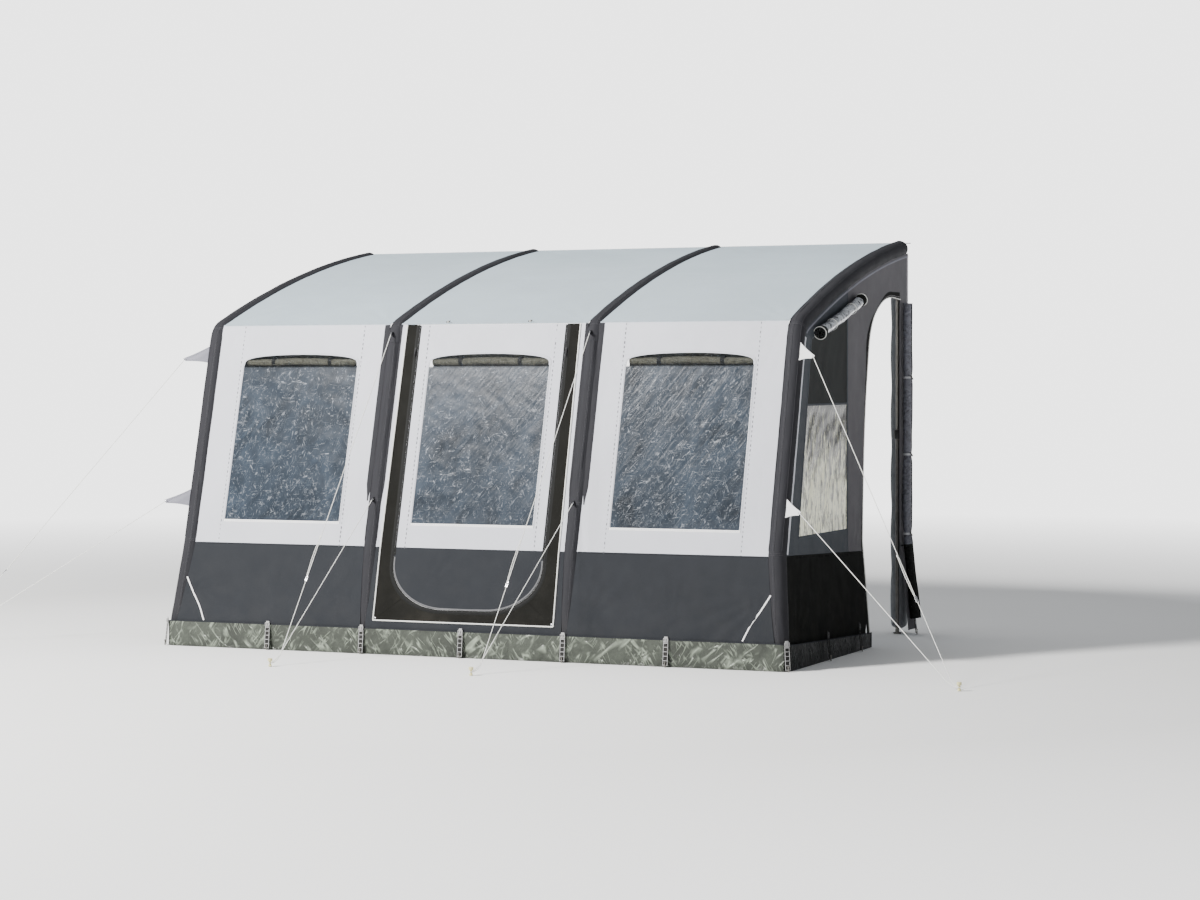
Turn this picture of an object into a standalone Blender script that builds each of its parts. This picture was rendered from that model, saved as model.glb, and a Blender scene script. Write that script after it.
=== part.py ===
"""A caravan porch awning with four air beams: roof, walls, windows, doors, mud wall, poles and guy lines."""

import math

import bmesh
import bpy
import numpy as np
from mathutils import Matrix, Vector

# Overall sizes, in metres: +X to the right, -Y the front, +Y the caravan, +Z up from the ground
WIDTH = 3.786
DEPTH = 2.42
RAIL_HEIGHT = 2.42
EAVE_HEIGHT = 1.903
EAVE_SETBACK = 0.419
SEAM_HEIGHT = 0.612
SEAM_SETBACK = 0.085
ROOF_CROWN = 0.065
FOOT_SPREAD = 0.0575
FOOT_STRAIGHT = 0.03
RAIL_STANDOFF = 0.01
ROOF_STEPS = 10

# Cloth, and the clearance between neighbours
FABRIC = 0.004
PANE = 0.002
PANE_RECESS = 0.001
GAP = 0.0003
OVERRUN = 0.02

# Air beams
BEAM_DIAMETER = 0.104
BEAM_SIDES = 12
BEAM_PROUD = 0.018
SIDE_RECESS = 0.014
MIDDLE_BEAM_X = 0.633
EAVE_BEND = 0.095
EAVE_BEND_STEPS = 5
BEAM_END_CLEARANCE = 0.0053
BEAM_TWIST_CLEARANCE = 0.0008

# Mud wall
MUD_HEIGHT = 0.15
MUD_REAR_HEIGHT = 0.086
MUD_SIDE_FRONT_HEIGHT = 0.14
MUD_THICKNESS = 0.004
MUD_SIDE_END = 1.45
HEM_LIFT = 0.05

# Front windows
WINDOW_X = 1.24
WINDOW_HALF = 0.383
WINDOW_RAISE = 0.133
SHOULDER_DROP = 0.253
ARCH_RISE = 0.068
ARCH_STEPS = 8

# Front door
LEAF_HALF = 0.47
LEAF_SILL = 0.265
LEAF_CORNER_WIDTH = 0.33
LEAF_CORNER_DROP = 0.097
LEAF_CORNER_STEPS = 6

# Zip sliders
SLIDER_WIDTH = 0.012
SLIDER_LENGTH = 0.032
SLIDER_THICKNESS = 0.006
SLIDER_EAVE_DROP = 0.15
SLIDER_OFFSET = 0.012

# Rolled blinds, storm flaps and side doors
BLIND_RADIUS = 0.0275
BLIND_HALF = 0.37
BLIND_STATION_SHARES = (-1.0, -0.5, 0.0, 0.5, 1.0)
BLIND_RADIUS_SHARES = (0.93, 1.0, 0.96, 1.0, 0.93)
BLIND_ABOVE_SHOULDER = 0.03
FLAP_RADIUS = 0.034
FLAP_FRONT_REACH = 0.644
FLAP_FRONT_DROP = 0.068
FLAP_REAR_REACH = 1.38
FLAP_REAR_DROP = 0.1
FLAP_STATION_SHARES = (0.0, 0.12, 0.35, 0.65, 0.88, 1.0)
FLAP_RADIUS_SHARES = (0.85, 0.98, 1.0, 0.96, 1.0, 0.88)
DOOR_ROLL_RADIUS = 0.028
DOOR_ROLL_SWELL = 0.003
DOOR_ROLL_SWELL_SHARES = (0.2, 1.0, 0.6, 1.0, 0.4, 0.8, 0.0)
DOOR_ROLL_FOOT = 0.1
DOOR_ROLL_HEAD_DROP = 0.065
DOOR_ROLL_SETBACK = 0.055

# Side walls, their windows and doorways
SIDE_SEAM_FRONT_DROP = 0.003
SIDE_SEAM_FALL = 0.057
SIDE_HEM = 0.03
WALL_REAR_INSET = 0.005
DOORWAY_FRONT_FOOT = 1.432
DOORWAY_FRONT_LEAN = 0.149
DOORWAY_SHOULDER_DROP = 0.305
DOORWAY_ARCH_IN = 0.063
DOORWAY_ARCH_DROP = 0.202
DOORWAY_HAUNCH_IN = 0.178
DOORWAY_HAUNCH_DROP = 0.123
DOORWAY_TOP_IN = 0.447
DOORWAY_HEAD_DROP = 0.18
STRIP_WIDTH = 0.17
SIDE_WINDOW_FRONT_IN = 0.378
SIDE_WINDOW_LEAN = 0.22
SIDE_WINDOW_RAISE = 0.085
SIDE_WINDOW_LENGTH = 0.846
SIDE_WINDOW_FRONT_DROP = 0.08
SIDE_WINDOW_REAR_DROP = 0.112

# Rail strip
STRIP_DEPTH = 0.0265
RAIL_BEAD = 0.007
BEAD_STEPS = 10

# Rear pads
PAD_WIDTH = 0.0997
PAD_DEPTH = 0.105
PAD_FOOT = 0.02
PAD_TOP_DROP = 0.14
PAD_SCALLOP = 0.008
PAD_SCALLOPS = 6
PAD_SCALLOP_STEPS = 4

# Rear poles
POLE_REAR_SPACE = 0.135
LOWER_TUBE_RADIUS = 0.011
LOWER_TUBE_TOP = 1.25
LOWER_BORE_FLOOR = 0.5
UPPER_TUBE_RADIUS = 0.0095
UPPER_TUBE_FOOT = 1.10
COLLAR_RADIUS = 0.017
COLLAR_HEIGHT = 0.05
POLE_FOOT_RADIUS = 0.025
POLE_FOOT_HEIGHT = 0.008
HEAD_RADIUS = 0.012
HEAD_HEIGHT = 0.014
HEAD_SLOPE_CLEARANCE = 0.0014
POLE_SIDES = 16

# Inflation valve
VALVE_HEIGHT = 0.36
VALVE_BOSS_RADIUS = 0.014
VALVE_BOSS_REACH = 0.008
VALVE_CAP_RADIUS = 0.017
VALVE_CAP_DEPTH = 0.014
VALVE_CAP_EDGE = 0.003
VALVE_SIDES = 20

# Guy lines: tabs, cords, runners and pegs
TAB_THICKNESS = 0.005
TAB_TIP = 0.016
TAB_BASE_OUTER = 0.14
TAB_BASE_MIDDLE = 0.05
TAB_REACH_OUT = 0.152
TAB_REACH_FORWARD = 0.131
TAB_REACH_MIDDLE = 0.078
UPPER_TAB_DROP_OUTER = 0.173
UPPER_TAB_DROP_MIDDLE = 0.072
UPPER_TIP_DROP = 0.041
LOWER_TAB_RISE = 0.263
LOWER_TIP_DROP = 0.028
CORD_DIAMETER = 0.004
CORD_CLEARANCE = 0.0013
CORD_HEIGHT = 0.019
CORD_WRAP_STEPS = 6
CORD_LINE_STEPS = 7
CORD_BLEND = 0.06
CORD_BLEND_STEPS = 4
OUTER_LEFT_PEG_OUT = 1.449
OUTER_LEFT_PEG_FORWARD = 0.311
MIDDLE_LEFT_PEG_OUT = 0.136
MIDDLE_LEFT_PEG_FORWARD = 0.802
MIDDLE_RIGHT_PEG_IN = 0.184
MIDDLE_RIGHT_PEG_FORWARD = 0.784
OUTER_RIGHT_PEG_OUT = 1.14
OUTER_RIGHT_PEG_FORWARD = 0.485
PEG_NECK_RADIUS = 0.006
PEG_BASE_RADIUS = 0.009
PEG_BASE_HEIGHT = 0.011
PEG_HEAD_RADIUS = 0.013
PEG_HEAD_FOOT = 0.027
PEG_HEIGHT = 0.045
PEG_EDGE = 0.003
PEG_SIDES = 16
RUNNER_LENGTH = 0.036
RUNNER_WIDTH = 0.012
RUNNER_THICKNESS = 0.008
RUNNER_CLEARANCE = 0.0006
RUNNER_FROM_PEG = 0.52
RUNNER_BORE_SIDES = 12

# Ladder straps at the mud wall
LADDER_WIDTH = 0.025
LADDER_THICKNESS = 0.004
LADDER_TOP = 0.165
LADDER_FOOT = 0.008
LADDER_STAND = 0.025
LADDER_HOLE_WIDTH = 0.013
LADDER_HOLE_HEIGHT = 0.013
LADDER_HOLE_PITCH = 0.024
LADDER_FIRST_HOLE = 0.02
LADDER_HOLES = 5
LADDER_X = 1.25
BUCKLE_WIDTH = 0.032
BUCKLE_THICKNESS = 0.008
BUCKLE_HEIGHT = 0.024
GROUND_PEG_RADIUS = 0.004
GROUND_PEG_HEIGHT = 0.032
GROUND_PEG_SIDES = 10

# Places worked out from the sizes
HALF_WIDTH = WIDTH / 2
BEAM_RADIUS = BEAM_DIAMETER / 2
OUTER_BEAM_X = HALF_WIDTH - BEAM_RADIUS
FRONT_Y = -DEPTH / 2
HEM_Y = FRONT_Y + MUD_THICKNESS + GAP
SEAM_Y = FRONT_Y + SEAM_SETBACK
EAVE_Y = FRONT_Y + EAVE_SETBACK
RAIL_Y = DEPTH / 2 - RAIL_STANDOFF
STRIP_FRONT_Y = RAIL_Y - RAIL_BEAD / 2 - STRIP_DEPTH
BEAM_END_Y = STRIP_FRONT_Y - BEAM_END_CLEARANCE
WALL_REAR_Y = RAIL_Y - WALL_REAR_INSET
DOORWAY_REAR_Y = WALL_REAR_Y - STRIP_WIDTH
DOORWAY_FRONT_Y = FRONT_Y + DOORWAY_FRONT_FOOT + DOORWAY_FRONT_LEAN
POLE_Y = DEPTH / 2 + LADDER_STAND - POLE_REAR_SPACE
MUD_CORNER = BEAM_RADIUS + MUD_THICKNESS + GAP
MUD_CORNER_STEPS = BEAM_SIDES // 4
MUD_SIDE_X = OUTER_BEAM_X + FOOT_SPREAD + MUD_CORNER
WRAP_RADIUS = PEG_NECK_RADIUS + GAP + CORD_DIAMETER / 2

# Base colour, roughness and metallic value of each material
MATERIALS = {
    "beam_sleeve": ((0.055, 0.052, 0.07), 0.75, 0.0),
    "roof_cloth": ((0.47, 0.52, 0.55), 0.7, 0.0),
    "pale_cloth": ((0.66, 0.65, 0.66), 0.75, 0.0),
    "charcoal_cloth": ((0.075, 0.08, 0.1), 0.75, 0.0),
    "dark_band": ((0.04, 0.036, 0.036), 0.7, 0.0),
    "grey_cloth": ((0.2, 0.2, 0.215), 0.75, 0.0),
    "black_cloth": ((0.03, 0.03, 0.035), 0.75, 0.0),
    "mud_sheet": ((0.12, 0.13, 0.12), 0.3, 0.0),
    "clear_pane": ((0.55, 0.62, 0.68), 0.15, 0.0),
    "blind_cloth": ((0.13, 0.12, 0.1), 0.8, 0.0),
    "roll_cloth": ((0.14, 0.15, 0.18), 0.6, 0.0),
    "keder": ((0.75, 0.75, 0.75), 0.5, 0.0),
    "pad_cloth": ((0.3, 0.31, 0.33), 0.8, 0.0),
    "steel": ((0.6, 0.6, 0.62), 0.3, 1.0),
    "black_plastic": ((0.03, 0.03, 0.03), 0.45, 0.0),
    "cord": ((0.8, 0.8, 0.77), 0.8, 0.0),
    "peg_plastic": ((0.75, 0.68, 0.35), 0.45, 0.0),
    "strap_rubber": ((0.55, 0.55, 0.55), 0.5, 0.0),
}


def clear_scene():
    for obj in list(bpy.data.objects):
        bpy.data.objects.remove(obj, do_unlink=True)


def new_collection(name, hidden=False):
    collection = bpy.data.collections.new(name)
    bpy.context.scene.collection.children.link(collection)
    collection.hide_render = hidden
    return collection


def material(name):
    """The named material, made once."""
    found = bpy.data.materials.get(name)
    if found:
        return found
    made = bpy.data.materials.new(name)
    made.use_nodes = True
    colour, roughness, metallic = MATERIALS[name]
    shader = made.node_tree.nodes["Principled BSDF"]
    shader.inputs["Base Color"].default_value = (*colour, 1.0)
    shader.inputs["Roughness"].default_value = roughness
    shader.inputs["Metallic"].default_value = metallic
    made.diffuse_color = (*colour, 1.0)
    return made


class Model:
    """The collections that the pieces and their helpers go in."""

    def __init__(self):
        self.parts = new_collection("caravan_awning")
        self.cutters = new_collection("cutters", hidden=True)

    def add(self, name, data, colour, helper=False):
        obj = bpy.data.objects.new(name, data)
        (self.cutters if helper else self.parts).objects.link(obj)
        if not data.materials:
            data.materials.append(material(colour))
        obj.hide_render = helper
        if helper:
            obj.display_type = "WIRE"
        return obj

    def boolean(self, obj, other, operation):
        modifier = obj.modifiers.new(other.name, "BOOLEAN")
        modifier.operation = operation
        modifier.object = other
        modifier.solver = "EXACT"


# Profile of the beams and of the cloth between them, as (y, z) points


def inner_normal(a, b):
    """Unit normal of a line that runs up and back, on its inner side."""
    dy = b[0] - a[0]
    dz = b[1] - a[1]
    length = math.hypot(dy, dz)
    return dz / length, -dy / length


def offset_line(points, distance):
    """The line moved inward by the distance, its corners mitred."""
    normals = [inner_normal(a, b) for a, b in zip(points, points[1:])]
    moved = []
    for i, (y, z) in enumerate(points):
        first = normals[max(i - 1, 0)]
        last = normals[min(i, len(normals) - 1)]
        sy = first[0] + last[0]
        sz = first[1] + last[1]
        reach = 2 * distance / (sy * sy + sz * sz)
        moved.append((y + sy * reach, z + sz * reach))
    return moved


def roof_point(share):
    """A point of the beams' outer side between the eave and the rail."""
    rise = RAIL_HEIGHT - EAVE_HEIGHT
    crown = 4 * ROOF_CROWN * share * (1 - share)
    return EAVE_Y + share * (RAIL_Y - EAVE_Y), EAVE_HEIGHT + share * rise + crown


def outer_line(end_y):
    """The beams' outer side, from the ground over the eave to end_y."""
    points = [(HEM_Y, 0.0), (HEM_Y, FOOT_STRAIGHT), (HEM_Y, MUD_HEIGHT), (SEAM_Y, SEAM_HEIGHT)]
    stations = [roof_point(i / ROOF_STEPS) for i in range(ROOF_STEPS + 1)]
    kept = [p for p in stations[:-1] if p[0] < end_y]
    a, b = stations[len(kept) - 1 : len(kept) + 1]
    share = (end_y - a[0]) / (b[0] - a[0])
    return points + kept + [(end_y, a[1] + share * (b[1] - a[1]))]


EAVE_INDEX = 4


def beam_axis(end_y=BEAM_END_Y):
    """The beams' centre line, with the bend at the eave rounded."""
    line = offset_line(outer_line(end_y), BEAM_RADIUS)
    before, corner, after = line[EAVE_INDEX - 1 : EAVE_INDEX + 2]
    n1 = inner_normal(before, corner)
    n2 = inner_normal(corner, after)
    turn = math.acos(n1[0] * n2[0] + n1[1] * n2[1])
    back = EAVE_BEND * math.tan(turn / 2)
    # The line's direction is its normal turned a quarter round
    centre = (corner[0] + n1[1] * back + n1[0] * EAVE_BEND, corner[1] - n1[0] * back + n1[1] * EAVE_BEND)
    start = math.atan2(-n1[1], -n1[0])
    arc = []
    for i in range(EAVE_BEND_STEPS + 1):
        angle = start - turn * i / EAVE_BEND_STEPS
        arc.append((centre[0] + EAVE_BEND * math.cos(angle), centre[1] + EAVE_BEND * math.sin(angle)))
    return line[:EAVE_INDEX] + arc + line[EAVE_INDEX + 1 :]


def panel_line():
    """The outer face of the cloth between the beams: flush at the hem, sunk by BEAM_PROUD above."""
    outer = outer_line(RAIL_Y)
    sunk = offset_line(outer, BEAM_PROUD)
    return outer[:3] + sunk[3:]


def at_height(line, z):
    """The y of a line's front part at the height z."""
    front = line[: EAVE_INDEX + 1]
    return float(np.interp(z, [p[1] for p in front], [p[0] for p in front]))


def at_depth(line, y):
    """The z of a line's roof part at the depth y."""
    roof = line[EAVE_INDEX:]
    return float(np.interp(y, [p[0] for p in roof], [p[1] for p in roof]))


PANELS = panel_line()
AXIS = beam_axis()
PANEL_SEAM_Z = PANELS[EAVE_INDEX - 1][1]
PANEL_EAVE = PANELS[EAVE_INDEX]
FRONT_NORMAL = inner_normal(PANELS[EAVE_INDEX - 1], PANELS[EAVE_INDEX])
ROOF_NORMAL = inner_normal(PANELS[EAVE_INDEX], PANELS[EAVE_INDEX + 1])
EAVE_TURN = math.acos(FRONT_NORMAL[0] * ROOF_NORMAL[0] + FRONT_NORMAL[1] * ROOF_NORMAL[1])
FRONT_TOP_BACK = FABRIC * max(math.sin(EAVE_TURN), math.tan(EAVE_TURN / 2)) + GAP
FRONT_TOP_Z = PANEL_EAVE[1] - FRONT_TOP_BACK * FRONT_NORMAL[0]
FRONT_TOP_Y = at_height(PANELS, FRONT_TOP_Z)
WINDOW_SILL = SEAM_HEIGHT + WINDOW_RAISE
WINDOW_SHOULDER = EAVE_HEIGHT - SHOULDER_DROP


def spread(z):
    """How far the outer beams stand out of line at the height z."""
    share = (SEAM_HEIGHT - max(z, FOOT_STRAIGHT)) / (SEAM_HEIGHT - FOOT_STRAIGHT)
    return FOOT_SPREAD * max(share, 0.0)


SPREAD_TILT = math.hypot(1.0, FOOT_SPREAD / (SEAM_HEIGHT - FOOT_STRAIGHT))


def half_chord(depth):
    """Half the width of a beam's many-sided section at a distance from its centre."""
    step = 2 * math.pi / BEAM_SIDES
    angle = math.acos(min(depth / BEAM_RADIUS, 1.0))
    low = math.floor(angle / step) * step
    high = low + step
    x1, d1 = math.sin(low), math.cos(low)
    x2, d2 = math.sin(high), math.cos(high)
    along = (d1 - depth / BEAM_RADIUS) / (d1 - d2)
    if along < 0 or along > 1:
        along = min(max(along, 0.0), 1.0)
    return BEAM_RADIUS * (x1 + along * (x2 - x1))


def sunk_at(z):
    """How far the cloth's outer face lies inside the beams' outer side at the height z."""
    return BEAM_PROUD * min(max((z - MUD_HEIGHT) / (SEAM_HEIGHT - MUD_HEIGHT), 0.0), 1.0)


def bay_edge(z, outer):
    """Distance from a beam's centre line to the edge of the cloth beside it at the height z."""
    chord = half_chord(BEAM_RADIUS - sunk_at(z) - FABRIC) * (SPREAD_TILT if outer else 1.0)
    return chord + 2 * GAP


def outer_bay_x(z):
    return OUTER_BEAM_X + spread(z) - bay_edge(z, True)


def middle_bay_x(z):
    return MIDDLE_BEAM_X + bay_edge(z, False)


def door_bay_x(z):
    return MIDDLE_BEAM_X - bay_edge(z, False)


def lower_heights():
    """Heights from the hem to the seam at which the edge beside a beam turns, one of them at its second corner."""
    corner = BEAM_RADIUS * (1 - math.cos(2 * math.pi / BEAM_SIDES))
    share = (corner - FABRIC) / BEAM_PROUD
    heights = [HEM_LIFT, MUD_HEIGHT]
    if 0 < share < 1:
        heights.append(MUD_HEIGHT + (SEAM_HEIGHT - MUD_HEIGHT) * share)
    return heights + [PANEL_SEAM_Z]


LOWER_HEIGHTS = lower_heights()


# Outlines, as lists of (u, v) points


def window_outline(centre, inset):
    """A front window: square sill, arched head."""
    half = WINDOW_HALF - inset
    points = [(centre - half, WINDOW_SILL + inset), (centre + half, WINDOW_SILL + inset)]
    for i in range(ARCH_STEPS + 1):
        angle = math.pi * i / ARCH_STEPS
        rise = (ARCH_RISE - inset) * math.sqrt(math.sin(angle))
        points.append((centre + half * math.cos(angle), WINDOW_SHOULDER + rise))
    return points


def leaf_edge(inset):
    """Left half of the door leaf's edge below its straight part, from the side to the sill."""
    half = LEAF_HALF - inset
    sill = LEAF_SILL + inset
    height = SEAM_HEIGHT - LEAF_CORNER_DROP - LEAF_SILL
    points = []
    for i in range(LEAF_CORNER_STEPS + 1):
        angle = math.pi / 2 * i / LEAF_CORNER_STEPS
        x = half - LEAF_CORNER_WIDTH * (1 - math.cos(angle))
        z = sill + height * (1 - math.sin(angle))
        points.append((-x, z))
    return points


def mirrored(points):
    return [(-x, z) for x, z in reversed(points)]


# Laying flat outlines on the awning's faces


def on_front(x, z):
    return Vector((x, at_height(PANELS, z), z))


def on_roof(x, y):
    return Vector((x, y, at_depth(PANELS, y)))


def wall_x(z):
    """Outer face of the side walls at the height z, on the right."""
    return HALF_WIDTH - SIDE_RECESS + spread(z)


def on_side(sign):
    def place(y, z):
        return Vector((sign * wall_x(z), y, z))

    return place


def sunk(place, depth, direction):
    """A placing function moved along one direction."""

    def moved(u, v):
        return place(u, v) + direction * depth

    return moved


def skin(model, name, loops, place, cuts, facing, colour, thickness=FABRIC, helper=False):
    """A sheet: loops filled flat, folded along the cuts, laid by place and thickened inward."""
    bm = bmesh.new()
    for loop in loops:
        corners = [bm.verts.new((u, v, 0.0)) for u, v in loop]
        for a, b in zip(corners, corners[1:] + corners[:1]):
            bm.edges.new((a, b))
    bmesh.ops.triangle_fill(bm, edges=bm.edges[:], use_beauty=True)
    for axis, value in cuts:
        normal = Vector((0.0, 0.0, 0.0))
        normal[axis] = 1.0
        whole = bm.verts[:] + bm.edges[:] + bm.faces[:]
        bmesh.ops.bisect_plane(bm, geom=whole, dist=GAP / 100, plane_co=normal * value, plane_no=normal)
    for vert in bm.verts:
        vert.co = place(vert.co.x, vert.co.y)
    bmesh.ops.recalc_face_normals(bm, faces=bm.faces[:])
    bm.normal_update()
    total = sum((face.normal * face.calc_area() for face in bm.faces), Vector())
    if total.dot(facing) < 0:
        bmesh.ops.reverse_faces(bm, faces=bm.faces[:])
    mesh = bpy.data.meshes.new(name)
    bm.to_mesh(mesh)
    bm.free()
    obj = model.add(name, mesh, colour, helper)
    modifier = obj.modifiers.new("thickness", "SOLIDIFY")
    modifier.thickness = thickness
    modifier.offset = -1.0
    modifier.use_even_offset = True
    return obj


def tube(model, name, points, radii, colour, resolution=2, helper=False):
    """A round piece along a line of points, each with its own radius."""
    curve = bpy.data.curves.new(name, "CURVE")
    curve.dimensions = "3D"
    curve.bevel_depth = max(radii)
    curve.bevel_resolution = resolution
    curve.use_fill_caps = True
    spline = curve.splines.new("POLY")
    spline.points.add(len(points) - 1)
    for place, point, radius in zip(spline.points, points, radii):
        place.co = (*point, 1.0)
        place.radius = radius / max(radii)
    return model.add(name, curve, colour, helper)


def as_mesh(model, obj):
    """The object with its curve or modifiers made a plain closed mesh."""
    bpy.context.view_layer.update()
    graph = bpy.context.evaluated_depsgraph_get()
    mesh = bpy.data.meshes.new_from_object(obj.evaluated_get(graph))
    bm = bmesh.new()
    bm.from_mesh(mesh)
    bmesh.ops.remove_doubles(bm, verts=bm.verts[:], dist=GAP / 100)
    bmesh.ops.recalc_face_normals(bm, faces=bm.faces[:])
    bm.to_mesh(mesh)
    bm.free()
    name = obj.name
    helper = obj.hide_render
    matrix = obj.matrix_world.copy()
    bpy.data.objects.remove(obj, do_unlink=True)
    mesh.name = name
    made = model.add(name, mesh, "steel", helper)
    made.matrix_world = matrix
    return made


def block(model, name, size, location, colour, rotation=None, helper=False):
    bm = bmesh.new()
    bmesh.ops.create_cube(bm, size=1.0, matrix=Matrix.Diagonal((*size, 1.0)))
    mesh = bpy.data.meshes.new(name)
    bm.to_mesh(mesh)
    bm.free()
    obj = model.add(name, mesh, colour, helper)
    obj.location = location
    if rotation:
        obj.rotation_euler = rotation
    return obj


def rod(model, name, radius, length, location, colour, sides, direction=None, helper=False):
    """A cylinder centred on location, along +Z or the direction."""
    bm = bmesh.new()
    bmesh.ops.create_cone(
        bm, cap_ends=True, segments=sides, radius1=radius, radius2=radius, depth=length
    )
    mesh = bpy.data.meshes.new(name)
    bm.to_mesh(mesh)
    bm.free()
    mesh.shade_smooth()
    mesh.set_sharp_from_angle(angle=math.radians(40))
    obj = model.add(name, mesh, colour, helper)
    obj.location = location
    if direction:
        obj.rotation_euler = direction.to_track_quat("Z", "Y").to_euler()
    return obj


def turned(model, name, profile, location, colour, sides):
    """A turned piece: (radius, height) points down the outer side, both ends on the axis."""
    mesh = bpy.data.meshes.new(name)
    bm = bmesh.new()
    points = [bm.verts.new((r, 0.0, z)) for r, z in profile]
    for a, b in zip(points, points[1:]):
        bm.edges.new((a, b))
    bm.to_mesh(mesh)
    bm.free()
    obj = model.add(name, mesh, colour)
    modifier = obj.modifiers.new("turning", "SCREW")
    modifier.steps = sides
    modifier.render_steps = sides
    modifier.use_merge_vertices = True
    modifier.merge_threshold = GAP / 10
    modifier.use_smooth_shade = True
    obj.location = location
    return obj


def extruded(model, name, outline, half_length, colour):
    """A flat outline in its own XY plane, extruded both ways along its Z."""
    curve = bpy.data.curves.new(name, "CURVE")
    curve.dimensions = "2D"
    curve.fill_mode = "BOTH"
    curve.extrude = half_length
    spline = curve.splines.new("POLY")
    spline.points.add(len(outline) - 1)
    for place, (u, v) in zip(spline.points, outline):
        place.co = (u, v, 0.0, 1.0)
    spline.use_cyclic_u = True
    return model.add(name, curve, colour)


# Guy lines


def beam_x(number, z):
    """Centre line of beam 1 to 4 at the height z."""
    side = -1.0 if number < 3 else 1.0
    if number in (1, 4):
        return side * (OUTER_BEAM_X + spread(z))
    return side * MIDDLE_BEAM_X


def axis_y(z):
    """Depth of the beams' centre line at a height below the eave's bend."""
    front = AXIS[: EAVE_INDEX + 1]
    return float(np.interp(z, [p[1] for p in front], [p[0] for p in front]))


def peg_place(number):
    """Where each guy line's peg stands, from the foot of its beam."""
    left = beam_x(1, 0.0)
    right = beam_x(4, 0.0)
    places = {
        1: (left - OUTER_LEFT_PEG_OUT, -OUTER_LEFT_PEG_FORWARD),
        2: (-MIDDLE_BEAM_X - MIDDLE_LEFT_PEG_OUT, -MIDDLE_LEFT_PEG_FORWARD),
        3: (MIDDLE_BEAM_X - MIDDLE_RIGHT_PEG_IN, -MIDDLE_RIGHT_PEG_FORWARD),
        4: (right + OUTER_RIGHT_PEG_OUT, -OUTER_RIGHT_PEG_FORWARD),
    }
    x, forward = places[number]
    return Vector((x, FRONT_Y + forward, 0.0))


def tab_place(number, upper):
    """Root of a tab on its beam's centre line, and its tip."""
    outer = number in (1, 4)
    side = -1.0 if number < 3 else 1.0
    if upper:
        z = EAVE_HEIGHT - (UPPER_TAB_DROP_OUTER if outer else UPPER_TAB_DROP_MIDDLE)
        drop = UPPER_TIP_DROP if outer else 0.0
    else:
        z = SEAM_HEIGHT + LOWER_TAB_RISE
        drop = LOWER_TIP_DROP if outer else 0.0
    root = Vector((beam_x(number, z), axis_y(z), z))
    if outer:
        reach = Vector((side * TAB_REACH_OUT, -TAB_REACH_FORWARD, -drop))
    else:
        reach = Vector((0.0, -TAB_REACH_MIDDLE, 0.0))
    return root, root + reach


def wrap_points(number):
    """The half turn of cord round the back of its peg's neck, from the upper line's side to the lower's."""
    peg = peg_place(number)
    root, _ = tab_place(number, True)
    away = Vector((peg.x - root.x, peg.y - root.y, 0.0)).normalized()
    side = Vector((-away.y, away.x, 0.0))
    centre = peg + Vector((0.0, 0.0, CORD_HEIGHT))
    points = []
    for i in range(CORD_WRAP_STEPS + 1):
        angle = math.pi * i / CORD_WRAP_STEPS
        points.append(centre + WRAP_RADIUS * (side * math.cos(angle) + away * math.sin(angle)))
    return points, away


def line_points(tip, landing, away):
    """A taut line from a tab's tip to a wrap, levelling out where it reaches the peg."""
    bend = landing - away * CORD_BLEND
    towards = (bend - tip).normalized()
    start = tip + towards * CORD_CLEARANCE
    first = bend - towards * CORD_BLEND
    points = [start.lerp(first, i / CORD_LINE_STEPS) for i in range(CORD_LINE_STEPS)]
    for i in range(CORD_BLEND_STEPS):
        s = i / CORD_BLEND_STEPS
        points.append(first.lerp(bend, s).lerp(bend.lerp(landing, s), s))
    return points


def cord_points(number):
    """The whole cord: upper tab, peg, lower tab."""
    wrap, away = wrap_points(number)
    _, upper = tab_place(number, True)
    _, lower = tab_place(number, False)
    down = line_points(upper, wrap[0], away)
    back = line_points(lower, wrap[-1], away)
    return down + wrap + back[::-1]


def line_direction(number, upper):
    """Direction in which a line leaves its tab."""
    wrap, away = wrap_points(number)
    _, tip = tab_place(number, upper)
    return (wrap[0 if upper else -1] - away * CORD_BLEND - tip).normalized()


def runner_place(number):
    """Middle of the runner on the upper line."""
    wrap, away = wrap_points(number)
    bend = wrap[0] - away * CORD_BLEND
    return bend - line_direction(number, True) * RUNNER_FROM_PEG


def beam_direction():
    """Unit vector up along the beams between the seam and the eave."""
    rise = EAVE_HEIGHT - SEAM_HEIGHT
    return Vector((0.0, EAVE_Y - SEAM_Y, rise)).normalized()


def make_tab(model, number, upper):
    """A tapered tab rooted along its beam's centre line, its tip's edge square to the guy line."""
    root, tip = tab_place(number, upper)
    pull = line_direction(number, upper)
    along = beam_direction()
    half = (TAB_BASE_OUTER if number in (1, 4) else TAB_BASE_MIDDLE) / 2
    square = (along - pull * along.dot(pull)).normalized() * (TAB_TIP / 2)
    normal = along.cross(tip - root).normalized()
    base = (root - along * half, root + along * half)
    end = (tip - square, tip + square)

    def place(u, v):
        return base[0].lerp(base[1], v).lerp(end[0].lerp(end[1], v), u) + normal * (TAB_THICKNESS / 2)

    loop = [(0.0, 0.0), (1.0, 0.0), (1.0, 1.0), (0.0, 1.0)]
    name = f"tab_{number}_{'upper' if upper else 'lower'}"
    return skin(model, name, [loop], place, [], normal, "pale_cloth", TAB_THICKNESS, helper=True)


# The pieces


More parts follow.
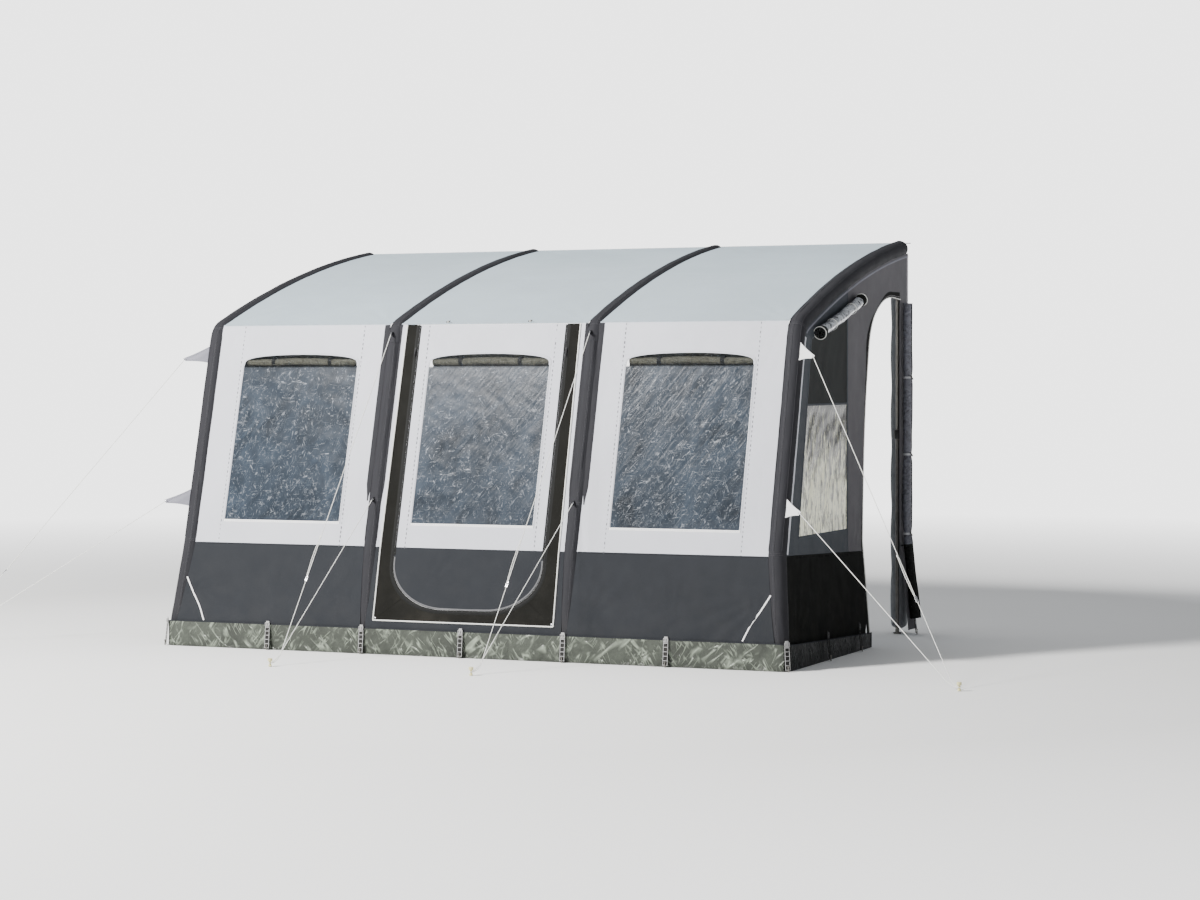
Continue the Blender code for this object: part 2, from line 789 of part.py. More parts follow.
def make_beams(model):
    for number in (1, 2, 3, 4):
        points = [Vector((beam_x(number, z), y, z)) for y, z in AXIS]
        raw = tube(model, f"air_beam_{number}", points, [BEAM_RADIUS] * len(points), "beam_sleeve", 4)
        beam = as_mesh(model, raw)
        beam.data.shade_smooth()
        for upper in (True, False):
            model.boolean(beam, make_tab(model, number, upper), "UNION")
        if number == 4:
            inner = beam_x(4, VALVE_HEIGHT) - BEAM_RADIUS
            depth = VALVE_BOSS_REACH + OVERRUN
            centre = (inner - VALVE_BOSS_REACH + depth / 2, axis_y(VALVE_HEIGHT), VALVE_HEIGHT)
            boss = rod(
                model,
                "valve_boss",
                VALVE_BOSS_RADIUS,
                depth,
                centre,
                "black_plastic",
                VALVE_SIDES,
                Vector((1.0, 0.0, 0.0)),
                helper=True,
            )
            model.boolean(beam, boss, "UNION")
    profile = [
        (0.0, VALVE_CAP_DEPTH),
        (VALVE_CAP_RADIUS - VALVE_CAP_EDGE, VALVE_CAP_DEPTH),
        (VALVE_CAP_RADIUS, VALVE_CAP_DEPTH - VALVE_CAP_EDGE),
        (VALVE_CAP_RADIUS, 0.0),
        (0.0, 0.0),
    ]
    face = beam_x(4, VALVE_HEIGHT) - BEAM_RADIUS - VALVE_BOSS_REACH - GAP
    place = (face, axis_y(VALVE_HEIGHT), VALVE_HEIGHT)
    cap = turned(model, "valve_cap", profile, place, "black_plastic", VALVE_SIDES)
    cap.rotation_euler = (0.0, -math.pi / 2, 0.0)


def make_roof(model):
    end = STRIP_FRONT_Y - GAP - FABRIC * inner_normal(*PANELS[-2:])[0]
    folds = [(1, y) for y, z in PANELS[EAVE_INDEX + 1 : -1] if y < end - OVERRUN]
    chord = bay_edge(EAVE_HEIGHT, False)
    bays = {
        "left": (-OUTER_BEAM_X + chord, -MIDDLE_BEAM_X - chord),
        "centre": (-MIDDLE_BEAM_X + chord, MIDDLE_BEAM_X - chord),
        "right": (MIDDLE_BEAM_X + chord, OUTER_BEAM_X - chord),
    }
    up = Vector((0.0, 0.0, 1.0))
    for bay, (x1, x2) in bays.items():
        loop = [(x1, PANEL_EAVE[0]), (x2, PANEL_EAVE[0]), (x2, end), (x1, end)]
        skin(model, f"roof_panel_{bay}", [loop], on_roof, folds, up, "roof_cloth")


def make_front(model):
    ahead = Vector((0.0, -1.0, 0.0))
    top = FRONT_TOP_Z
    low = PANEL_SEAM_Z - GAP / 2
    high = PANEL_SEAM_Z + GAP / 2
    heights = LOWER_HEIGHTS[:-1] + [low]
    folds = [(1, MUD_HEIGHT)]
    for side, sign in (("left", -1.0), ("right", 1.0)):
        outline = [
            (sign * outer_bay_x(high), high),
            (sign * outer_bay_x(top), top),
            (sign * middle_bay_x(top), top),
            (sign * middle_bay_x(high), high),
        ]
        window = window_outline(sign * WINDOW_X, 0.0)
        name = f"front_wall_{side}_upper"
        skin(model, name, [outline, window], on_front, [], ahead, "pale_cloth")
        outline = [(sign * outer_bay_x(z), z) for z in heights]
        outline += [(sign * middle_bay_x(z), z) for z in reversed(heights)]
        name = f"front_wall_{side}_lower"
        skin(model, name, [outline], on_front, folds, ahead, "charcoal_cloth")
    for bay, centre in (("left", -WINDOW_X), ("centre", 0.0), ("right", WINDOW_X)):
        inward = Vector((0.0, *FRONT_NORMAL))
        recessed = sunk(on_front, PANE_RECESS, inward)
        loop = window_outline(centre, GAP)
        skin(model, f"window_front_{bay}", [loop], recessed, [], ahead, "clear_pane", PANE)
        z = WINDOW_SHOULDER + BLIND_ABOVE_SHOULDER
        middle = on_front(centre, z) + inward * (PANE_RECESS + PANE + GAP + BLIND_RADIUS)
        points = [middle + Vector((share * BLIND_HALF, 0.0, 0.0)) for share in BLIND_STATION_SHARES]
        radii = [BLIND_RADIUS * share for share in BLIND_RADIUS_SHARES]
        tube(model, f"blind_roll_{bay}", points, radii, "blind_cloth", 6)


def make_door(model):
    ahead = Vector((0.0, -1.0, 0.0))
    heights = LOWER_HEIGHTS[:-1] + [PANEL_SEAM_Z, FRONT_TOP_Z]
    corner = leaf_edge(-GAP)
    inner = [(-LEAF_HALF - GAP, FRONT_TOP_Z)] + corner
    loop = [(-door_bay_x(z), z) for z in reversed(heights)]
    loop += [(door_bay_x(z), z) for z in heights]
    loop += [(-x, z) for x, z in inner] + inner[::-1]
    folds = [(1, MUD_HEIGHT), (1, PANEL_SEAM_Z)]
    skin(model, "door_surround", [loop], on_front, folds, ahead, "dark_band")
    high = PANEL_SEAM_Z + GAP / 2
    low = PANEL_SEAM_Z - GAP / 2
    upper = [(-LEAF_HALF, high), (-LEAF_HALF, FRONT_TOP_Z), (LEAF_HALF, FRONT_TOP_Z), (LEAF_HALF, high)]
    window = window_outline(0.0, 0.0)
    skin(model, "door_leaf_upper", [upper, window], on_front, [], ahead, "pale_cloth")
    edge = [(-LEAF_HALF, low)] + leaf_edge(0.0)
    skin(model, "door_leaf_lower", [edge + mirrored(edge)], on_front, [], ahead, "charcoal_cloth")
    z = FRONT_TOP_Z - SLIDER_EAVE_DROP
    inward = Vector((0.0, *FRONT_NORMAL))
    size = (SLIDER_WIDTH, SLIDER_THICKNESS, SLIDER_LENGTH)
    lean = -math.atan2(-FRONT_NORMAL[1], FRONT_NORMAL[0])
    for side, sign in (("left", -1.0), ("right", 1.0)):
        place = on_front(sign * (LEAF_HALF + SLIDER_OFFSET), z)
        place -= inward * (GAP + SLIDER_THICKNESS / 2)
        block(model, f"zip_slider_{side}", size, place, "steel", (lean, 0.0, 0.0))


def side_front_line():
    """Where the side walls meet the outer beam's inner side, from the hem to the rear."""
    depth = BEAM_RADIUS - SIDE_RECESS - FABRIC
    reach = half_chord(depth) * SPREAD_TILT + GAP + BEAM_TWIST_CLEARANCE
    line = offset_line(beam_axis(WALL_REAR_Y + OVERRUN), reach)
    cut = [p for p in line if SIDE_HEM < p[1] and p[0] < WALL_REAR_Y]
    below = [p for p in line if p[1] <= SIDE_HEM][-1]
    beyond = [p for p in line if p[0] >= WALL_REAR_Y][0]
    share = (WALL_REAR_Y - cut[-1][0]) / (beyond[0] - cut[-1][0])
    last = (WALL_REAR_Y, cut[-1][1] + share * (beyond[1] - cut[-1][1]))
    return [(below[0], SIDE_HEM)] + cut + [last]


SIDE_EDGE = side_front_line()


def wall_top(y):
    """Height of the side walls' top edge at the depth y."""
    roof = [p for p in SIDE_EDGE if p[1] > EAVE_HEIGHT - BEAM_DIAMETER]
    return float(np.interp(y, [p[0] for p in roof], [p[1] for p in roof]))


DOORWAY_TOP = wall_top(DOORWAY_FRONT_Y + DOORWAY_TOP_IN) - DOORWAY_HEAD_DROP


def doorway():
    """The side doorway's edge, up its front side, over its head and down its rear side, as (y, z)."""
    front = FRONT_Y + DOORWAY_FRONT_FOOT
    head = DOORWAY_TOP
    return [
        (front, SIDE_HEM),
        (DOORWAY_FRONT_Y, head - DOORWAY_SHOULDER_DROP),
        (DOORWAY_FRONT_Y + DOORWAY_ARCH_IN, head - DOORWAY_ARCH_DROP),
        (DOORWAY_FRONT_Y + DOORWAY_HAUNCH_IN, head - DOORWAY_HAUNCH_DROP),
        (DOORWAY_FRONT_Y + DOORWAY_TOP_IN, head),
        (DOORWAY_REAR_Y, head),
        (DOORWAY_REAR_Y, SIDE_HEM),
    ]


def side_seam(y):
    """Height of the seam on the side walls, which falls towards the rear."""
    span = DOORWAY_FRONT_Y - SEAM_Y
    return SEAM_HEIGHT - SIDE_SEAM_FRONT_DROP - SIDE_SEAM_FALL * (y - SEAM_Y) / span


def crossing(line, gap):
    """The first point where a rising line passes the side seam, moved by gap in height."""
    for a, b in zip(line, line[1:]):
        before = a[1] - side_seam(a[0]) - gap
        after = b[1] - side_seam(b[0]) - gap
        if before < 0 <= after:
            share = -before / (after - before)
            return (a[0] + share * (b[0] - a[0]), a[1] + share * (b[1] - a[1]))
    raise ValueError("the line doesn't cross the side seam")


def side_window_outline(inset):
    """A side window, its front edge leaning like the beam and its head rising to the rear."""
    sill = SEAM_HEIGHT + SIDE_WINDOW_RAISE + inset
    front = FRONT_Y + SIDE_WINDOW_FRONT_IN + inset
    rear = FRONT_Y + SIDE_WINDOW_FRONT_IN + SIDE_WINDOW_LENGTH - inset
    corner = front + SIDE_WINDOW_LEAN
    return [
        (front, sill),
        (rear, sill),
        (rear, wall_top(rear) - SIDE_WINDOW_REAR_DROP - inset),
        (corner, wall_top(corner) - SIDE_WINDOW_FRONT_DROP - inset),
    ]


def make_sides(model):
    edge = SIDE_EDGE
    way = doorway()
    front_way = way[:2]
    for side, sign in (("left", -1.0), ("right", 1.0)):
        out = Vector((sign, 0.0, 0.0))
        place = on_side(sign)
        low = -GAP / 2
        high = GAP / 2
        start = crossing(edge, high)
        loop = [start] + [p for p in edge if p[1] > start[1]]
        loop += [(WALL_REAR_Y, SIDE_HEM), way[-1]] + way[1:-1][::-1] + [crossing(front_way, high)]
        hole = side_window_outline(0.0)
        folds = [(1, SEAM_HEIGHT)]
        skin(model, f"side_wall_{side}_upper", [loop, hole], place, folds, out, "grey_cloth")
        start = crossing(edge, low)
        loop = [p for p in edge if p[1] < start[1] and p[0] < EAVE_Y] + [start]
        loop += [crossing(front_way, low), way[0]]
        skin(model, f"side_wall_{side}_lower", [loop], place, folds, out, "black_cloth")
        pane = sunk(place, PANE_RECESS, -out)
        loop = side_window_outline(GAP)
        skin(model, f"side_window_{side}", [loop], pane, [], out, "clear_pane", PANE)
        make_rolls(model, side, sign)


def make_rolls(model, side, sign):
    """The rolled storm flap over a side window, and the rolled door on the strip behind its doorway."""
    x = wall_x(EAVE_HEIGHT) + GAP + FLAP_RADIUS
    front_y = FRONT_Y + FLAP_FRONT_REACH
    rear_y = FRONT_Y + FLAP_REAR_REACH
    front = Vector((sign * x, front_y, wall_top(front_y) - FLAP_FRONT_DROP))
    rear = Vector((sign * x, rear_y, wall_top(rear_y) - FLAP_REAR_DROP))
    points = [front.lerp(rear, share) for share in FLAP_STATION_SHARES]
    radii = [FLAP_RADIUS * share for share in FLAP_RADIUS_SHARES]
    tube(model, f"flap_roll_{side}", points, radii, "roll_cloth")
    top = DOORWAY_TOP - DOOR_ROLL_HEAD_DROP
    heights = [DOOR_ROLL_FOOT + (SEAM_HEIGHT - DOOR_ROLL_FOOT) * i / 2 for i in range(3)]
    heights += [SEAM_HEIGHT + (top - SEAM_HEIGHT) * i / 4 for i in range(1, 5)]
    widest = DOOR_ROLL_RADIUS + DOOR_ROLL_SWELL
    y = DOORWAY_REAR_Y + DOOR_ROLL_SETBACK
    points = [Vector((sign * (wall_x(z) + GAP * SPREAD_TILT + widest * SPREAD_TILT), y, z)) for z in heights]
    radii = [DOOR_ROLL_RADIUS + DOOR_ROLL_SWELL * share for share in DOOR_ROLL_SWELL_SHARES]
    tube(model, f"rolled_door_{side}", points, radii, "roll_cloth")


def mud_path():
    """The mud wall's outer face seen from above, from the left side's rear end round to the right's."""
    radius = MUD_CORNER
    corner = (OUTER_BEAM_X + FOOT_SPREAD, FRONT_Y + radius)
    right = []
    for i in range(MUD_CORNER_STEPS + 1):
        angle = math.pi / 2 * i / MUD_CORNER_STEPS
        right.append((corner[0] + radius * math.sin(angle), corner[1] - radius * math.cos(angle)))
    right.append((MUD_SIDE_X, FRONT_Y + MUD_SIDE_END))
    left = [(-x, y) for x, y in reversed(right)]
    return left + right


def make_mud_wall(model):
    path = mud_path()
    runs = [math.dist(a, b) for a, b in zip(path, path[1:])]
    stations = [sum(runs[:i]) for i in range(len(path))]

    def place(s, z):
        x = float(np.interp(s, stations, [p[0] for p in path]))
        y = float(np.interp(s, stations, [p[1] for p in path]))
        return Vector((x, y, z))

    first = MUD_CORNER_STEPS + 1
    tops = [MUD_REAR_HEIGHT] + [MUD_SIDE_FRONT_HEIGHT] + [MUD_HEIGHT] * (first - 1)
    tops = tops + tops[::-1]
    loop = [(s, 0.0) for s in stations]
    loop += list(zip(stations, tops))[::-1]
    folds = [(0, s) for s in stations[1:-1]]
    facing = Vector((0.0, -1.0, 0.0))
    skin(model, "mud_wall", [loop], place, folds, facing, "mud_sheet", MUD_THICKNESS)


def make_rail(model):
    """The keder strip that the caravan's rail holds: a flat strip with a round bead."""
    z = at_depth(PANELS, STRIP_FRONT_Y) - FABRIC / 2
    bead = RAIL_BEAD / 2
    join = math.asin(FABRIC / 2 / bead)
    outline = [(-bead - STRIP_DEPTH, -FABRIC / 2)]
    for i in range(BEAD_STEPS + 1):
        angle = math.pi + join + (2 * math.pi - 2 * join) * i / BEAD_STEPS
        outline.append((bead * math.cos(angle), bead * math.sin(angle)))
    outline.append((-bead - STRIP_DEPTH, FABRIC / 2))
    rail = extruded(model, "rail_strip", outline, HALF_WIDTH, "keder")
    rail.location = (0.0, RAIL_Y, z)
    rail.rotation_euler = (math.pi / 2, 0.0, math.pi / 2)


def make_pads(model):
    """Padded draught strips between the wall's rear edge and the caravan."""
    top = at_depth(PANELS, BEAM_END_Y) - PAD_TOP_DROP + BEAM_PROUD
    rear = DEPTH / 2 + LADDER_STAND
    outer = HALF_WIDTH - SIDE_RECESS - FABRIC - GAP
    count = PAD_SCALLOPS * PAD_SCALLOP_STEPS
    for side, sign in (("left", -1.0), ("right", 1.0)):
        outline = [(outer, PAD_FOOT), (outer, top)]
        for i in range(count + 1):
            share = i / count
            dip = PAD_SCALLOP * (1 - abs(math.sin(math.pi * PAD_SCALLOPS * share)))
            outline.append((outer - PAD_WIDTH + dip, top + (PAD_FOOT - top) * share))
        points = [(sign * x, z) for x, z in outline]
        pad = extruded(model, f"rear_pad_{side}", points, PAD_DEPTH / 2, "pad_cloth")
        pad.location = (0.0, rear - PAD_DEPTH / 2, 0.0)
        pad.rotation_euler = (math.pi / 2, 0.0, 0.0)


def pole_top():
    """Height of the flat top of the poles, just under the outer beams."""
    line = AXIS[EAVE_INDEX:]
    z = float(np.interp(POLE_Y, [p[0] for p in line], [p[1] for p in line]))
    slope = inner_normal(*AXIS[-2:])
    return z - BEAM_RADIUS / -slope[1] - HEAD_SLOPE_CLEARANCE - GAP


def make_poles(model):
    bore = UPPER_TUBE_RADIUS + GAP
    collar_foot = LOWER_TUBE_TOP - COLLAR_HEIGHT
    lower = [
        (0.0, LOWER_BORE_FLOOR),
        (bore, LOWER_BORE_FLOOR),
        (bore, LOWER_TUBE_TOP),
        (COLLAR_RADIUS, LOWER_TUBE_TOP),
        (COLLAR_RADIUS, collar_foot),
        (LOWER_TUBE_RADIUS, collar_foot),
        (LOWER_TUBE_RADIUS, POLE_FOOT_HEIGHT),
        (POLE_FOOT_RADIUS, POLE_FOOT_HEIGHT),
        (POLE_FOOT_RADIUS, 0.0),
        (0.0, 0.0),
    ]
    head = pole_top() - UPPER_TUBE_FOOT
    upper = [
        (0.0, head),
        (HEAD_RADIUS, head),
        (HEAD_RADIUS, head - HEAD_HEIGHT),
        (UPPER_TUBE_RADIUS, head - HEAD_HEIGHT),
        (UPPER_TUBE_RADIUS, 0.0),
        (0.0, 0.0),
    ]
    for side, sign in (("left", -1.0), ("right", 1.0)):
        x = sign * OUTER_BEAM_X
        turned(model, f"rear_pole_{side}_lower", lower, (x, POLE_Y, 0.0), "steel", POLE_SIDES)
        foot = (x, POLE_Y, UPPER_TUBE_FOOT)
        turned(model, f"rear_pole_{side}_upper", upper, foot, "steel", POLE_SIDES)


def make_guys(model):
    peg_profile = [
        (0.0, PEG_HEIGHT),
        (PEG_HEAD_RADIUS - PEG_EDGE, PEG_HEIGHT),
        (PEG_HEAD_RADIUS, PEG_HEIGHT - PEG_EDGE),
        (PEG_HEAD_RADIUS, PEG_HEAD_FOOT + PEG_EDGE),
        (PEG_NECK_RADIUS, PEG_HEAD_FOOT),
        (PEG_NECK_RADIUS, PEG_BASE_HEIGHT),
        (PEG_BASE_RADIUS, PEG_BASE_HEIGHT - PEG_EDGE),
        (PEG_BASE_RADIUS, 0.0),
        (0.0, 0.0),
    ]
    for number in (1, 2, 3, 4):
        points = cord_points(number)
        tube(model, f"guy_cord_{number}", points, [CORD_DIAMETER / 2] * len(points), "cord")
        turned(model, f"guy_peg_{number}", peg_profile, peg_place(number), "peg_plastic", PEG_SIDES)
        centre = runner_place(number)
        along = line_direction(number, True)
        turn = along.to_track_quat("Z", "Y").to_euler()
        size = (RUNNER_WIDTH, RUNNER_THICKNESS, RUNNER_LENGTH)
        runner = block(model, f"runner_{number}", size, centre, "steel", turn)
        radius = CORD_DIAMETER / 2 + RUNNER_CLEARANCE
        length = RUNNER_LENGTH + OVERRUN
        sides = RUNNER_BORE_SIDES
        bore = rod(model, f"runner_bore_{number}", radius, length, centre, "steel", sides, along, helper=True)
        model.boolean(runner, bore, "DIFFERENCE")


def make_ladders(model):
    """Ladder straps with buckle and ground peg, leaning from the mud wall's top to the ground."""
    strap_y = BUCKLE_THICKNESS / 2 + GAP
    foot = Vector((0.0, GROUND_PEG_RADIUS - LADDER_STAND, LADDER_FOOT))
    top = Vector((0.0, -strap_y, LADDER_TOP))
    up = (top - foot).normalized()
    length = (top - foot).length
    half = LADDER_WIDTH / 2
    loops = [[(-half, 0.0), (half, 0.0), (half, length), (-half, length)]]
    hole = LADDER_HOLE_WIDTH / 2
    for i in range(LADDER_HOLES):
        low = LADDER_FIRST_HOLE + i * LADDER_HOLE_PITCH
        high = low + LADDER_HOLE_HEIGHT
        loops.append([(-hole, low), (hole, low), (hole, high), (-hole, high)])
    normal = Vector((0.0, -up.z, up.y))

    def place(u, v):
        return foot + Vector((u, 0.0, 0.0)) + up * v + normal * (LADDER_THICKNESS / 2)

    strap = skin(model, "ladder_strap", loops, place, [], normal, "strap_rubber", LADDER_THICKNESS, True)
    size = (BUCKLE_WIDTH, BUCKLE_THICKNESS, BUCKLE_HEIGHT)
    seat = (0.0, -strap_y, LADDER_TOP - BUCKLE_HEIGHT / 2 + LADDER_FOOT)
    buckle = block(model, "ladder_buckle", size, seat, "strap_rubber", helper=True)
    centre = (0.0, foot.y, GROUND_PEG_HEIGHT / 2)
    sides = GROUND_PEG_SIDES
    radius = GROUND_PEG_RADIUS
    stake = rod(model, "ladder_stake", radius, GROUND_PEG_HEIGHT, centre, "strap_rubber", sides, helper=True)
    model.boolean(strap, buckle, "UNION")
    model.boolean(strap, stake, "UNION")
    mesh = as_mesh(model, strap).data
    radius = MUD_CORNER
    corner = OUTER_BEAM_X + FOOT_SPREAD
    facet = math.pi / 4 / MUD_CORNER_STEPS
    diagonal = radius * math.cos(facet) * math.cos(math.pi / 4)
    end = (corner + diagonal, FRONT_Y + radius - diagonal, math.pi / 4)
    places = [(-end[0], end[1], -end[2])]
    places += [(x, FRONT_Y, 0.0) for x in (-LADDER_X, -MIDDLE_BEAM_X, 0.0, MIDDLE_BEAM_X, LADDER_X)]
    places.append(end)
    for number, (x, y, turn) in enumerate(places, 1):
        ladder = model.add(f"ladder_{number}", mesh, "strap_rubber")
        ladder.location = (x, y, 0.0)
        ladder.rotation_euler = (0.0, 0.0, turn)


def main():
    clear_scene()
    model = Model()
    make_beams(model)
    make_roof(model)
    make_front(model)
    make_door(model)
    make_sides(model)
    make_mud_wall(model)
    make_rail(model)
    make_pads(model)
    make_poles(model)
    make_guys(model)
    make_ladders(model)


if __name__ == "__main__":
    main()
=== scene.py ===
"""A caravan porch awning with four air beams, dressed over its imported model."""

import math

import bmesh
import bpy
import numpy as np
from mathutils import Matrix, Vector, geometry, kdtree


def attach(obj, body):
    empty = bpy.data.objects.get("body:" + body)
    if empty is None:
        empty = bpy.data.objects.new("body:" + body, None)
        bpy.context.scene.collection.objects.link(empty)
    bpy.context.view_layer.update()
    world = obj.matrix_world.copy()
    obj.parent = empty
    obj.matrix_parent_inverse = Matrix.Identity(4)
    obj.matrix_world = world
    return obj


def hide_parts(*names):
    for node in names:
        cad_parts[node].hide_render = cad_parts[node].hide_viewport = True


bl_info = {
    "name": "Caravan Awning",
    "version": (1, 0, 0),
    "blender": (4, 5, 0),
    "location": "3D View > Sidebar > Awning",
    "description": "Builds the cloth, windows, zips, beams and guy lines of a caravan porch awning",
    "category": "Add Mesh",
}

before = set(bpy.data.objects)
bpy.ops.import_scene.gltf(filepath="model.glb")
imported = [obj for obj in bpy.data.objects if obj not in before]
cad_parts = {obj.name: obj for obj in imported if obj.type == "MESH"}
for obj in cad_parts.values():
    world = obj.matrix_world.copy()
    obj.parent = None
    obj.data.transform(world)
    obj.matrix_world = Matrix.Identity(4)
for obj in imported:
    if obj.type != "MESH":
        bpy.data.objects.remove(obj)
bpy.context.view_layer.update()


# Where things are on the awning, in metres: +X right, -Y front, +Z up

BEAM_RADIUS = 0.052
OUTER_BEAM_X = 1.841
MIDDLE_BEAM_X = 0.633
FOOT_SPREAD = 0.0575
SPREAD_TOP = 0.612
SPREAD_FOOT = 0.03
MUD_TOP = 0.15
SEAM_Z = 0.608191
EAVE_Z = 1.889453
LEAF_TOP_Z = 1.885997
ROOF_END_Y = 1.1685
WALL_X = 1.879
WINDOW_X = 1.24
WINDOW_HALF = 0.383
WINDOW_SILL = 0.745
WINDOW_SHOULDER = 1.65
ARCH_RISE = 0.068
PANE_TOP_Z = 1.634
LEAF_HALF = 0.47
LEAF_SILL = 0.265
LEAF_CORNER = (0.33, 0.25)
PIPING_TOP_X = 0.553
PIPING_FOOT_X = 0.566
PIPING_FOOT_Z = 0.193
FLANGE_FOOT_Z = 0.868
SLIDER_X = 0.482
SLIDER_Z = 1.736
DOORWAY_SEAM_Y = 0.266
SIDES = (("left", -1.0), ("right", 1.0))
UP = (0.0, 0.0, 1.0)
FACING_FRONT = (0.0, -0.968, 0.25)
CORD_DIAMETER = 0.004
BAND_SCALE = 0.314  # a band pattern's scale times the pitch of its threads
BACKDROP = 3.2  # brightness of the backdrop
BLIND_DEPTH = 0.0312  # from the cloth to the middle of a rolled blind

# Depth and height along the front and roof cloth, the beams' centres and the side walls' edges
PANEL_LINE = (
    (-1.2057, 0.0), (-1.2057, 0.03), (-1.2057, 0.15), (-1.107393, 0.608191), (-0.775912, 1.889453),
    (-0.585742, 1.961185), (-0.387036, 2.030946), (-0.188341, 2.095515), (0.010346, 2.154891), (0.209024, 2.209076),
    (0.407693, 2.25807), (0.606356, 2.301874), (0.805011, 2.340487), (1.00366, 2.373911), (1.202533, 2.402179),
)
BEAM_LINE = (
    (-1.1537, 0.0), (-1.1537, 0.03), (-1.1537, 0.145493), (-1.074135, 0.600996), (-0.759754, 1.816162),
    (-0.753549, 1.833223), (-0.744211, 1.848791), (-0.732083, 1.862299), (-0.717606, 1.873254),
    (-0.70131, 1.881255), (-0.574109, 1.929235), (-0.37615, 1.998734), (-0.178218, 2.063054), (0.019688, 2.122197),
    (0.217568, 2.176165), (0.415425, 2.224958), (0.613261, 2.26858), (0.811076, 2.30703), (1.008874, 2.340311),
    (1.172018, 2.3635),
)
SIDE_EDGE = (
    (-1.115386, 0.03), (-1.115386, 0.142171), (-1.036657, 0.592889), (-0.723121, 1.80479), (-0.7188, 1.81667),
    (-0.713246, 1.825931), (-0.706031, 1.833966), (-0.69742, 1.840482), (-0.686072, 1.846054), (-0.561, 1.89323),
    (-0.363882, 1.962435), (-0.16681, 2.026476), (0.030215, 2.085356), (0.227197, 2.139078), (0.424139, 2.187646),
    (0.621042, 2.231061), (0.817911, 2.269328), (1.01475, 2.302447), (1.195, 2.328068),
)
DOORWAY = (
    (0.222, 0.03), (0.371, 1.784343), (0.434, 1.887343), (0.549, 1.966343), (0.818, 2.089343), (1.025, 2.089343),
    (1.025, 0.03),
)
SIDE_WINDOW = ((-0.832, 0.697), (0.014, 0.697), (0.014, 1.96851), (-0.612, 1.793994))

# Each guy line: its upper tab, the points down to its peg, round it and back, and its lower tab
CORD_LINES = {
    1: (
        (-1.99377, -0.91339, 1.68801), (-3.25452, -1.48593, 0.06465), (-3.2734, -1.49462, 0.04468),
        (-3.29458, -1.50461, 0.03041), (-3.31806, -1.51589, 0.02185), (-3.34384, -1.52845, 0.019),
        (-3.34806, -1.52928, 0.019), (-3.35213, -1.52789, 0.019), (-3.35495, -1.52466, 0.019),
        (-3.35578, -1.52044, 0.019), (-3.35439, -1.51637, 0.019), (-3.35115, -1.51355, 0.019),
        (-3.3245, -1.50115, 0.02096), (-3.29841, -1.49039, 0.02684), (-3.27288, -1.48126, 0.03663),
        (-3.2479, -1.47376, 0.05035), (-1.99407, -1.13454, 0.84632),
    ),
    2: (
        (-0.63307, -0.83844, 1.8299), (-0.75086, -1.92184, 0.07001), (-0.75275, -1.93931, 0.04769),
        (-0.75504, -1.96031, 0.03175), (-0.7577, -1.98484, 0.02219), (-0.76075, -2.0129, 0.019),
        (-0.7623, -2.0169, 0.019), (-0.76565, -2.01959, 0.019), (-0.7699, -2.02025, 0.019),
        (-0.7739, -2.0187, 0.019), (-0.77659, -2.01535, 0.019), (-0.77725, -2.0111, 0.019),
        (-0.774, -1.98235, 0.02161), (-0.77071, -1.95574, 0.02945), (-0.76739, -1.93127, 0.04252),
        (-0.76404, -1.90895, 0.06081), (-0.63315, -1.08217, 0.87409),
    ),
    3: (
        (0.6329, -0.83843, 1.82989), (0.47077, -1.90488, 0.07015), (0.46815, -1.92215, 0.04777),
        (0.46502, -1.94297, 0.03179), (0.46137, -1.96732, 0.0222), (0.45721, -1.99522, 0.019),
        (0.4555, -1.99916, 0.019), (0.45204, -2.00172, 0.019), (0.44778, -2.00221, 0.019),
        (0.44383, -2.0005, 0.019), (0.44128, -1.99704, 0.019), (0.44079, -1.99278, 0.019),
        (0.44522, -1.9642, 0.02163), (0.44968, -1.9378, 0.02951), (0.45415, -1.9136, 0.04265),
        (0.45864, -1.89158, 0.06104), (0.6328, -1.08215, 0.87409),
    ),
    4: (
        (1.99363, -0.91351, 1.68796), (2.96694, -1.63074, 0.06709), (2.98255, -1.64233, 0.04605),
        (3.00053, -1.6558, 0.03102), (3.02085, -1.67115, 0.02201), (3.04353, -1.6884, 0.019),
        (3.04616, -1.6918, 0.019), (3.04673, -1.69606, 0.019), (3.0451, -1.70003, 0.019),
        (3.0417, -1.70266, 0.019), (3.03744, -1.70323, 0.019), (3.03347, -1.7016, 0.019),
        (3.00993, -1.68426, 0.02122), (2.98703, -1.66862, 0.02789), (2.96476, -1.65467, 0.039),
        (2.94313, -1.64243, 0.05455), (1.99392, -1.13474, 0.84623),
    ),
}
# Each line runner's centre and its direction down the line
RUNNERS = {
    1: ((-2.982718, -1.362496, 0.414629), (-0.590882, -0.268332, -0.760826)),
    2: ((-0.724682, -1.681084, 0.4611), (-0.0569, -0.52339, -0.850191)),
    3: ((0.506902, -1.667206, 0.462335), (-0.078549, -0.516681, -0.852567)),
    4: ((2.745524, -1.467581, 0.435815), (0.481333, -0.354695, -0.801568)),
}
PEGS = {
    1: (-3.3475, -1.521, 0.0),
    2: (-0.769, -2.012, 0.0),
    3: (0.449, -1.994, 0.0),
    4: (3.0385, -1.695, 0.0),
}
BEAM_RISE = (0.0, 0.250468, 0.968125)
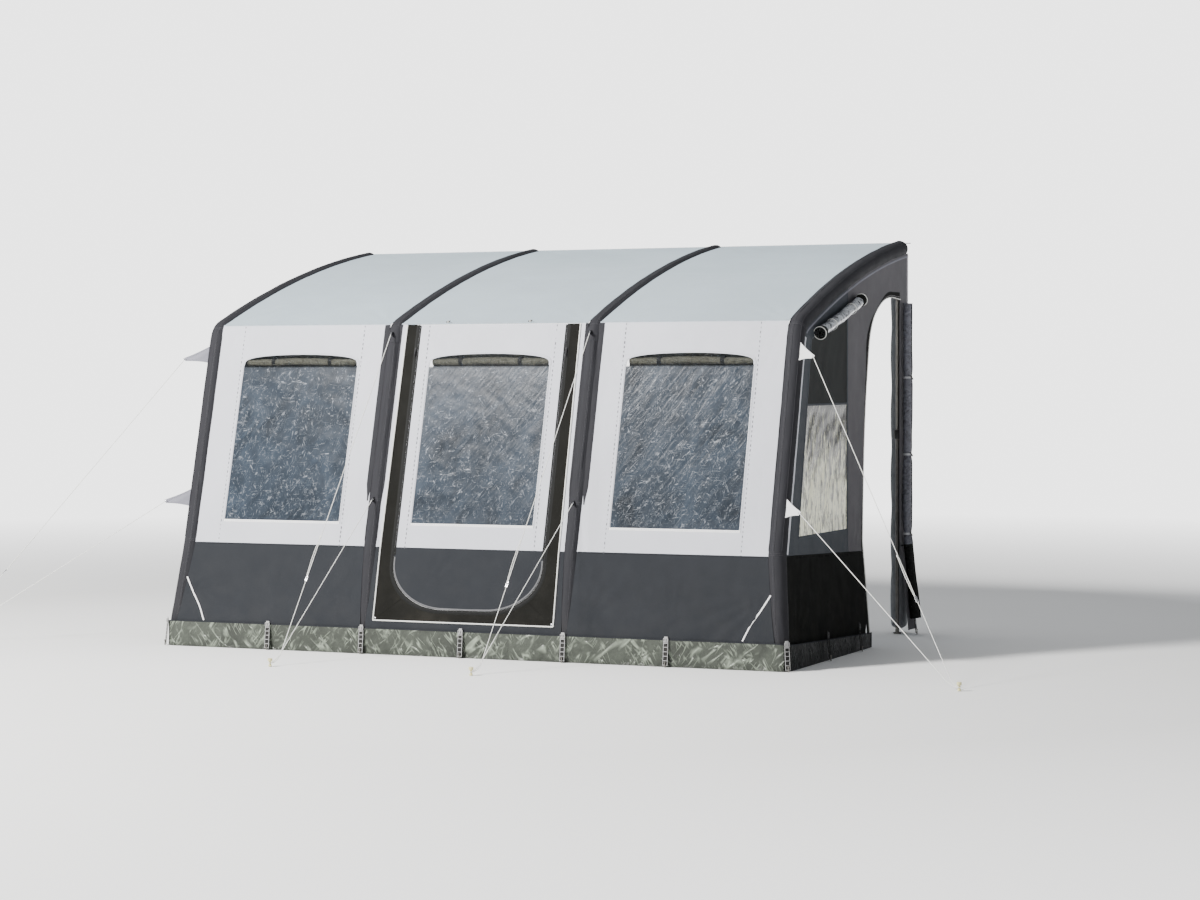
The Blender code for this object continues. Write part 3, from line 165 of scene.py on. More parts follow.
# Each guy line's upper and lower tab: root, tip, half its width at the root, and the same at the tip as a vector
TABS = {
    (1, True): ((-1.841, -0.782045, 1.73), (-1.993, -0.913045, 1.689), 0.07, (-0.006387, 0.000468, 0.004795)),
    (1, False): ((-1.841, -1.003246, 0.875), (-1.993, -1.134246, 0.847), 0.07, (-0.004469, 0.001213, 0.006523)),
    (2, True): ((-0.633, -0.759754, 1.831), (-0.633, -0.837754, 1.831), 0.025, (-0.001452, -0.006656, 0.004195)),
    (2, False): ((-0.633, -1.003246, 0.875), (-0.633, -1.081246, 0.875), 0.025, (-0.001461, -0.005397, 0.005722)),
    (3, True): ((0.633, -0.759754, 1.831), (0.633, -0.837754, 1.831), 0.025, (-0.002019, -0.006536, 0.004147)),
    (3, False): ((0.633, -1.003246, 0.875), (0.633, -1.081246, 0.875), 0.025, (-0.001963, -0.005282, 0.005679)),
    (4, True): ((1.841, -0.782045, 1.73), (1.993, -0.913045, 1.689), 0.07, (0.006634, -0.000897, 0.00438)),
    (4, False): ((1.841, -1.003246, 0.875), (1.993, -1.134246, 0.847), 0.07, (0.005112, -3.9e-05, 0.006154)),
}


# Lines and surfaces of the awning


def lengths_along(line):
    """Length along a line at each of its points."""
    return np.concatenate([[0.0], np.cumsum(np.linalg.norm(np.diff(line, axis=0), axis=1))])


def unit(vectors):
    return vectors / np.linalg.norm(vectors, axis=1)[:, None]


def side_and_up(path, normals):
    """Sideways and outward directions at each point of a path."""
    along = unit(np.gradient(path, axis=0))
    across = unit(np.cross(along, normals))
    return across, np.cross(across, along)


def turns_round(count):
    """Angles spaced evenly round one turn."""
    return np.arange(count) * 2 * math.pi / count


def ring_line(centre, a, b, count):
    """Points round an ellipse with the half axes a and b, the first one again at the end."""
    turns = np.linspace(0, 2 * math.pi, count)[:, None]
    return np.array(centre) + np.array(a) * np.cos(turns) + np.array(b) * np.sin(turns)


def even_line(points, step):
    """The line's points placed evenly, about a step apart."""
    points = np.asarray(points, float)
    runs = lengths_along(points)
    count = max(int(round(runs[-1] / step)), 1) + 1
    stations = np.linspace(0.0, runs[-1], count)
    return np.stack([np.interp(stations, runs, points[:, i]) for i in range(points.shape[1])], axis=1)


def softened(points, step, reach):
    """The line with its corners rounded over about the reach, its ends kept."""
    line = even_line(points, step)
    width = max(int(3 * reach / step), 1)
    kernel = np.exp(-0.5 * (np.arange(-width, width + 1) * step / reach) ** 2)
    kernel /= kernel.sum()
    before = 2 * line[0] - line[1 : width + 1][::-1]
    after = 2 * line[-1] - line[-width - 1 : -1][::-1]
    padded = np.concatenate([before, line, after])
    return np.stack([np.convolve(padded[:, i], kernel, "valid") for i in range(line.shape[1])], axis=1)


class Profile:
    """A curve up the front and over the roof, as depth and height along its own length."""

    def __init__(self, points, step, reach):
        self.line = softened(points, step, reach)
        self.runs = lengths_along(self.line)
        self.slope = unit(np.gradient(self.line, self.runs, axis=0))

    def at(self, s):
        """Depth, height and the outward normal's depth and height at the length s."""
        y, z = (np.interp(s, self.runs, self.line[:, i]) for i in (0, 1))
        ty, tz = (np.interp(s, self.runs, self.slope[:, i]) for i in (0, 1))
        return y, z, -tz, ty

    def at_height(self, z):
        """Length along the curve at the height z."""
        return np.interp(z, self.line[:, 1], self.runs)


CLOTH = Profile(PANEL_LINE, 0.004, 0.009)
BEAMS = Profile(BEAM_LINE, 0.004, 0.02)


def cord_line(number):
    """A guy line's points: down from the upper tab, round the peg and up to the lower tab."""
    upper, *turn, lower = (np.array(p) for p in CORD_LINES[number])
    down, up = np.linspace(upper, turn[0], 8), np.linspace(turn[-1], lower, 8)
    return np.concatenate([down, turn[1:-1], up])


def smooth_step(value, low, high):
    share = np.clip((value - low) / (high - low), 0.0, 1.0)
    return share * share * (3 - 2 * share)


def spread(z):
    """How far the outer beams and the side walls stand out at the height z."""
    return FOOT_SPREAD * np.clip((SPREAD_TOP - z) / (SPREAD_TOP - SPREAD_FOOT), 0.0, 1.0)


def front_surface(x, s):
    """Points and outward normals of the front and the roof, from the width and the length up the cloth."""
    y, z, ny, nz = CLOTH.at(s)
    zero = np.zeros_like(y)
    return np.stack([x, y, z], axis=1), np.stack([zero, ny, nz], axis=1)


def side_surface(sign):
    """The surface of one side wall, from the depth and the height."""

    def surface(y, z):
        points = np.stack([sign * (WALL_X + spread(z)), y, z], axis=1)
        return points, np.tile([sign, 0.0, 0.0], (len(points), 1))

    return surface


def beam_x(number, z):
    if number in (1, 4):
        return (-1.0 if number == 1 else 1.0) * (OUTER_BEAM_X + spread(z))
    return -MIDDLE_BEAM_X if number == 2 else MIDDLE_BEAM_X


def beside_beam(z):
    """Distance from a beam's centre to the cloth's edge beside it, just inside the sleeve."""
    sunk = 0.018 * np.clip((z - MUD_TOP) / (SPREAD_TOP - MUD_TOP), 0.0, 1.0)
    return np.sqrt(BEAM_RADIUS**2 - (BEAM_RADIUS - 0.002 - sunk) ** 2) - 0.002


def ripples(u, v, seed, shortest, longest, count=14, direction=None, spread_angle=0.9, sharp=0.0):
    """Random ripples from about -1 to 1. A sharp share above zero draws their crests into creases."""
    rng = np.random.default_rng(seed)
    lengths = shortest * (longest / shortest) ** rng.random(count)
    centre = rng.random(count) * 2 * math.pi if direction is None else direction
    angles = centre + (rng.random(count) - 0.5) * spread_angle
    shifts = rng.random(count) * 2 * math.pi
    heights = lengths / longest
    bend_u = 0.25 * longest * np.sin(v / longest * 2.1 + seed)
    bend_v = 0.25 * longest * np.sin(u / longest * 1.7 + 2.0 * seed)
    total = np.zeros_like(u)
    for angle, number, shift, height in zip(angles, 2 * math.pi / lengths, shifts, heights):
        phase = ((u + bend_u) * math.cos(angle) + (v + bend_v) * math.sin(angle)) * number + shift
        crease = 1.0 - 2.0 * np.abs(np.sin(phase / 2)) ** 0.7
        total += height * ((1 - sharp) * np.sin(phase) + sharp * crease)
    return total / math.sqrt((heights**2).sum() * 2)


def fan(u, v, at, towards, reach, folds, seed):
    """Pull creases that leave a held point in one direction and die away with distance."""
    du, dv = u - at[0], v - at[1]
    away = np.hypot(du, dv)
    angle = np.arctan2(dv, du) - towards
    angle = (angle + math.pi) % (2 * math.pi) - math.pi
    cone = np.exp(-((angle / 0.55) ** 2))
    fade = (away / (away + 0.04)) * np.exp(-away / reach)
    return cone * fade * np.cos(angle * folds + seed)


def inside(points, loop):
    """Which points lie inside a closed outline."""
    x, y = points[:, 0], points[:, 1]
    found = np.zeros(len(points), bool)
    for (ax, ay), (bx, by) in zip(loop, np.roll(loop, -1, axis=0)):
        if ay == by:
            continue
        crosses = (ay > y) != (by > y)
        found ^= crosses & (x < (bx - ax) * (y - ay) / (by - ay) + ax)
    return found


def between(points, loops):
    """Which points lie inside the first outline and outside the others."""
    found = inside(points, loops[0])
    for loop in loops[1:]:
        found &= ~inside(points, loop)
    return found


def closed_line(points, step):
    points = [tuple(p) for p in points]
    sides = [even_line((a, b), step)[:-1] for a, b in zip(points, points[1:] + points[:1])]
    return np.concatenate(sides)


def filled(outline, holes, step):
    """Flat points, triangles and distance to the edge for a cut of cloth."""
    loops = [closed_line(loop, step) for loop in [outline, *holes]]
    rim = np.concatenate(loops)
    edges = []
    first = 0
    for loop in loops:
        count = len(loop)
        edges += [(first + i, first + (i + 1) % count) for i in range(count)]
        first += count
    low, high = rim.min(0), rim.max(0)
    rows = np.arange(low[1] + step / 2, high[1], step * 0.87)
    grid = []
    for i, v in enumerate(rows):
        us = np.arange(low[0] + step * (0.5 if i % 2 else 0.25), high[0], step)
        grid.append(np.stack([us, np.full_like(us, v)], axis=1))
    grid = np.concatenate(grid) if grid else np.zeros((0, 2))
    grid = grid[between(grid, loops)]
    tree = kdtree.KDTree(len(rim))
    for i, (u, v) in enumerate(rim):
        tree.insert((u, v, 0.0), i)
    tree.balance()
    away = np.array([tree.find((u, v, 0.0))[2] for u, v in grid])
    grid = grid[away > step * 0.55] if len(grid) else grid
    flat = np.concatenate([rim, grid])
    result = geometry.delaunay_2d_cdt([Vector(p) for p in flat], edges, [], 0, 1e-7)
    points = np.array([tuple(p) for p in result[0]])
    triangles = np.array([tuple(f) for f in result[2]])
    triangles = triangles[between(points[triangles].mean(1), loops)]
    to_edge = np.array([tree.find((u, v, 0.0))[2] for u, v in points])
    return points, triangles, to_edge


# Meshes


def doubled(triangles, count):
    """Faces of a sheet with two sides: its triangles, their backs count points further on, and the rim."""
    sides = np.concatenate([triangles[:, [0, 1]], triangles[:, [1, 2]], triangles[:, [2, 0]]])
    known = {(int(i), int(j)) for i, j in sides}
    faces = [tuple(t) for t in triangles]
    faces += [tuple(t[::-1] + count) for t in triangles]
    return faces + [(j, i, i + count, j + count) for i, j in known if (j, i) not in known]


def grid_faces(rows, count):
    """Faces of a sheet with two sides: a grid of rows of points, the same grid behind it, and the rim."""
    block = rows * count
    faces = []
    for a in (i * count + j for i in range(rows - 1) for j in range(count - 1)):
        faces.append((a, a + 1, a + count + 1, a + count))
        faces.append((a + block, a + count + block, a + count + 1 + block, a + 1 + block))
    rim = [j for j in range(count)] + [i * count + count - 1 for i in range(1, rows)]
    rim += [(rows - 1) * count + j for j in range(count - 2, -1, -1)]
    rim += [i * count for i in range(rows - 2, 0, -1)]
    return faces + [(b, a, a + block, b + block) for a, b in zip(rim, rim[1:] + rim[:1])]


def tube_faces(rows, sides, ends=True):
    """Faces of a tube of rings, with its two ends or open."""
    faces = []
    for a in range(0, (rows - 1) * sides, sides):
        faces += [(a + j, a + (j + 1) % sides, a + sides + (j + 1) % sides, a + sides + j) for j in range(sides)]
    if ends:
        faces += [tuple(range(sides))[::-1], tuple((rows - 1) * sides + j for j in range(sides))]
    return faces


def placed(name, data):
    """A new object in the scene."""
    obj = bpy.data.objects.new(name, data)
    bpy.context.scene.collection.objects.link(obj)
    return obj


class Shape:
    """Points, faces and flat coordinates gathered for one piece."""

    def __init__(self):
        self.points = []
        self.faces = []
        self.flat = []
        self.parts = []
        self.count = 0

    def add(self, points, faces, flat, part=0):
        """Adds points with one flat coordinate each, and faces that count from the first of them."""
        self.points.append(np.asarray(points, float))
        self.flat.append(np.asarray(flat, float))
        self.faces += [tuple(int(i) + self.count for i in face) for face in faces]
        self.parts += [part] * len(faces)
        self.count += len(points)

    def cloth(self, outline, holes, step, surface, relief, thickness, part=0):
        """A cut of cloth laid on a surface, its relief standing out along the normals."""
        flat, triangles, to_edge = filled(outline, holes, step)
        points, normals = surface(flat[:, 0], flat[:, 1])
        if relief is not None:
            height = relief(flat[:, 0], flat[:, 1]) * smooth_step(to_edge, 0.0, 0.06)
            points = points + normals * height[:, None]
        a, b, c = (points[triangles[:, i]] for i in range(3))
        if (np.cross(b - a, c - a) * normals[triangles[:, 0]]).sum() < 0:
            triangles = triangles[:, ::-1]
        both = np.concatenate([points, points - normals * thickness])
        self.add(both, doubled(triangles, len(points)), np.concatenate([flat, flat]), part)

    def sweep(self, path, normals, section, part=0, widths=None):
        """A closed section, as across and up pairs, drawn along a path and capped."""
        path = np.asarray(path, float)
        normals = np.broadcast_to(np.asarray(normals, float), path.shape)
        section = np.asarray(section, float)
        across, up = side_and_up(path, normals)
        scale = np.ones(len(path)) if widths is None else np.asarray(widths, float)
        rings = path[:, None] + scale[:, None, None] * (
            across[:, None] * section[None, :, :1] + up[:, None] * section[None, :, 1:]
        )
        count = len(section)
        girth = np.repeat(lengths_along(section)[None], len(path), 0)
        flat = np.stack([girth, np.repeat(lengths_along(path)[:, None], count, 1)], axis=2).reshape(-1, 2)
        area = np.sum(section[:, 0] * np.roll(section[:, 1], -1) - np.roll(section[:, 0], -1) * section[:, 1])
        faces = tube_faces(len(path), count)
        if area >= 0:
            faces = [face[::-1] for face in faces]
        self.add(rings.reshape(-1, 3), faces, flat, part)

    def laid(self, surface, line, step, section, part=0, lift=0.0):
        """A closed section drawn along a flat line that is laid on a surface."""
        path, normals = on_surface(surface, line, step, lift)
        self.sweep(path, normals, section, part)

    def turned(self, profile, centre, axis, sides):
        """A turned form: radius and height pairs from one end of the axis to the other."""
        matrix = Vector(axis).normalized().to_track_quat("Z", "Y").to_matrix()
        points = []
        rings = []
        flat = []
        girth = 0.0
        previous = profile[0]
        for r, h in profile:
            girth += math.hypot(r - previous[0], h - previous[1])
            previous = (r, h)
            ring = []
            for turn in [0.0] if r == 0 else turns_round(sides):
                ring.append(len(points))
                points.append(Vector(centre) + matrix @ Vector((r * math.cos(turn), r * math.sin(turn), h)))
                flat.append((turn * 0.02, girth))
            rings.append(ring)
        faces = []
        for low, high in zip(rings, rings[1:]):
            if len(low) == 1 and len(high) == 1:
                continue
            for i in range(sides):
                j = (i + 1) % sides
                if len(low) == 1:
                    faces.append((low[0], high[j], high[i])[::-1])
                elif len(high) == 1:
                    faces.append((low[i], low[j], high[0]))
                else:
                    faces.append((low[i], low[j], high[j], high[i]))
        self.add(points, faces, flat)

    def block(self, size, centre, turn, bevel):
        """A box with its edges eased."""
        bm = bmesh.new()
        bmesh.ops.create_cube(bm, size=1.0, matrix=Matrix.Diagonal((*size, 1.0)))
        bmesh.ops.bevel(bm, geom=bm.edges[:], offset=bevel, segments=2, profile=0.6, affect="EDGES")
        matrix = Matrix.Translation(centre) @ turn.to_4x4()
        bm.verts.index_update()
        points = [matrix @ v.co for v in bm.verts]
        flat = [(v.co.x, v.co.y + v.co.z) for v in bm.verts]
        faces = [[v.index for v in f.verts] for f in bm.faces]
        bm.free()
        self.add(points, faces, flat)

    def piece(self, name, finishes, body=None, replaces=(), smooth=40.0):
        """The gathered shape as one object with its finishes."""
        points = np.concatenate(self.points)
        flat = np.concatenate(self.flat)
        mesh = bpy.data.meshes.new(name)
        mesh.from_pydata(points.tolist(), [], self.faces)
        layer = mesh.uv_layers.new(name="Flat")
        corners = np.empty(len(mesh.loops), np.int32)
        mesh.loops.foreach_get("vertex_index", corners)
        layer.data.foreach_set("uv", flat[corners].astype(np.float32).ravel())
        finishes = finishes if isinstance(finishes, (list, tuple)) else [finishes]
        for finish in finishes:
            mesh.materials.append(finish)
        mesh.polygons.foreach_set("material_index", self.parts)
        bm = bmesh.new()
        bm.from_mesh(mesh)
        bmesh.ops.recalc_face_normals(bm, faces=bm.faces[:])
        bm.to_mesh(mesh)
        bm.free()
        mesh.shade_smooth()
        if smooth:
            mesh.set_sharp_from_angle(angle=math.radians(smooth))
        mesh.validate()
        return settled(placed(name, mesh), body, replaces)


def settled(obj, body, replaces=()):
    """Puts a finished piece on its body and the nodes that it stands for."""
    if body:
        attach(obj, body)
    if replaces:
        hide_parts(*replaces)
    return obj


def cord_section(radius, sides=8):
    """A round section about the path itself."""
    return [(radius * math.cos(t), radius * math.sin(t)) for t in turns_round(sides)]


def round_section(radius, sides, sink):
    """A round section that rests on the surface, sunk into it a little."""
    return [(x, y + radius - sink) for x, y in cord_section(radius, sides)]


def bar_section(half, low, high):
    return [(-half, low), (-half, high), (half, high), (half, low)]


def tape_section(width, height, sink=0.001, edge=0.5, flat=0.8):
    """A flat tape whose edges fall to the cloth."""
    half, side = width / 2, height * edge
    return [(-half, -sink), (-half, side), (-half * flat, height), (half * flat, height), (half, side), (half, -sink)]


def on_surface(surface, line, step, lift=0.0):
    """A line of flat points laid on a surface: its points and normals."""
    line = even_line(line, step)
    points, normals = surface(line[:, 0], line[:, 1])
    return points + normals * lift, normals


def smooth_line(points, step):
    """A curve through the points, placed evenly, that doesn't overshoot where their spacing changes."""
    points = np.asarray(points, float)
    gaps = np.linalg.norm(np.diff(points, axis=0), axis=1)[:, None]
    slopes = np.diff(points, axis=0) / gaps
    inner = (slopes[:-1] * gaps[1:] + slopes[1:] * gaps[:-1]) / (gaps[1:] + gaps[:-1])
    turns = np.concatenate([slopes[:1], inner, slopes[-1:]]) if len(slopes) > 1 else np.repeat(slopes, 2, 0)
    out = []
    for i, gap in enumerate(gaps):
        for t in np.linspace(0.0, 1.0, 12, endpoint=False):
            near, far = (1 + 2 * t) * (1 - t) ** 2, t * t * (3 - 2 * t)
            bend = t * (1 - t) ** 2 * turns[i] - t * t * (1 - t) * turns[i + 1]
            out.append(near * points[i] + far * points[i + 1] + gap * bend)
    out.append(points[-1])
    return even_line(out, step)


# Finishes


class NodeTree:
    """A node tree that is filled node by node."""

    def __init__(self, tree):
        self.tree = tree

    def set(self, node, inputs):
        """Links or sets a node's inputs, each under its name or number."""
        for key, value in inputs.items():
            socket = node.inputs[key]
            if isinstance(value, bpy.types.NodeSocket):
                self.tree.links.new(value, socket)
            else:
                socket.default_value = value

    def add(self, kind, inputs=None, **settings):
        made = self.tree.nodes.new(kind)
        for key, value in settings.items():
            setattr(made, key, value)
        self.set(made, inputs or {})
        return made


class Finish(NodeTree):
    """A procedural finish: one Principled shader and the nodes that feed it."""

    def __init__(self, name, roughness, metallic=0.0, **sockets):
        self.material = bpy.data.materials.new(name)
        self.material.use_nodes = True
        super().__init__(self.material.node_tree)
        self.shader = self.tree.nodes["Principled BSDF"]
        self.set(self.shader, {"Roughness": roughness, "Metallic": metallic, **sockets})

    def flat(self, scale=(1.0, 1.0, 1.0), turn=0.0):
        """The piece's own flat coordinates, in metres."""
        return self.mapped(self.add("ShaderNodeUVMap", uv_map="Flat").outputs[0], scale, turn)

    def place(self, scale=(1.0, 1.0, 1.0)):
        """The awning's own coordinates, in metres."""
        return self.mapped(self.add("ShaderNodeTexCoord").outputs["Object"], scale, 0.0)

    def height(self):
        """The height above the ground, in metres."""
        return self.add("ShaderNodeSeparateXYZ", {0: self.place()}).outputs[2]

    def mapped(self, vector, scale, turn):
        inputs = {"Vector": vector, "Scale": [1.0 / value for value in scale], "Rotation": (0.0, 0.0, -turn)}
        return self.add("ShaderNodeMapping", inputs, vector_type="TEXTURE").outputs[0]

    def noise(self, vector, scale, detail, roughness=0.5, distortion=0.0, kind="FBM"):
        inputs = {"Vector": vector, "Scale": scale, "Detail": detail}
        inputs.update(Roughness=roughness, Distortion=distortion)
        return self.add("ShaderNodeTexNoise", inputs, noise_type=kind).outputs[0]

    def creases(self, scale, turn, stretch, width, detail=3.0, distortion=0.6):
        """Thin winding ridges: 1 along each crease, falling to 0 beside it."""
        path = self.noise(self.flat((1.0, stretch, 1.0), turn), scale, detail, 0.55, distortion)
        return self.graded(self.maths("ABSOLUTE", self.maths("SUBTRACT", path, 0.5)), 0.0, width, 1.0, 0.0)

    def bands(self, vector, scale, direction):
        inputs = {"Vector": vector, "Scale": scale, "Distortion": 0.0}
        made = self.add("ShaderNodeTexWave", inputs, wave_type="BANDS", bands_direction=direction)
        return made.outputs["Fac"]

    def weave(self, scale, operation="MULTIPLY"):
        """Threads both ways across the piece's flat coordinates."""
        flat = self.flat()
        return self.maths(operation, self.bands(flat, scale, "X"), self.bands(flat, scale, "Y"))

    def maths(self, operation, a, b=0.5, clamp=False):
        made = self.add("ShaderNodeMath", operation=operation, use_clamp=clamp)
        self.set(made, {0: a, 1: b})
        return made.outputs[0]

    def graded(self, value, low, high, to_low=0.0, to_high=1.0):
        """The value's range from low to high, moved onto another range."""
        inputs = {"Value": value, "From Min": low, "From Max": high, "To Min": to_low, "To Max": to_high}
        return self.add("ShaderNodeMapRange", inputs).outputs[0]

    def mixed(self, share, a, b):
        made = self.add("ShaderNodeMix", data_type="RGBA", blend_type="MIX")
        self.set(made, {0: share, 6: a, 7: b})
        return made.outputs[2]

    def bump(self, *layers):
        """Relief from layers of height, distance and strength, the first one lowest."""
        normal = {}
        for height, distance, strength in layers:
            inputs = {"Height": height, "Distance": distance, "Strength": strength, **normal}
            normal = {"Normal": self.add("ShaderNodeBump", inputs).outputs[0]}
        return normal["Normal"]

    def done(self, base, normal, **sockets):
        self.set(self.shader, {"Base Color": base, "Normal": normal, **sockets})
        return self.material


def rgba(colour, share=1.0):
    return (colour[0] * share, colour[1] * share, colour[2] * share, 1.0)


def brighter(colour, share, lift=0.0, most=0.9):
    return rgba([min(c * share + lift, most) for c in colour])


def woven(name, colour, thread, roughness, crease, dust, sheen, fade, shine=0.3):
    """Coated woven cloth: threads, soft creases, a little fading and dust near the ground."""
    f = Finish(name, roughness, **{"Sheen Weight": sheen, "Sheen Roughness": 0.45, "Specular IOR Level": shine})
    flat = f.flat()
    weave = f.weave(BAND_SCALE / thread)
    cloudy = f.noise(flat, 1.6, 4.0, 0.55)
    flecks = f.noise(flat, 260.0, 3.0, 0.65)
    base = f.mixed(f.graded(cloudy, 0.3, 0.7), rgba(colour, fade), rgba(colour, 1.06))
    base = f.mixed(f.graded(flecks, 0.35, 0.68, 0.0, 0.3), base, rgba(colour, 0.7))
    base = f.mixed(f.maths("MULTIPLY", weave, 0.1), base, rgba(colour, 0.78))
    if dust:
        low = f.graded(f.height(), 0.62, 0.1)
        patchy = f.maths("MULTIPLY", low, f.graded(f.noise(f.place(), 7.0, 5.0, 0.65), 0.42, 0.75))
        base = f.mixed(f.maths("MULTIPLY", patchy, dust), base, (0.3, 0.27, 0.22, 1.0))
    rough = f.graded(f.noise(flat, 9.0, 3.0), 0.25, 0.75, roughness - 0.07, roughness + 0.08)
    long_folds = f.noise(f.flat((1.0, 0.35, 1.0), 0.12), 6.0, 4.0, 0.55, 0.6)
    fine_folds = f.noise(flat, 38.0, 4.0, 0.6, 0.9, "RIDGED_MULTIFRACTAL")
    normal = f.bump((long_folds, 0.02, 0.35 * crease), (fine_folds, 0.0016, 0.3 * crease), (weave, 0.0003, 0.25))
    return f.done(base, normal, Roughness=rough)


def mud_sheeting(name, colour, shine=0.5):
    """Glossy crumpled groundsheet plastic with painted highlights along its creases and painted shading of its broad
    folds, darker at its foot.
    """
    f = Finish(name, 0.34, **{"Specular IOR Level": shine})
    broad = f.noise(f.flat((1.0, 0.5, 1.0), 0.6), 7.0, 4.0, 0.6, 0.6)
    # The creases that get painted highlights
    light = 0.0
    for scale, turn, width in ((9.0, 0.85, 0.03), (12.0, -0.75, 0.03), (20.0, 0.6, 0.035), (27.0, -0.5, 0.04)):
        kept = f.graded(f.noise(f.flat((1.0, 1.0, 1.0), turn + 1.0), 9.0, 2.0), 0.5, 0.62)
        ridge = f.maths("MULTIPLY", f.creases(scale, turn, 0.2, width, 2.0, 0.25), kept)
        light = f.maths("MAXIMUM", light, ridge)
    fine = f.noise(f.flat((1.0, 0.6, 1.0), 0.9), 60.0, 4.0, 0.65, 0.8)
    # Colour follows the broad folds' height: painted shade in their hollows, painted light on their crests
    base = f.mixed(f.graded(broad, 0.36, 0.6), rgba(colour, 0.6), rgba(colour, 1.15))
    base = f.mixed(f.graded(fine, 0.35, 0.65, 0.0, 0.5), base, rgba(colour, 0.5))
    # Painted highlights: the creases are lightened strongly
    base = f.mixed(f.maths("MULTIPLY", light, 0.8), base, brighter(colour, 6.0, 0.0, 0.7))
    # Darker towards the foot
    base = f.mixed(f.graded(f.height(), 0.035, 0.0, 0.0, 0.55), base, rgba(colour, 0.35))
    rough = f.graded(fine, 0.3, 0.7, 0.25, 0.45)
    normal = f.bump((broad, 0.02, 0.5), (light, 0.006, 0.6), (fine, 0.002, 0.5), (f.weave(120.0), 0.0003, 0.25))
    return f.done(base, normal, Roughness=rough)


def clear_sheet(name, colour, alpha, clear_above):
    """Clear window sheeting with fine scratch-like creases that carry painted highlights, and lighter crease streaks
    painted in as sheen.
    """
    f = Finish(name, 0.24, **{"Specular IOR Level": 0.1})
    flat = f.flat()
    # Fine specks here and short crease lines below, where the painted highlights go
    painted_glint = f.graded(f.noise(flat, 300.0, 2.0, 0.6), 0.75, 0.79, 0.0, 0.6)
    for scale, turn, width in ((34.0, 0.7, 0.011), (40.0, -0.5, 0.011), (48.0, 1.5, 0.013), (56.0, 0.1, 0.015)):
        line = f.creases(scale, turn, 0.14, width, 1.5, 0.1)
        kept = f.graded(f.noise(f.flat((1.0, 1.0, 1.0), turn + 2.0), 26.0, 3.0, 0.6), 0.5, 0.64, 0.0, 0.75)
        painted_glint = f.maths("MAXIMUM", painted_glint, f.maths("MULTIPLY", line, kept))
    broad = f.noise(f.flat((1.0, 0.6, 1.0), 0.5), 5.0, 4.0, 0.6, 0.8)
    rows = f.noise(f.flat((1.0, 0.16, 1.0), 0.62), 44.0, 4.0, 0.6, 0.6)
    patch = f.graded(f.noise(flat, 2.6, 2.0), 0.46, 0.62)
    base = f.mixed(f.graded(broad, 0.3, 0.7), rgba(colour, 0.55), rgba(colour, 1.7))
    # Painted sheen: lighter streaks along the crease rows, in patches
    base = f.mixed(f.maths("MULTIPLY", patch, f.graded(rows, 0.48, 0.66, 0.0, 0.3)), base, rgba(colour, 3.0))
    # Painted highlights: the glints are mixed towards a pale blue-grey
    base = f.mixed(f.maths("MULTIPLY", painted_glint, 0.45), base, (0.62, 0.66, 0.72, 1.0))
    tint = f.graded(broad, 0.3, 0.7, alpha - 0.01, alpha + 0.01)
    # The painted highlights also make the sheet a little less see-through
    see = f.maths("ADD", f.maths("MULTIPLY", painted_glint, 0.1), tint, True)
    see = f.maths("MULTIPLY", see, f.graded(f.height(), clear_above, clear_above + 0.012, 1.0, 0.06))
    return f.done(base, f.bump((rows, 0.004, 0.3), (painted_glint, 0.0012, 0.5)), Alpha=see)


def streaked_sheet(name, colour, alpha):
    """Clear sheeting shot through with upright creases, with painted dark and bright streaks along them as their
    shade and glints.
    """
    f = Finish(name, 0.25, **{"Specular IOR Level": 0.25})
    fine = f.noise(f.flat((2.8, 0.45, 1.0), 0.1), 21.0, 4.0, 0.65, 1.0)
    wide = f.noise(f.flat((1.6, 0.6, 1.0), -0.08), 12.0, 4.0, 0.6, 1.0)
    both = f.maths("ADD", f.maths("MULTIPLY", fine, 0.65), f.maths("MULTIPLY", wide, 0.35))
    # The streaks lighten towards the bottom of the sheet and darken towards its top
    both = f.maths("SUBTRACT", both, f.graded(f.height(), 0.95, 1.35, -0.03, 0.085))
    # Painted shade: the dark streaks
    dark = f.mixed(f.graded(both, 0.445, 0.475), rgba(colour, 0.02), rgba(colour, 0.55))
    # Painted highlights: the bright streaks
    base = f.mixed(f.graded(both, 0.5, 0.54), dark, brighter(colour, 2.1, 0.0, 0.85))
    see = f.graded(both, 0.42, 0.6, alpha + 0.03, alpha - 0.03)
    return f.done(base, f.bump((both, 0.004, 0.5)), Alpha=see)


def fly_mesh(name, colour):
    """Fine insect mesh, dark and half see-through."""
    f = Finish(name, 0.8, **{"Specular IOR Level": 0.2})
    threads = f.weave(190.0, "MAXIMUM")
    cloudy = f.noise(f.flat((1.0, 0.3, 1.0)), 6.0, 3.0)
    base = f.mixed(f.graded(cloudy, 0.3, 0.7), rgba(colour, 0.8), rgba(colour, 1.3))
    see = f.graded(threads, 0.2, 0.95, 0.93, 0.985)
    return f.done(base, f.bump((threads, 0.0003, 0.3)), Alpha=see)


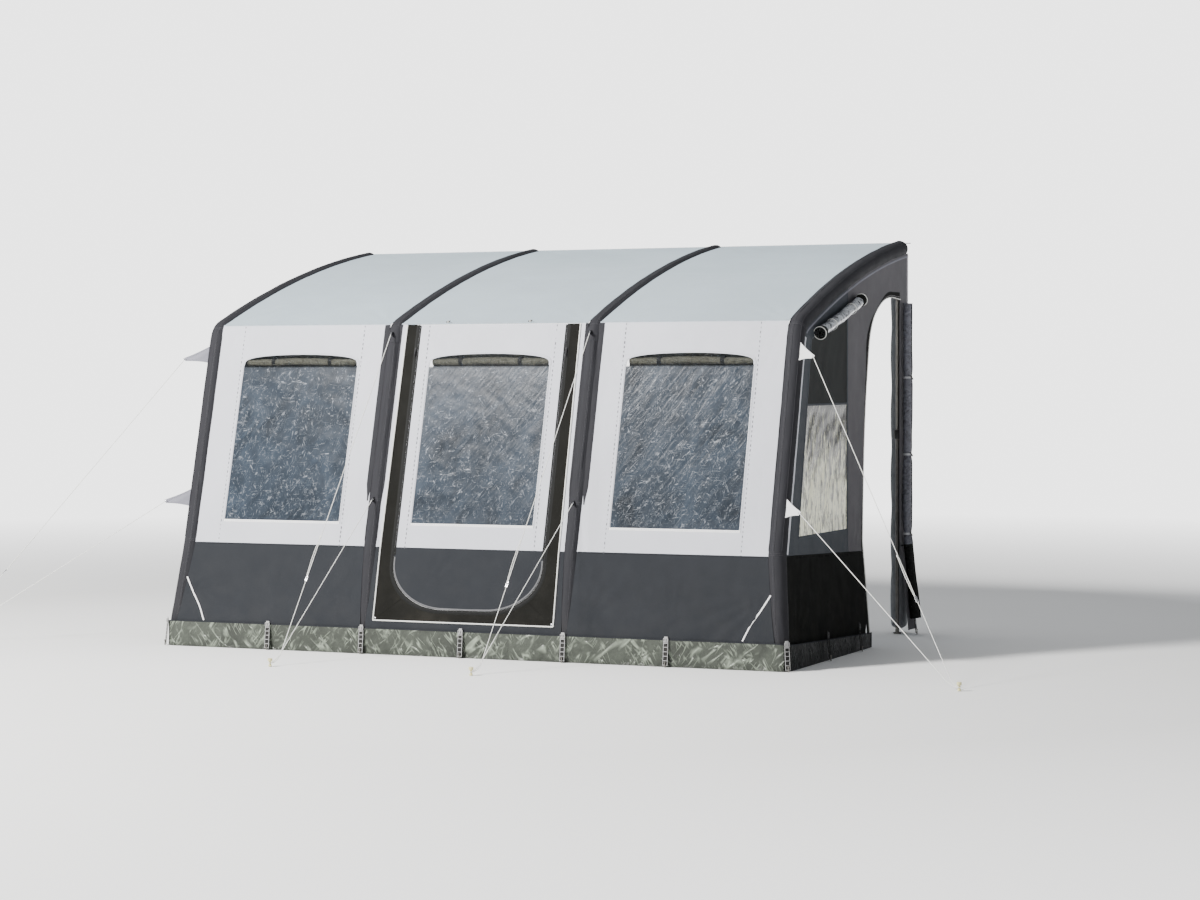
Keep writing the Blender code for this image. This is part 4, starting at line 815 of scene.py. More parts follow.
def rolled_cloth(name, colour, roughness, gloss, crease=1.0, shine=0.4):
    """Cloth or film wound into a roll, pulled into fine cross creases that are painted lighter as highlights; on
    glossy film the broad patches are painted dark reflections.
    """
    f = Finish(name, roughness, **{"Specular IOR Level": shine, "Coat Weight": gloss, "Coat Roughness": 0.18})
    flat = f.flat()
    across = f.maths("MAXIMUM", f.creases(16.0, 1.2, 0.4, 0.07), f.creases(26.0, -1.0, 0.4, 0.07))
    small = f.noise(flat, 70.0, 4.0, 0.6, 0.5)
    broad = f.noise(flat, 22.0, 4.0, 0.6, 1.0)
    # On glossy film the broad patches fall nearly black, painted dark reflections; on matte cloth they are a mild
    # random tone
    deep, low, high = (0.05, 0.48, 0.56) if gloss > 0.5 else (0.7, 0.42, 0.58)
    base = f.mixed(f.graded(broad, low, high), rgba(colour, deep), rgba(colour, 1.1))
    # Painted highlights: the cross creases are lightened
    base = f.mixed(f.maths("MULTIPLY", across, 0.6), base, brighter(colour, 1.9))
    base = f.mixed(f.maths("MULTIPLY", small, 0.25), base, rgba(colour, 0.6))
    rough = f.graded(small, 0.3, 0.7, roughness - 0.1, roughness + 0.12)
    return f.done(base, f.bump((across, 0.005, 0.6 * crease), (small, 0.001, 0.4)), Roughness=rough)


def webbing(name, colour, rib, roughness):
    """Woven tape with ribs along it."""
    f = Finish(name, roughness, **{"Sheen Weight": 0.03, "Specular IOR Level": 0.15})
    flat = f.flat()
    ribs = f.bands(flat, BAND_SCALE / rib, "Y")
    edge = f.bands(flat, BAND_SCALE / (rib * 2.5), "X")
    height = f.maths("MULTIPLY", ribs, edge)
    base = f.mixed(f.maths("MULTIPLY", height, 0.3), rgba(colour), rgba(colour, 0.6))
    base = f.mixed(f.maths("MULTIPLY", f.noise(flat, 60.0, 3.0), 0.22), base, rgba(colour, 0.6))
    return f.done(base, f.bump((height, 0.0005, 0.5)))


def twisted_cord(name, colour):
    """Braided cord: slanting strands round a UV that runs along it."""
    f = Finish(name, 0.7, **{"Sheen Weight": 0.15})
    strands = [f.bands(f.flat(turn=turn), BAND_SCALE / (CORD_DIAMETER * 0.55), "X") for turn in (0.78, -0.78)]
    braid = f.maths("MAXIMUM", *strands)
    base = f.mixed(f.graded(braid, 0.35, 1.0), rgba(colour, 0.78), rgba(colour))
    base = f.mixed(f.graded(f.noise(f.place(), 9.0, 4.0), 0.5, 0.75, 0.0, 0.15), base, rgba((0.42, 0.44, 0.3)))
    return f.done(base, f.bump((braid, 0.0006, 0.6)))


def metal(name, colour, roughness, scratch=1.0):
    f = Finish(name, roughness, 1.0)
    grain = f.noise(f.place((1.0, 1.0, 0.03)), 900.0, 3.0, 0.6)
    wear = f.noise(f.place(), 22.0, 5.0, 0.65)
    base = f.mixed(f.graded(wear, 0.4, 0.75, 0.0, 0.5), rgba(colour), rgba(colour, 0.62))
    rough = f.graded(wear, 0.3, 0.8, roughness - 0.06, roughness + 0.18)
    return f.done(base, f.bump((grain, 0.0002, 0.25 * scratch)), Roughness=rough)


def moulded(name, colour, roughness, dirt=(0.2, 0.18, 0.13), soiled=0.0, shine=0.5, edge_lift=0.03):
    """Moulded plastic or rubber with a fine grain, lighter along its sharp edges."""
    f = Finish(name, roughness, **{"Specular IOR Level": shine})
    grain = f.noise(f.place(), 1500.0, 2.0, 0.5)
    wear = f.noise(f.place(), 60.0, 5.0, 0.65)
    edge = f.add("ShaderNodeNewGeometry").outputs["Pointiness"]
    # Lighter along sharp edges, found by their pointiness
    base = f.mixed(f.graded(edge, 0.5, 0.58, 0.0, 0.35), rgba(colour), brighter(colour, 1.6, edge_lift))
    base = f.mixed(f.graded(wear, 0.45, 0.75, 0.0, 0.22 + soiled), base, rgba(dirt))
    rough = f.graded(wear, 0.3, 0.7, roughness - 0.08, roughness + 0.12)
    return f.done(base, f.bump((grain, 0.0001, 0.3)), Roughness=rough)


def quilted(name, colour):
    """Padded lining cloth, puckered along its stitched channels, painted darker in the puckers' hollows as shade."""
    f = Finish(name, 0.8, **{"Sheen Weight": 0.2, "Sheen Roughness": 0.5})
    folds = f.noise(f.place((1.0, 1.0, 0.5)), 24.0, 4.0, 0.6, 0.8)
    threads = f.noise(f.place(), 800.0, 2.0)
    # Painted shade: colour follows the puckers' height, darker in their hollows
    base = f.mixed(f.graded(folds, 0.3, 0.7), rgba(colour, 0.82), rgba(colour, 1.12))
    base = f.mixed(f.maths("MULTIPLY", threads, 0.2), base, rgba(colour, 0.65))
    return f.done(base, f.bump((folds, 0.008, 0.5), (threads, 0.0003, 0.4)))


# Each finish: what makes it, its material's name, its colour or the name of the chosen one, and its values
FINISHES = {
    "sleeve": (woven, "sleeve_cloth", "sleeve", 0.0011, 0.7, 0.8, 0.03, 0.0, 0.85, 0.1),
    "roof": (woven, "roof_cloth", "roof", 0.0012, 0.62, 0.5, 0.0, 0.05, 0.95),
    "pale": (woven, "pale_cloth", "pale", 0.0012, 0.7, 0.6, 0.0, 0.05, 0.95),
    "charcoal": (woven, "charcoal_cloth", "charcoal", 0.0012, 0.75, 0.35, 0.02, 0.02, 0.95, 0.1),
    "band": (woven, "door_band_cloth", "band", 0.0012, 0.75, 0.4, 0.04, 0.0, 0.9, 0.08),
    "side_front": (woven, "side_cloth_cool", "side_front", 0.0012, 0.7, 0.7, 0.0, 0.03, 0.9, 0.15),
    "side_rear": (woven, "side_cloth_warm", "side_rear", 0.0012, 0.7, 0.6, 0.0, 0.03, 0.92, 0.15),
    "black": (woven, "side_cloth_black", "black", 0.0012, 0.78, 0.5, 0.03, 0.0, 0.88, 0.06),
    "gusset": (woven, "gusset_cloth", "gusset", 0.001, 0.7, 0.5, 0.0, 0.05, 0.92),
    # The left gussets: the same cloth as the right ones, darkened as painted shade
    "gusset_grey": (woven, "gusset_cloth_grey", "gusset_grey", 0.001, 0.7, 0.5, 0.0, 0.03, 0.92),
    "roof_strip": (woven, "beam_edge_cloth", "roof_strip", 0.0012, 0.7, 0.5, 0.0, 0.03, 0.9, 0.15),
    "mud": (mud_sheeting, "mud_sheeting", "mud"),
    "mud_side": (mud_sheeting, "mud_sheeting_side", "mud_side", 0.12),
    "pane": (clear_sheet, "window_sheet", "pane", 0.98, PANE_TOP_Z),
    "side_pane": (streaked_sheet, "side_window_sheet", "side_pane", 0.97),
    "fly": (fly_mesh, "fly_mesh", "fly"),
    "blind": (rolled_cloth, "blind_roll_cloth", "blind", 0.8, 0.0, 0.7, 0.15),
    "door_roll": (rolled_cloth, "door_roll_cloth", "door_roll", 0.5, 0.15),
    "door_roll_black": (rolled_cloth, "door_roll_black", "black", 0.6, 0.0, 1.0, 0.15),
    "flap_roll": (rolled_cloth, "flap_roll_film", "flap", 0.16, 0.8, 1.6, 0.8),
    "white": (webbing, "white_hem", "white", 0.003, 0.5),
    "piping": (webbing, "white_piping", "piping", 0.003, 0.5),
    "seam_thread": (webbing, "seam_thread", "seam_thread", 0.0012, 0.7),
    "thread": (webbing, "grey_thread", "thread", 0.0012, 0.6),
    "dark_tape": (webbing, "dark_tape", "black", 0.0022, 0.6),
    "grey_tape": (webbing, "grey_tape", "tape", 0.0022, 0.65),
    "edge_tape": (webbing, "leaf_edge_tape", "edge_tape", 0.0022, 0.7),
    "keder": (webbing, "keder_tape", (0.7, 0.7, 0.7), 0.004, 0.55),
    "cord": (twisted_cord, "guy_cord", "cord"),
    "steel": (metal, "pole_steel", (0.26, 0.25, 0.23), 0.45, 0.2),
    "pole_top": (metal, "pole_steel_top", (0.34, 0.33, 0.3), 0.4, 0.2),
    "bright_metal": (metal, "bright_metal", (0.72, 0.72, 0.74), 0.22),
    "dark_metal": (metal, "dark_metal", (0.02, 0.02, 0.021), 0.55),
    "zip_teeth": (moulded, "zip_teeth", "teeth", 0.6, (0.03, 0.03, 0.028), 0.0, 0.12, 0.0),
    "black_plastic": (moulded, "black_plastic", (0.028, 0.028, 0.03), 0.42),
    "peg": (moulded, "peg_plastic", (0.72, 0.66, 0.34), 0.42, (0.24, 0.2, 0.12), 0.35),
    "rubber": (moulded, "ladder_rubber", (0.3, 0.3, 0.3), 0.5, (0.12, 0.11, 0.08), 0.2),
    "black_rubber": (moulded, "black_rubber", (0.012, 0.012, 0.012), 0.6, (0.06, 0.055, 0.04), 0.1, 0.2, 0.01),
    "pad": (quilted, "pad_cloth", "pad"),
}


# Repeated small things, laid along lines by geometry nodes

REPEAT_INPUTS = (
    ("Spacing", "NodeSocketFloat", 0.01),
    ("Length", "NodeSocketFloat", 0.006),
    ("Width", "NodeSocketFloat", 0.0015),
    ("Height", "NodeSocketFloat", 0.0012),
    ("Facing", "NodeSocketVector", (0.0, 0.0, 1.0)),
    ("Unevenness", "NodeSocketFloat", 0.12),
    ("Seed", "NodeSocketInt", 3),
    ("Finish", "NodeSocketMaterial", None),
)


def repeat_tree(sides):
    """Lays short many-sided pieces along curves, turned to lie along them."""
    name = f"Repeat Along Lines {sides}"
    tree = bpy.data.node_groups.get(name)
    if tree:
        return tree
    tree = bpy.data.node_groups.new(name, "GeometryNodeTree")
    tree.interface.new_socket("Geometry", in_out="INPUT", socket_type="NodeSocketGeometry")
    for label, kind, default in REPEAT_INPUTS:
        socket = tree.interface.new_socket(label, in_out="INPUT", socket_type=kind)
        if default is not None:
            socket.default_value = default
    tree.interface.new_socket("Geometry", in_out="OUTPUT", socket_type="NodeSocketGeometry")
    t = NodeTree(tree)
    start = t.add("NodeGroupInput").outputs
    points = t.add("GeometryNodeCurveToPoints", {"Curve": start["Geometry"]}, mode="LENGTH")
    t.set(points, {"Length": start["Spacing"]})
    unit_piece = t.add("GeometryNodeMeshCylinder", {"Vertices": sides, "Radius": 0.5, "Depth": 1.0})
    along = t.add("FunctionNodeAlignRotationToVector", {"Vector": points.outputs["Tangent"]}, axis="Z")
    facing = t.add("FunctionNodeAlignRotationToVector", axis="Y", pivot_axis="Z")
    t.set(facing, {"Rotation": along.outputs[0], "Vector": start["Facing"]})
    size = t.add("ShaderNodeCombineXYZ", {0: start["Width"], 1: start["Height"], 2: start["Length"]})
    low, high = (
        t.add("ShaderNodeMath", {0: 1.0, 1: start["Unevenness"]}, operation=way) for way in ("SUBTRACT", "ADD")
    )
    chance = t.add("FunctionNodeRandomValue", data_type="FLOAT")
    t.set(chance, {2: low.outputs[0], 3: high.outputs[0], "Seed": start["Seed"]})
    scale = t.add("ShaderNodeVectorMath", operation="SCALE")
    t.set(scale, {0: size.outputs[0], "Scale": chance.outputs[1]})
    laid = t.add("GeometryNodeInstanceOnPoints", {"Points": points.outputs["Points"]})
    t.set(laid, {"Instance": unit_piece.outputs["Mesh"], "Rotation": facing.outputs[0], "Scale": scale.outputs[0]})
    real = t.add("GeometryNodeRealizeInstances", {0: laid.outputs[0]})
    finish = t.add("GeometryNodeSetMaterial", {"Geometry": real.outputs[0], "Material": start["Finish"]})
    t.add("NodeGroupOutput", {0: finish.outputs[0]})
    return tree


def along_lines(name, lines, finish, body, sides=6, **values):
    """One mesh of small pieces repeated along the lines, on one body."""
    curve = bpy.data.curves.new(name, "CURVE")
    curve.dimensions = "3D"
    for line in lines:
        spline = curve.splines.new("POLY")
        spline.points.add(len(line) - 1)
        flat = np.concatenate([np.asarray(line, float), np.ones((len(line), 1))], axis=1)
        spline.points.foreach_set("co", flat.ravel())
    guide = placed(name + "_guide", curve)
    modifier = guide.modifiers.new("Repeat", "NODES")
    modifier.node_group = repeat_tree(sides)
    values["Finish"] = finish
    for item in modifier.node_group.interface.items_tree:
        if item.item_type == "SOCKET" and item.in_out == "INPUT" and item.name in values:
            modifier[item.identifier] = values[item.name]
    bpy.context.view_layer.update()
    graph = bpy.context.evaluated_depsgraph_get()
    mesh = bpy.data.meshes.new_from_object(guide.evaluated_get(graph))
    mesh.name = name
    bpy.data.objects.remove(guide, do_unlink=True)
    if not mesh.polygons:
        raise RuntimeError(f"{name} made no pieces")
    layer = mesh.uv_layers[0] if mesh.uv_layers else mesh.uv_layers.new()
    layer.name = "Flat"
    return settled(placed(name, mesh), body)


def stitched(shop, name, lines, body, height, facing=FACING_FRONT):
    """Stitches along the lines."""
    sizes = shop.sizes
    values = {"Spacing": sizes.stitch_spacing, "Length": sizes.stitch_length, "Width": 0.0013, "Height": height}
    along_lines(name, lines, shop.finish("thread"), body, Facing=facing, **values)


def dashed_seam(shop, name, lines, body):
    """A wall's broad dashed seam."""
    sizes = shop.sizes
    values = {"Spacing": sizes.stitch_spacing * 1.9, "Length": sizes.stitch_length * 1.2, "Width": 0.004}
    values.update(Height=0.0012, Unevenness=0.3, Facing=FACING_FRONT)
    along_lines(name, lines, shop.finish("seam_thread"), body, **values)


# Sizes and colours that a user would change


def colour_property(label, text, default):
    return bpy.props.FloatVectorProperty(
        name=label, description=text, subtype="COLOR", size=3, min=0.0, max=1.0, default=default
    )


def length_property(label, text, default, low=0.0):
    return bpy.props.FloatProperty(
        name=label, description=text, default=default, min=low, subtype="DISTANCE", unit="LENGTH"
    )


class AwningSizes(bpy.types.PropertyGroup):
    cloth_step: length_property("Cloth Step", "Distance between points of the cloth", 0.022, 0.01)
    cloth_thickness: length_property("Cloth Thickness", "Thickness of the wall and roof cloth", 0.0022, 0.0005)
    roof_sag: length_property("Roof Sag", "How far the roof dips between two beams", 0.011)
    wall_ripple: length_property("Wall Ripple", "Height of the soft folds in the walls", 0.0032)
    mud_ripple: length_property("Mud Wall Ripple", "Height of the folds in the mud wall", 0.0055)
    sleeve_ripple: length_property("Sleeve Ripple", "Height of the creases in the beams' sleeves", 0.0012)
    piping_radius: length_property("Piping Radius", "Radius of the piping round the door", 0.0042, 0.001)
    stitch_spacing: length_property("Stitch Spacing", "Distance between two stitches", 0.014, 0.004)
    stitch_length: length_property("Stitch Length", "Length of one stitch", 0.0095, 0.002)
    tooth_spacing: length_property("Zip Tooth Spacing", "Distance between two zip teeth", 0.005, 0.002)


class AwningColours(bpy.types.PropertyGroup):
    roof: colour_property("Roof", "Colour of the roof cloth", (0.4, 0.48, 0.53))
    pale: colour_property("Pale Cloth", "Colour of the upper front walls", (0.565, 0.575, 0.625))
    charcoal: colour_property("Charcoal Cloth", "Colour of the lower front walls", (0.0225, 0.0245, 0.0285))
    sleeve: colour_property("Sleeves", "Colour of the beams' sleeves", (0.0275, 0.0275, 0.0315))
    band: colour_property("Door Band", "Colour of the band round the front door", (0.009, 0.0088, 0.0075))
    side_front: colour_property("Side Cloth, Front", "Colour of the side walls' front part", (0.043, 0.049, 0.058))
    side_rear: colour_property("Side Cloth, Rear", "Colour of the side walls' rear part", (0.085, 0.082, 0.09))
    black: colour_property("Black Cloth", "Colour of the side walls' foot", (0.0052, 0.0056, 0.005))
    gusset: colour_property("Gussets", "Colour of the guy lines' gussets", (0.8, 0.8, 0.8))
    # Painted shade: the left gussets' cloth is darkened
    gusset_grey: colour_property("Left Gussets", "Colour of the left guy line's gussets", (0.3, 0.3, 0.35))
    mud: colour_property("Mud Wall", "Colour of the front mud wall", (0.052, 0.06, 0.047))
    mud_side: colour_property("Side Mud Wall", "Colour of the side mud walls", (0.003, 0.0036, 0.0034))
    pane: colour_property("Window", "Tint of the front windows", (0.02, 0.027, 0.037))
    side_pane: colour_property("Side Window", "Tint of the side windows", (0.38, 0.38, 0.27))
    fly: colour_property("Insect Mesh", "Colour of the mesh in the side windows", (0.012, 0.0135, 0.0135))
    blind: colour_property("Blinds", "Colour of the rolled blinds", (0.055, 0.054, 0.042))
    door_roll: colour_property("Rolled Doors", "Colour of the rolled side doors", (0.085, 0.087, 0.105))
    flap: colour_property("Storm Flaps", "Colour of the rolled storm flaps", (0.42, 0.44, 0.47))
    piping: colour_property("Piping", "Colour of the piping", (0.78, 0.78, 0.75))
    white: colour_property("White Hems", "Colour of the hems at the window sills", (0.92, 0.92, 0.92))
    roof_strip: colour_property("Beam Edges", "Colour of the cloth over the side walls' edges", (0.16, 0.16, 0.19))
    edge_tape: colour_property("Leaf Edge", "Colour of the tape along the leaf's lower edge", (0.13, 0.13, 0.135))
    tape: colour_property("Tapes", "Colour of the seam tapes", (0.42, 0.42, 0.44))
    thread: colour_property("Thread", "Colour of the stitching", (0.33, 0.33, 0.35))
    seam_thread: colour_property("Seam Thread", "Colour of the walls' dashed seams", (0.1, 0.1, 0.11))
    teeth: colour_property("Zip Teeth", "Colour of the zips' teeth", (0.012, 0.012, 0.0125))
    cord: colour_property("Guy Cord", "Colour of the guy lines", (0.9, 0.9, 0.86))
    pad: colour_property("Rear Pads", "Colour of the pads at the rear", (0.26, 0.27, 0.29))


# The pieces


class Workshop:
    """What every piece is made with: the chosen sizes, and the finishes, each made once."""

    made = {}

    def __init__(self, context):
        self.sizes = context.scene.awning_sizes
        self.colours = context.scene.awning_colours

    def finish(self, name):
        if name not in self.made:
            maker, material, colour, *values = FINISHES[name]
            colour = getattr(self.colours, colour) if isinstance(colour, str) else colour
            self.made[name] = maker(material, colour, *values)
        return self.made[name]


def up_cloth(points):
    """Width and height pairs turned into width and length up the front cloth."""
    return [(x, float(CLOTH.at_height(z))) for x, z in points]


def camera_matrix(place, yaw, pitch, roll):
    """A camera's placing from its place and its turn to the left, tilt and lean, in degrees."""
    yaw, pitch, roll = (math.radians(a) for a in (yaw, pitch, roll))
    ahead = Vector((-math.sin(yaw) * math.cos(pitch), math.cos(yaw) * math.cos(pitch), math.sin(pitch)))
    right = Vector((math.cos(yaw), math.sin(yaw), 0.0))
    up = right.cross(ahead)
    side = right * math.cos(roll) + up * math.sin(roll)
    top = up * math.cos(roll) - right * math.sin(roll)
    matrix = Matrix((side, top, -ahead)).transposed().to_4x4()
    matrix.translation = place
    return matrix


def area_light(name, place, target, size, power, colour=(1.0, 1.0, 1.0)):
    data = bpy.data.lights.new(name, "AREA")
    data.shape = "DISK"
    data.size = size
    data.energy = power
    data.color = colour
    lamp = placed(name, data)
    lamp.location = place
    lamp.rotation_euler = (Vector(target) - Vector(place)).to_track_quat("-Z", "Y").to_euler()


class AWNING_OT_stage(bpy.types.Operator):
    """Puts down the pale floor, the soft lights and the camera"""

    bl_idname = "awning.stage"
    bl_label = "Stage"

    def execute(self, context):
        data = bpy.data.cameras.new("camera")
        data.sensor_width = 36.0
        data.lens = 82.4715
        data.clip_end = 200.0
        camera = placed("camera", data)
        camera.matrix_world = camera_matrix((6.889, -15.074, 1.611), 23.51, -1.631, -0.127)
        context.scene.camera = camera
        floor = Finish("studio_floor", 0.9, **{"Specular IOR Level": 0.0})
        tone = floor.noise(floor.place(), 0.6, 3.0)
        away = floor.add("ShaderNodeVectorMath", {0: floor.place()}, operation="LENGTH").outputs["Value"]
        glow = floor.graded(away, 5.0, 15.0)
        near = floor.mixed(tone, (0.86, 0.86, 0.85, 1.0), (0.9, 0.9, 0.89, 1.0))
        base = floor.mixed(glow, near, (0.0, 0.0, 0.0, 1.0))
        glow = floor.maths("MULTIPLY", glow, BACKDROP)
        white = (1.0, 1.0, 1.0, 1.0)
        floor.set(floor.shader, {"Base Color": base, "Emission Color": white, "Emission Strength": glow})
        bm = bmesh.new()
        bmesh.ops.create_grid(bm, x_segments=2, y_segments=2, size=90.0)
        mesh = bpy.data.meshes.new("studio_floor")
        bm.to_mesh(mesh)
        bm.free()
        mesh.materials.append(floor.material)
        ground = placed("studio_floor", mesh)
        ground.location.z = -0.0015
        world = bpy.data.worlds.new("studio")
        world.use_nodes = True
        sky = NodeTree(world.node_tree)
        light = sky.tree.nodes["Background"]
        sky.set(light, {0: (0.9, 0.94, 1.0, 1.0), 1: 0.28})
        seen = sky.add("ShaderNodeBackground", {0: white, 1: BACKDROP})
        rays = sky.add("ShaderNodeLightPath").outputs["Is Camera Ray"]
        both = sky.add("ShaderNodeMixShader", {0: rays, 1: light.outputs[0], 2: seen.outputs[0]})
        sky.set(sky.tree.nodes["World Output"], {0: both.outputs[0]})
        context.scene.world = world
        area_light("key", (-6.0, -10.0, 9.0), (0.0, -0.5, 1.0), 2.4, 4900.0, (1.0, 0.985, 0.965))
        area_light("top", (0.0, 2.0, 9.0), (0.0, 0.0, 1.5), 6.0, 300.0)
        area_light("fill", (9.0, -8.0, 4.0), (1.5, 0.0, 1.0), 5.0, 60.0, (0.95, 0.97, 1.0))
        return {"FINISHED"}


class AWNING_OT_guy_lines(bpy.types.Operator):
    """Makes the four guy lines with their runners and pegs"""

    bl_idname = "awning.guy_lines"
    bl_label = "Guy Lines"

    def execute(self, context):
        shop = Workshop(context)
        for number in CORD_LINES:
            self.peg(shop, number)
            runner = self.runner(shop, number)
            bent = self.rounded(cord_line(number))
            shape = Shape()
            shape.sweep(bent, self.sideways(bent), cord_section(CORD_DIAMETER / 2))
            name = f"guy_line_{number}"
            line = shape.piece(name, shop.finish("cord"), "awning", [f"guy_cord_{number}"])
            tail = self.tail(shop, number)
        return {"FINISHED"}

    def rounded(self, path):
        """The cord's points with its half turn round the peg drawn as a finer curve."""
        gaps = np.linalg.norm(np.diff(path, axis=0), axis=1)
        near = np.where(gaps < 0.08)[0]
        first, last = near.min(), near.max() + 1
        middle = smooth_line(path[first : last + 1], 0.0016)
        return np.concatenate([path[:first], middle, path[last + 1 :]])

    def sideways(self, path):
        """Normals that stay steady along a cord which turns about the upright."""
        along = unit(np.gradient(path, axis=0))
        return unit(np.array(UP) - along * along[:, 2:3])

    def peg(self, shop, number):
        """A plastic ground peg: its foot plate, its neck that the line goes round, and its round head."""
        shape = Shape()
        profile = [
            (0.0, 0.0), (0.009, 0.0), (0.0092, 0.006), (0.0088, 0.0085), (0.006, 0.011), (0.0058, 0.012),
            (0.0058, 0.0255), (0.0068, 0.0272), (0.0125, 0.0298), (0.013, 0.032), (0.013, 0.041),
            (0.0122, 0.0436), (0.0102, 0.045), (0.006, 0.0449), (0.0045, 0.0435), (0.0, 0.043),
        ]
        shape.turned(profile, PEGS[number], UP, 28)
        name = f"line_peg_{number}"
        shape.piece(name, shop.finish("peg"), "awning", [f"guy_peg_{number}"], 35.0)

    def runner(self, shop, number):
        """A slotted bar that grips the line: two cheeks with finger ribs, joined at both ends."""
        centre, along = (Vector(v) for v in RUNNERS[number])
        turn = along.to_track_quat("Z", "Y").to_matrix()
        side = turn @ Vector((1.0, 0.0, 0.0))
        face = turn @ Vector((0.0, 1.0, 0.0))
        shape = Shape()
        for end in (-1.0, 1.0):
            shape.block((0.0052, 0.0078, 0.034), centre + side * (0.0052 * end), turn, 0.0014)
            for step in (-1.0, 0.0, 1.0):
                place = centre + side * (0.0075 * end) + along * (0.008 * step)
                shape.block((0.0012, 0.0062, 0.0032), place, turn, 0.0004)
        for end in (-1.0, 1.0):
            for cover in (-1.0, 1.0):
                place = centre + along * (0.0135 * end) + face * (0.00335 * cover)
                shape.block((0.0105, 0.0012, 0.0072), place, turn, 0.0003)
        name = f"line_runner_bar_{number}"
        body = f"line_runner_{number}"
        return shape.piece(name, shop.finish("bright_metal"), body, [f"runner_{number}"], 30.0)

    def tail(self, shop, number):
        """The line's short doubled end above its runner, with its knot."""
        centre, along = (Vector(v) for v in RUNNERS[number])
        side = along.cross(Vector(UP)).normalized()
        length = 0.25
        path = []
        for s in np.linspace(0.0, length, 22):
            gap = 0.0052 + 0.006 * math.sin(math.pi * s / length)
            path.append(centre - along * (0.018 + s) + side * gap)
        shape = Shape()
        shape.sweep([tuple(p) for p in path], np.array(side), cord_section(0.0019))
        knot = [
            (0.0, -0.006), (0.003, -0.0055), (0.0046, -0.003), (0.0038, -0.0008), (0.0049, 0.0016),
            (0.0034, 0.005), (0.0, 0.0062),
        ]
        shape.turned(knot, path[-1], along, 12)
        name = f"line_tail_{number}"
        return shape.piece(name, shop.finish("cord"), f"line_runner_{number}")


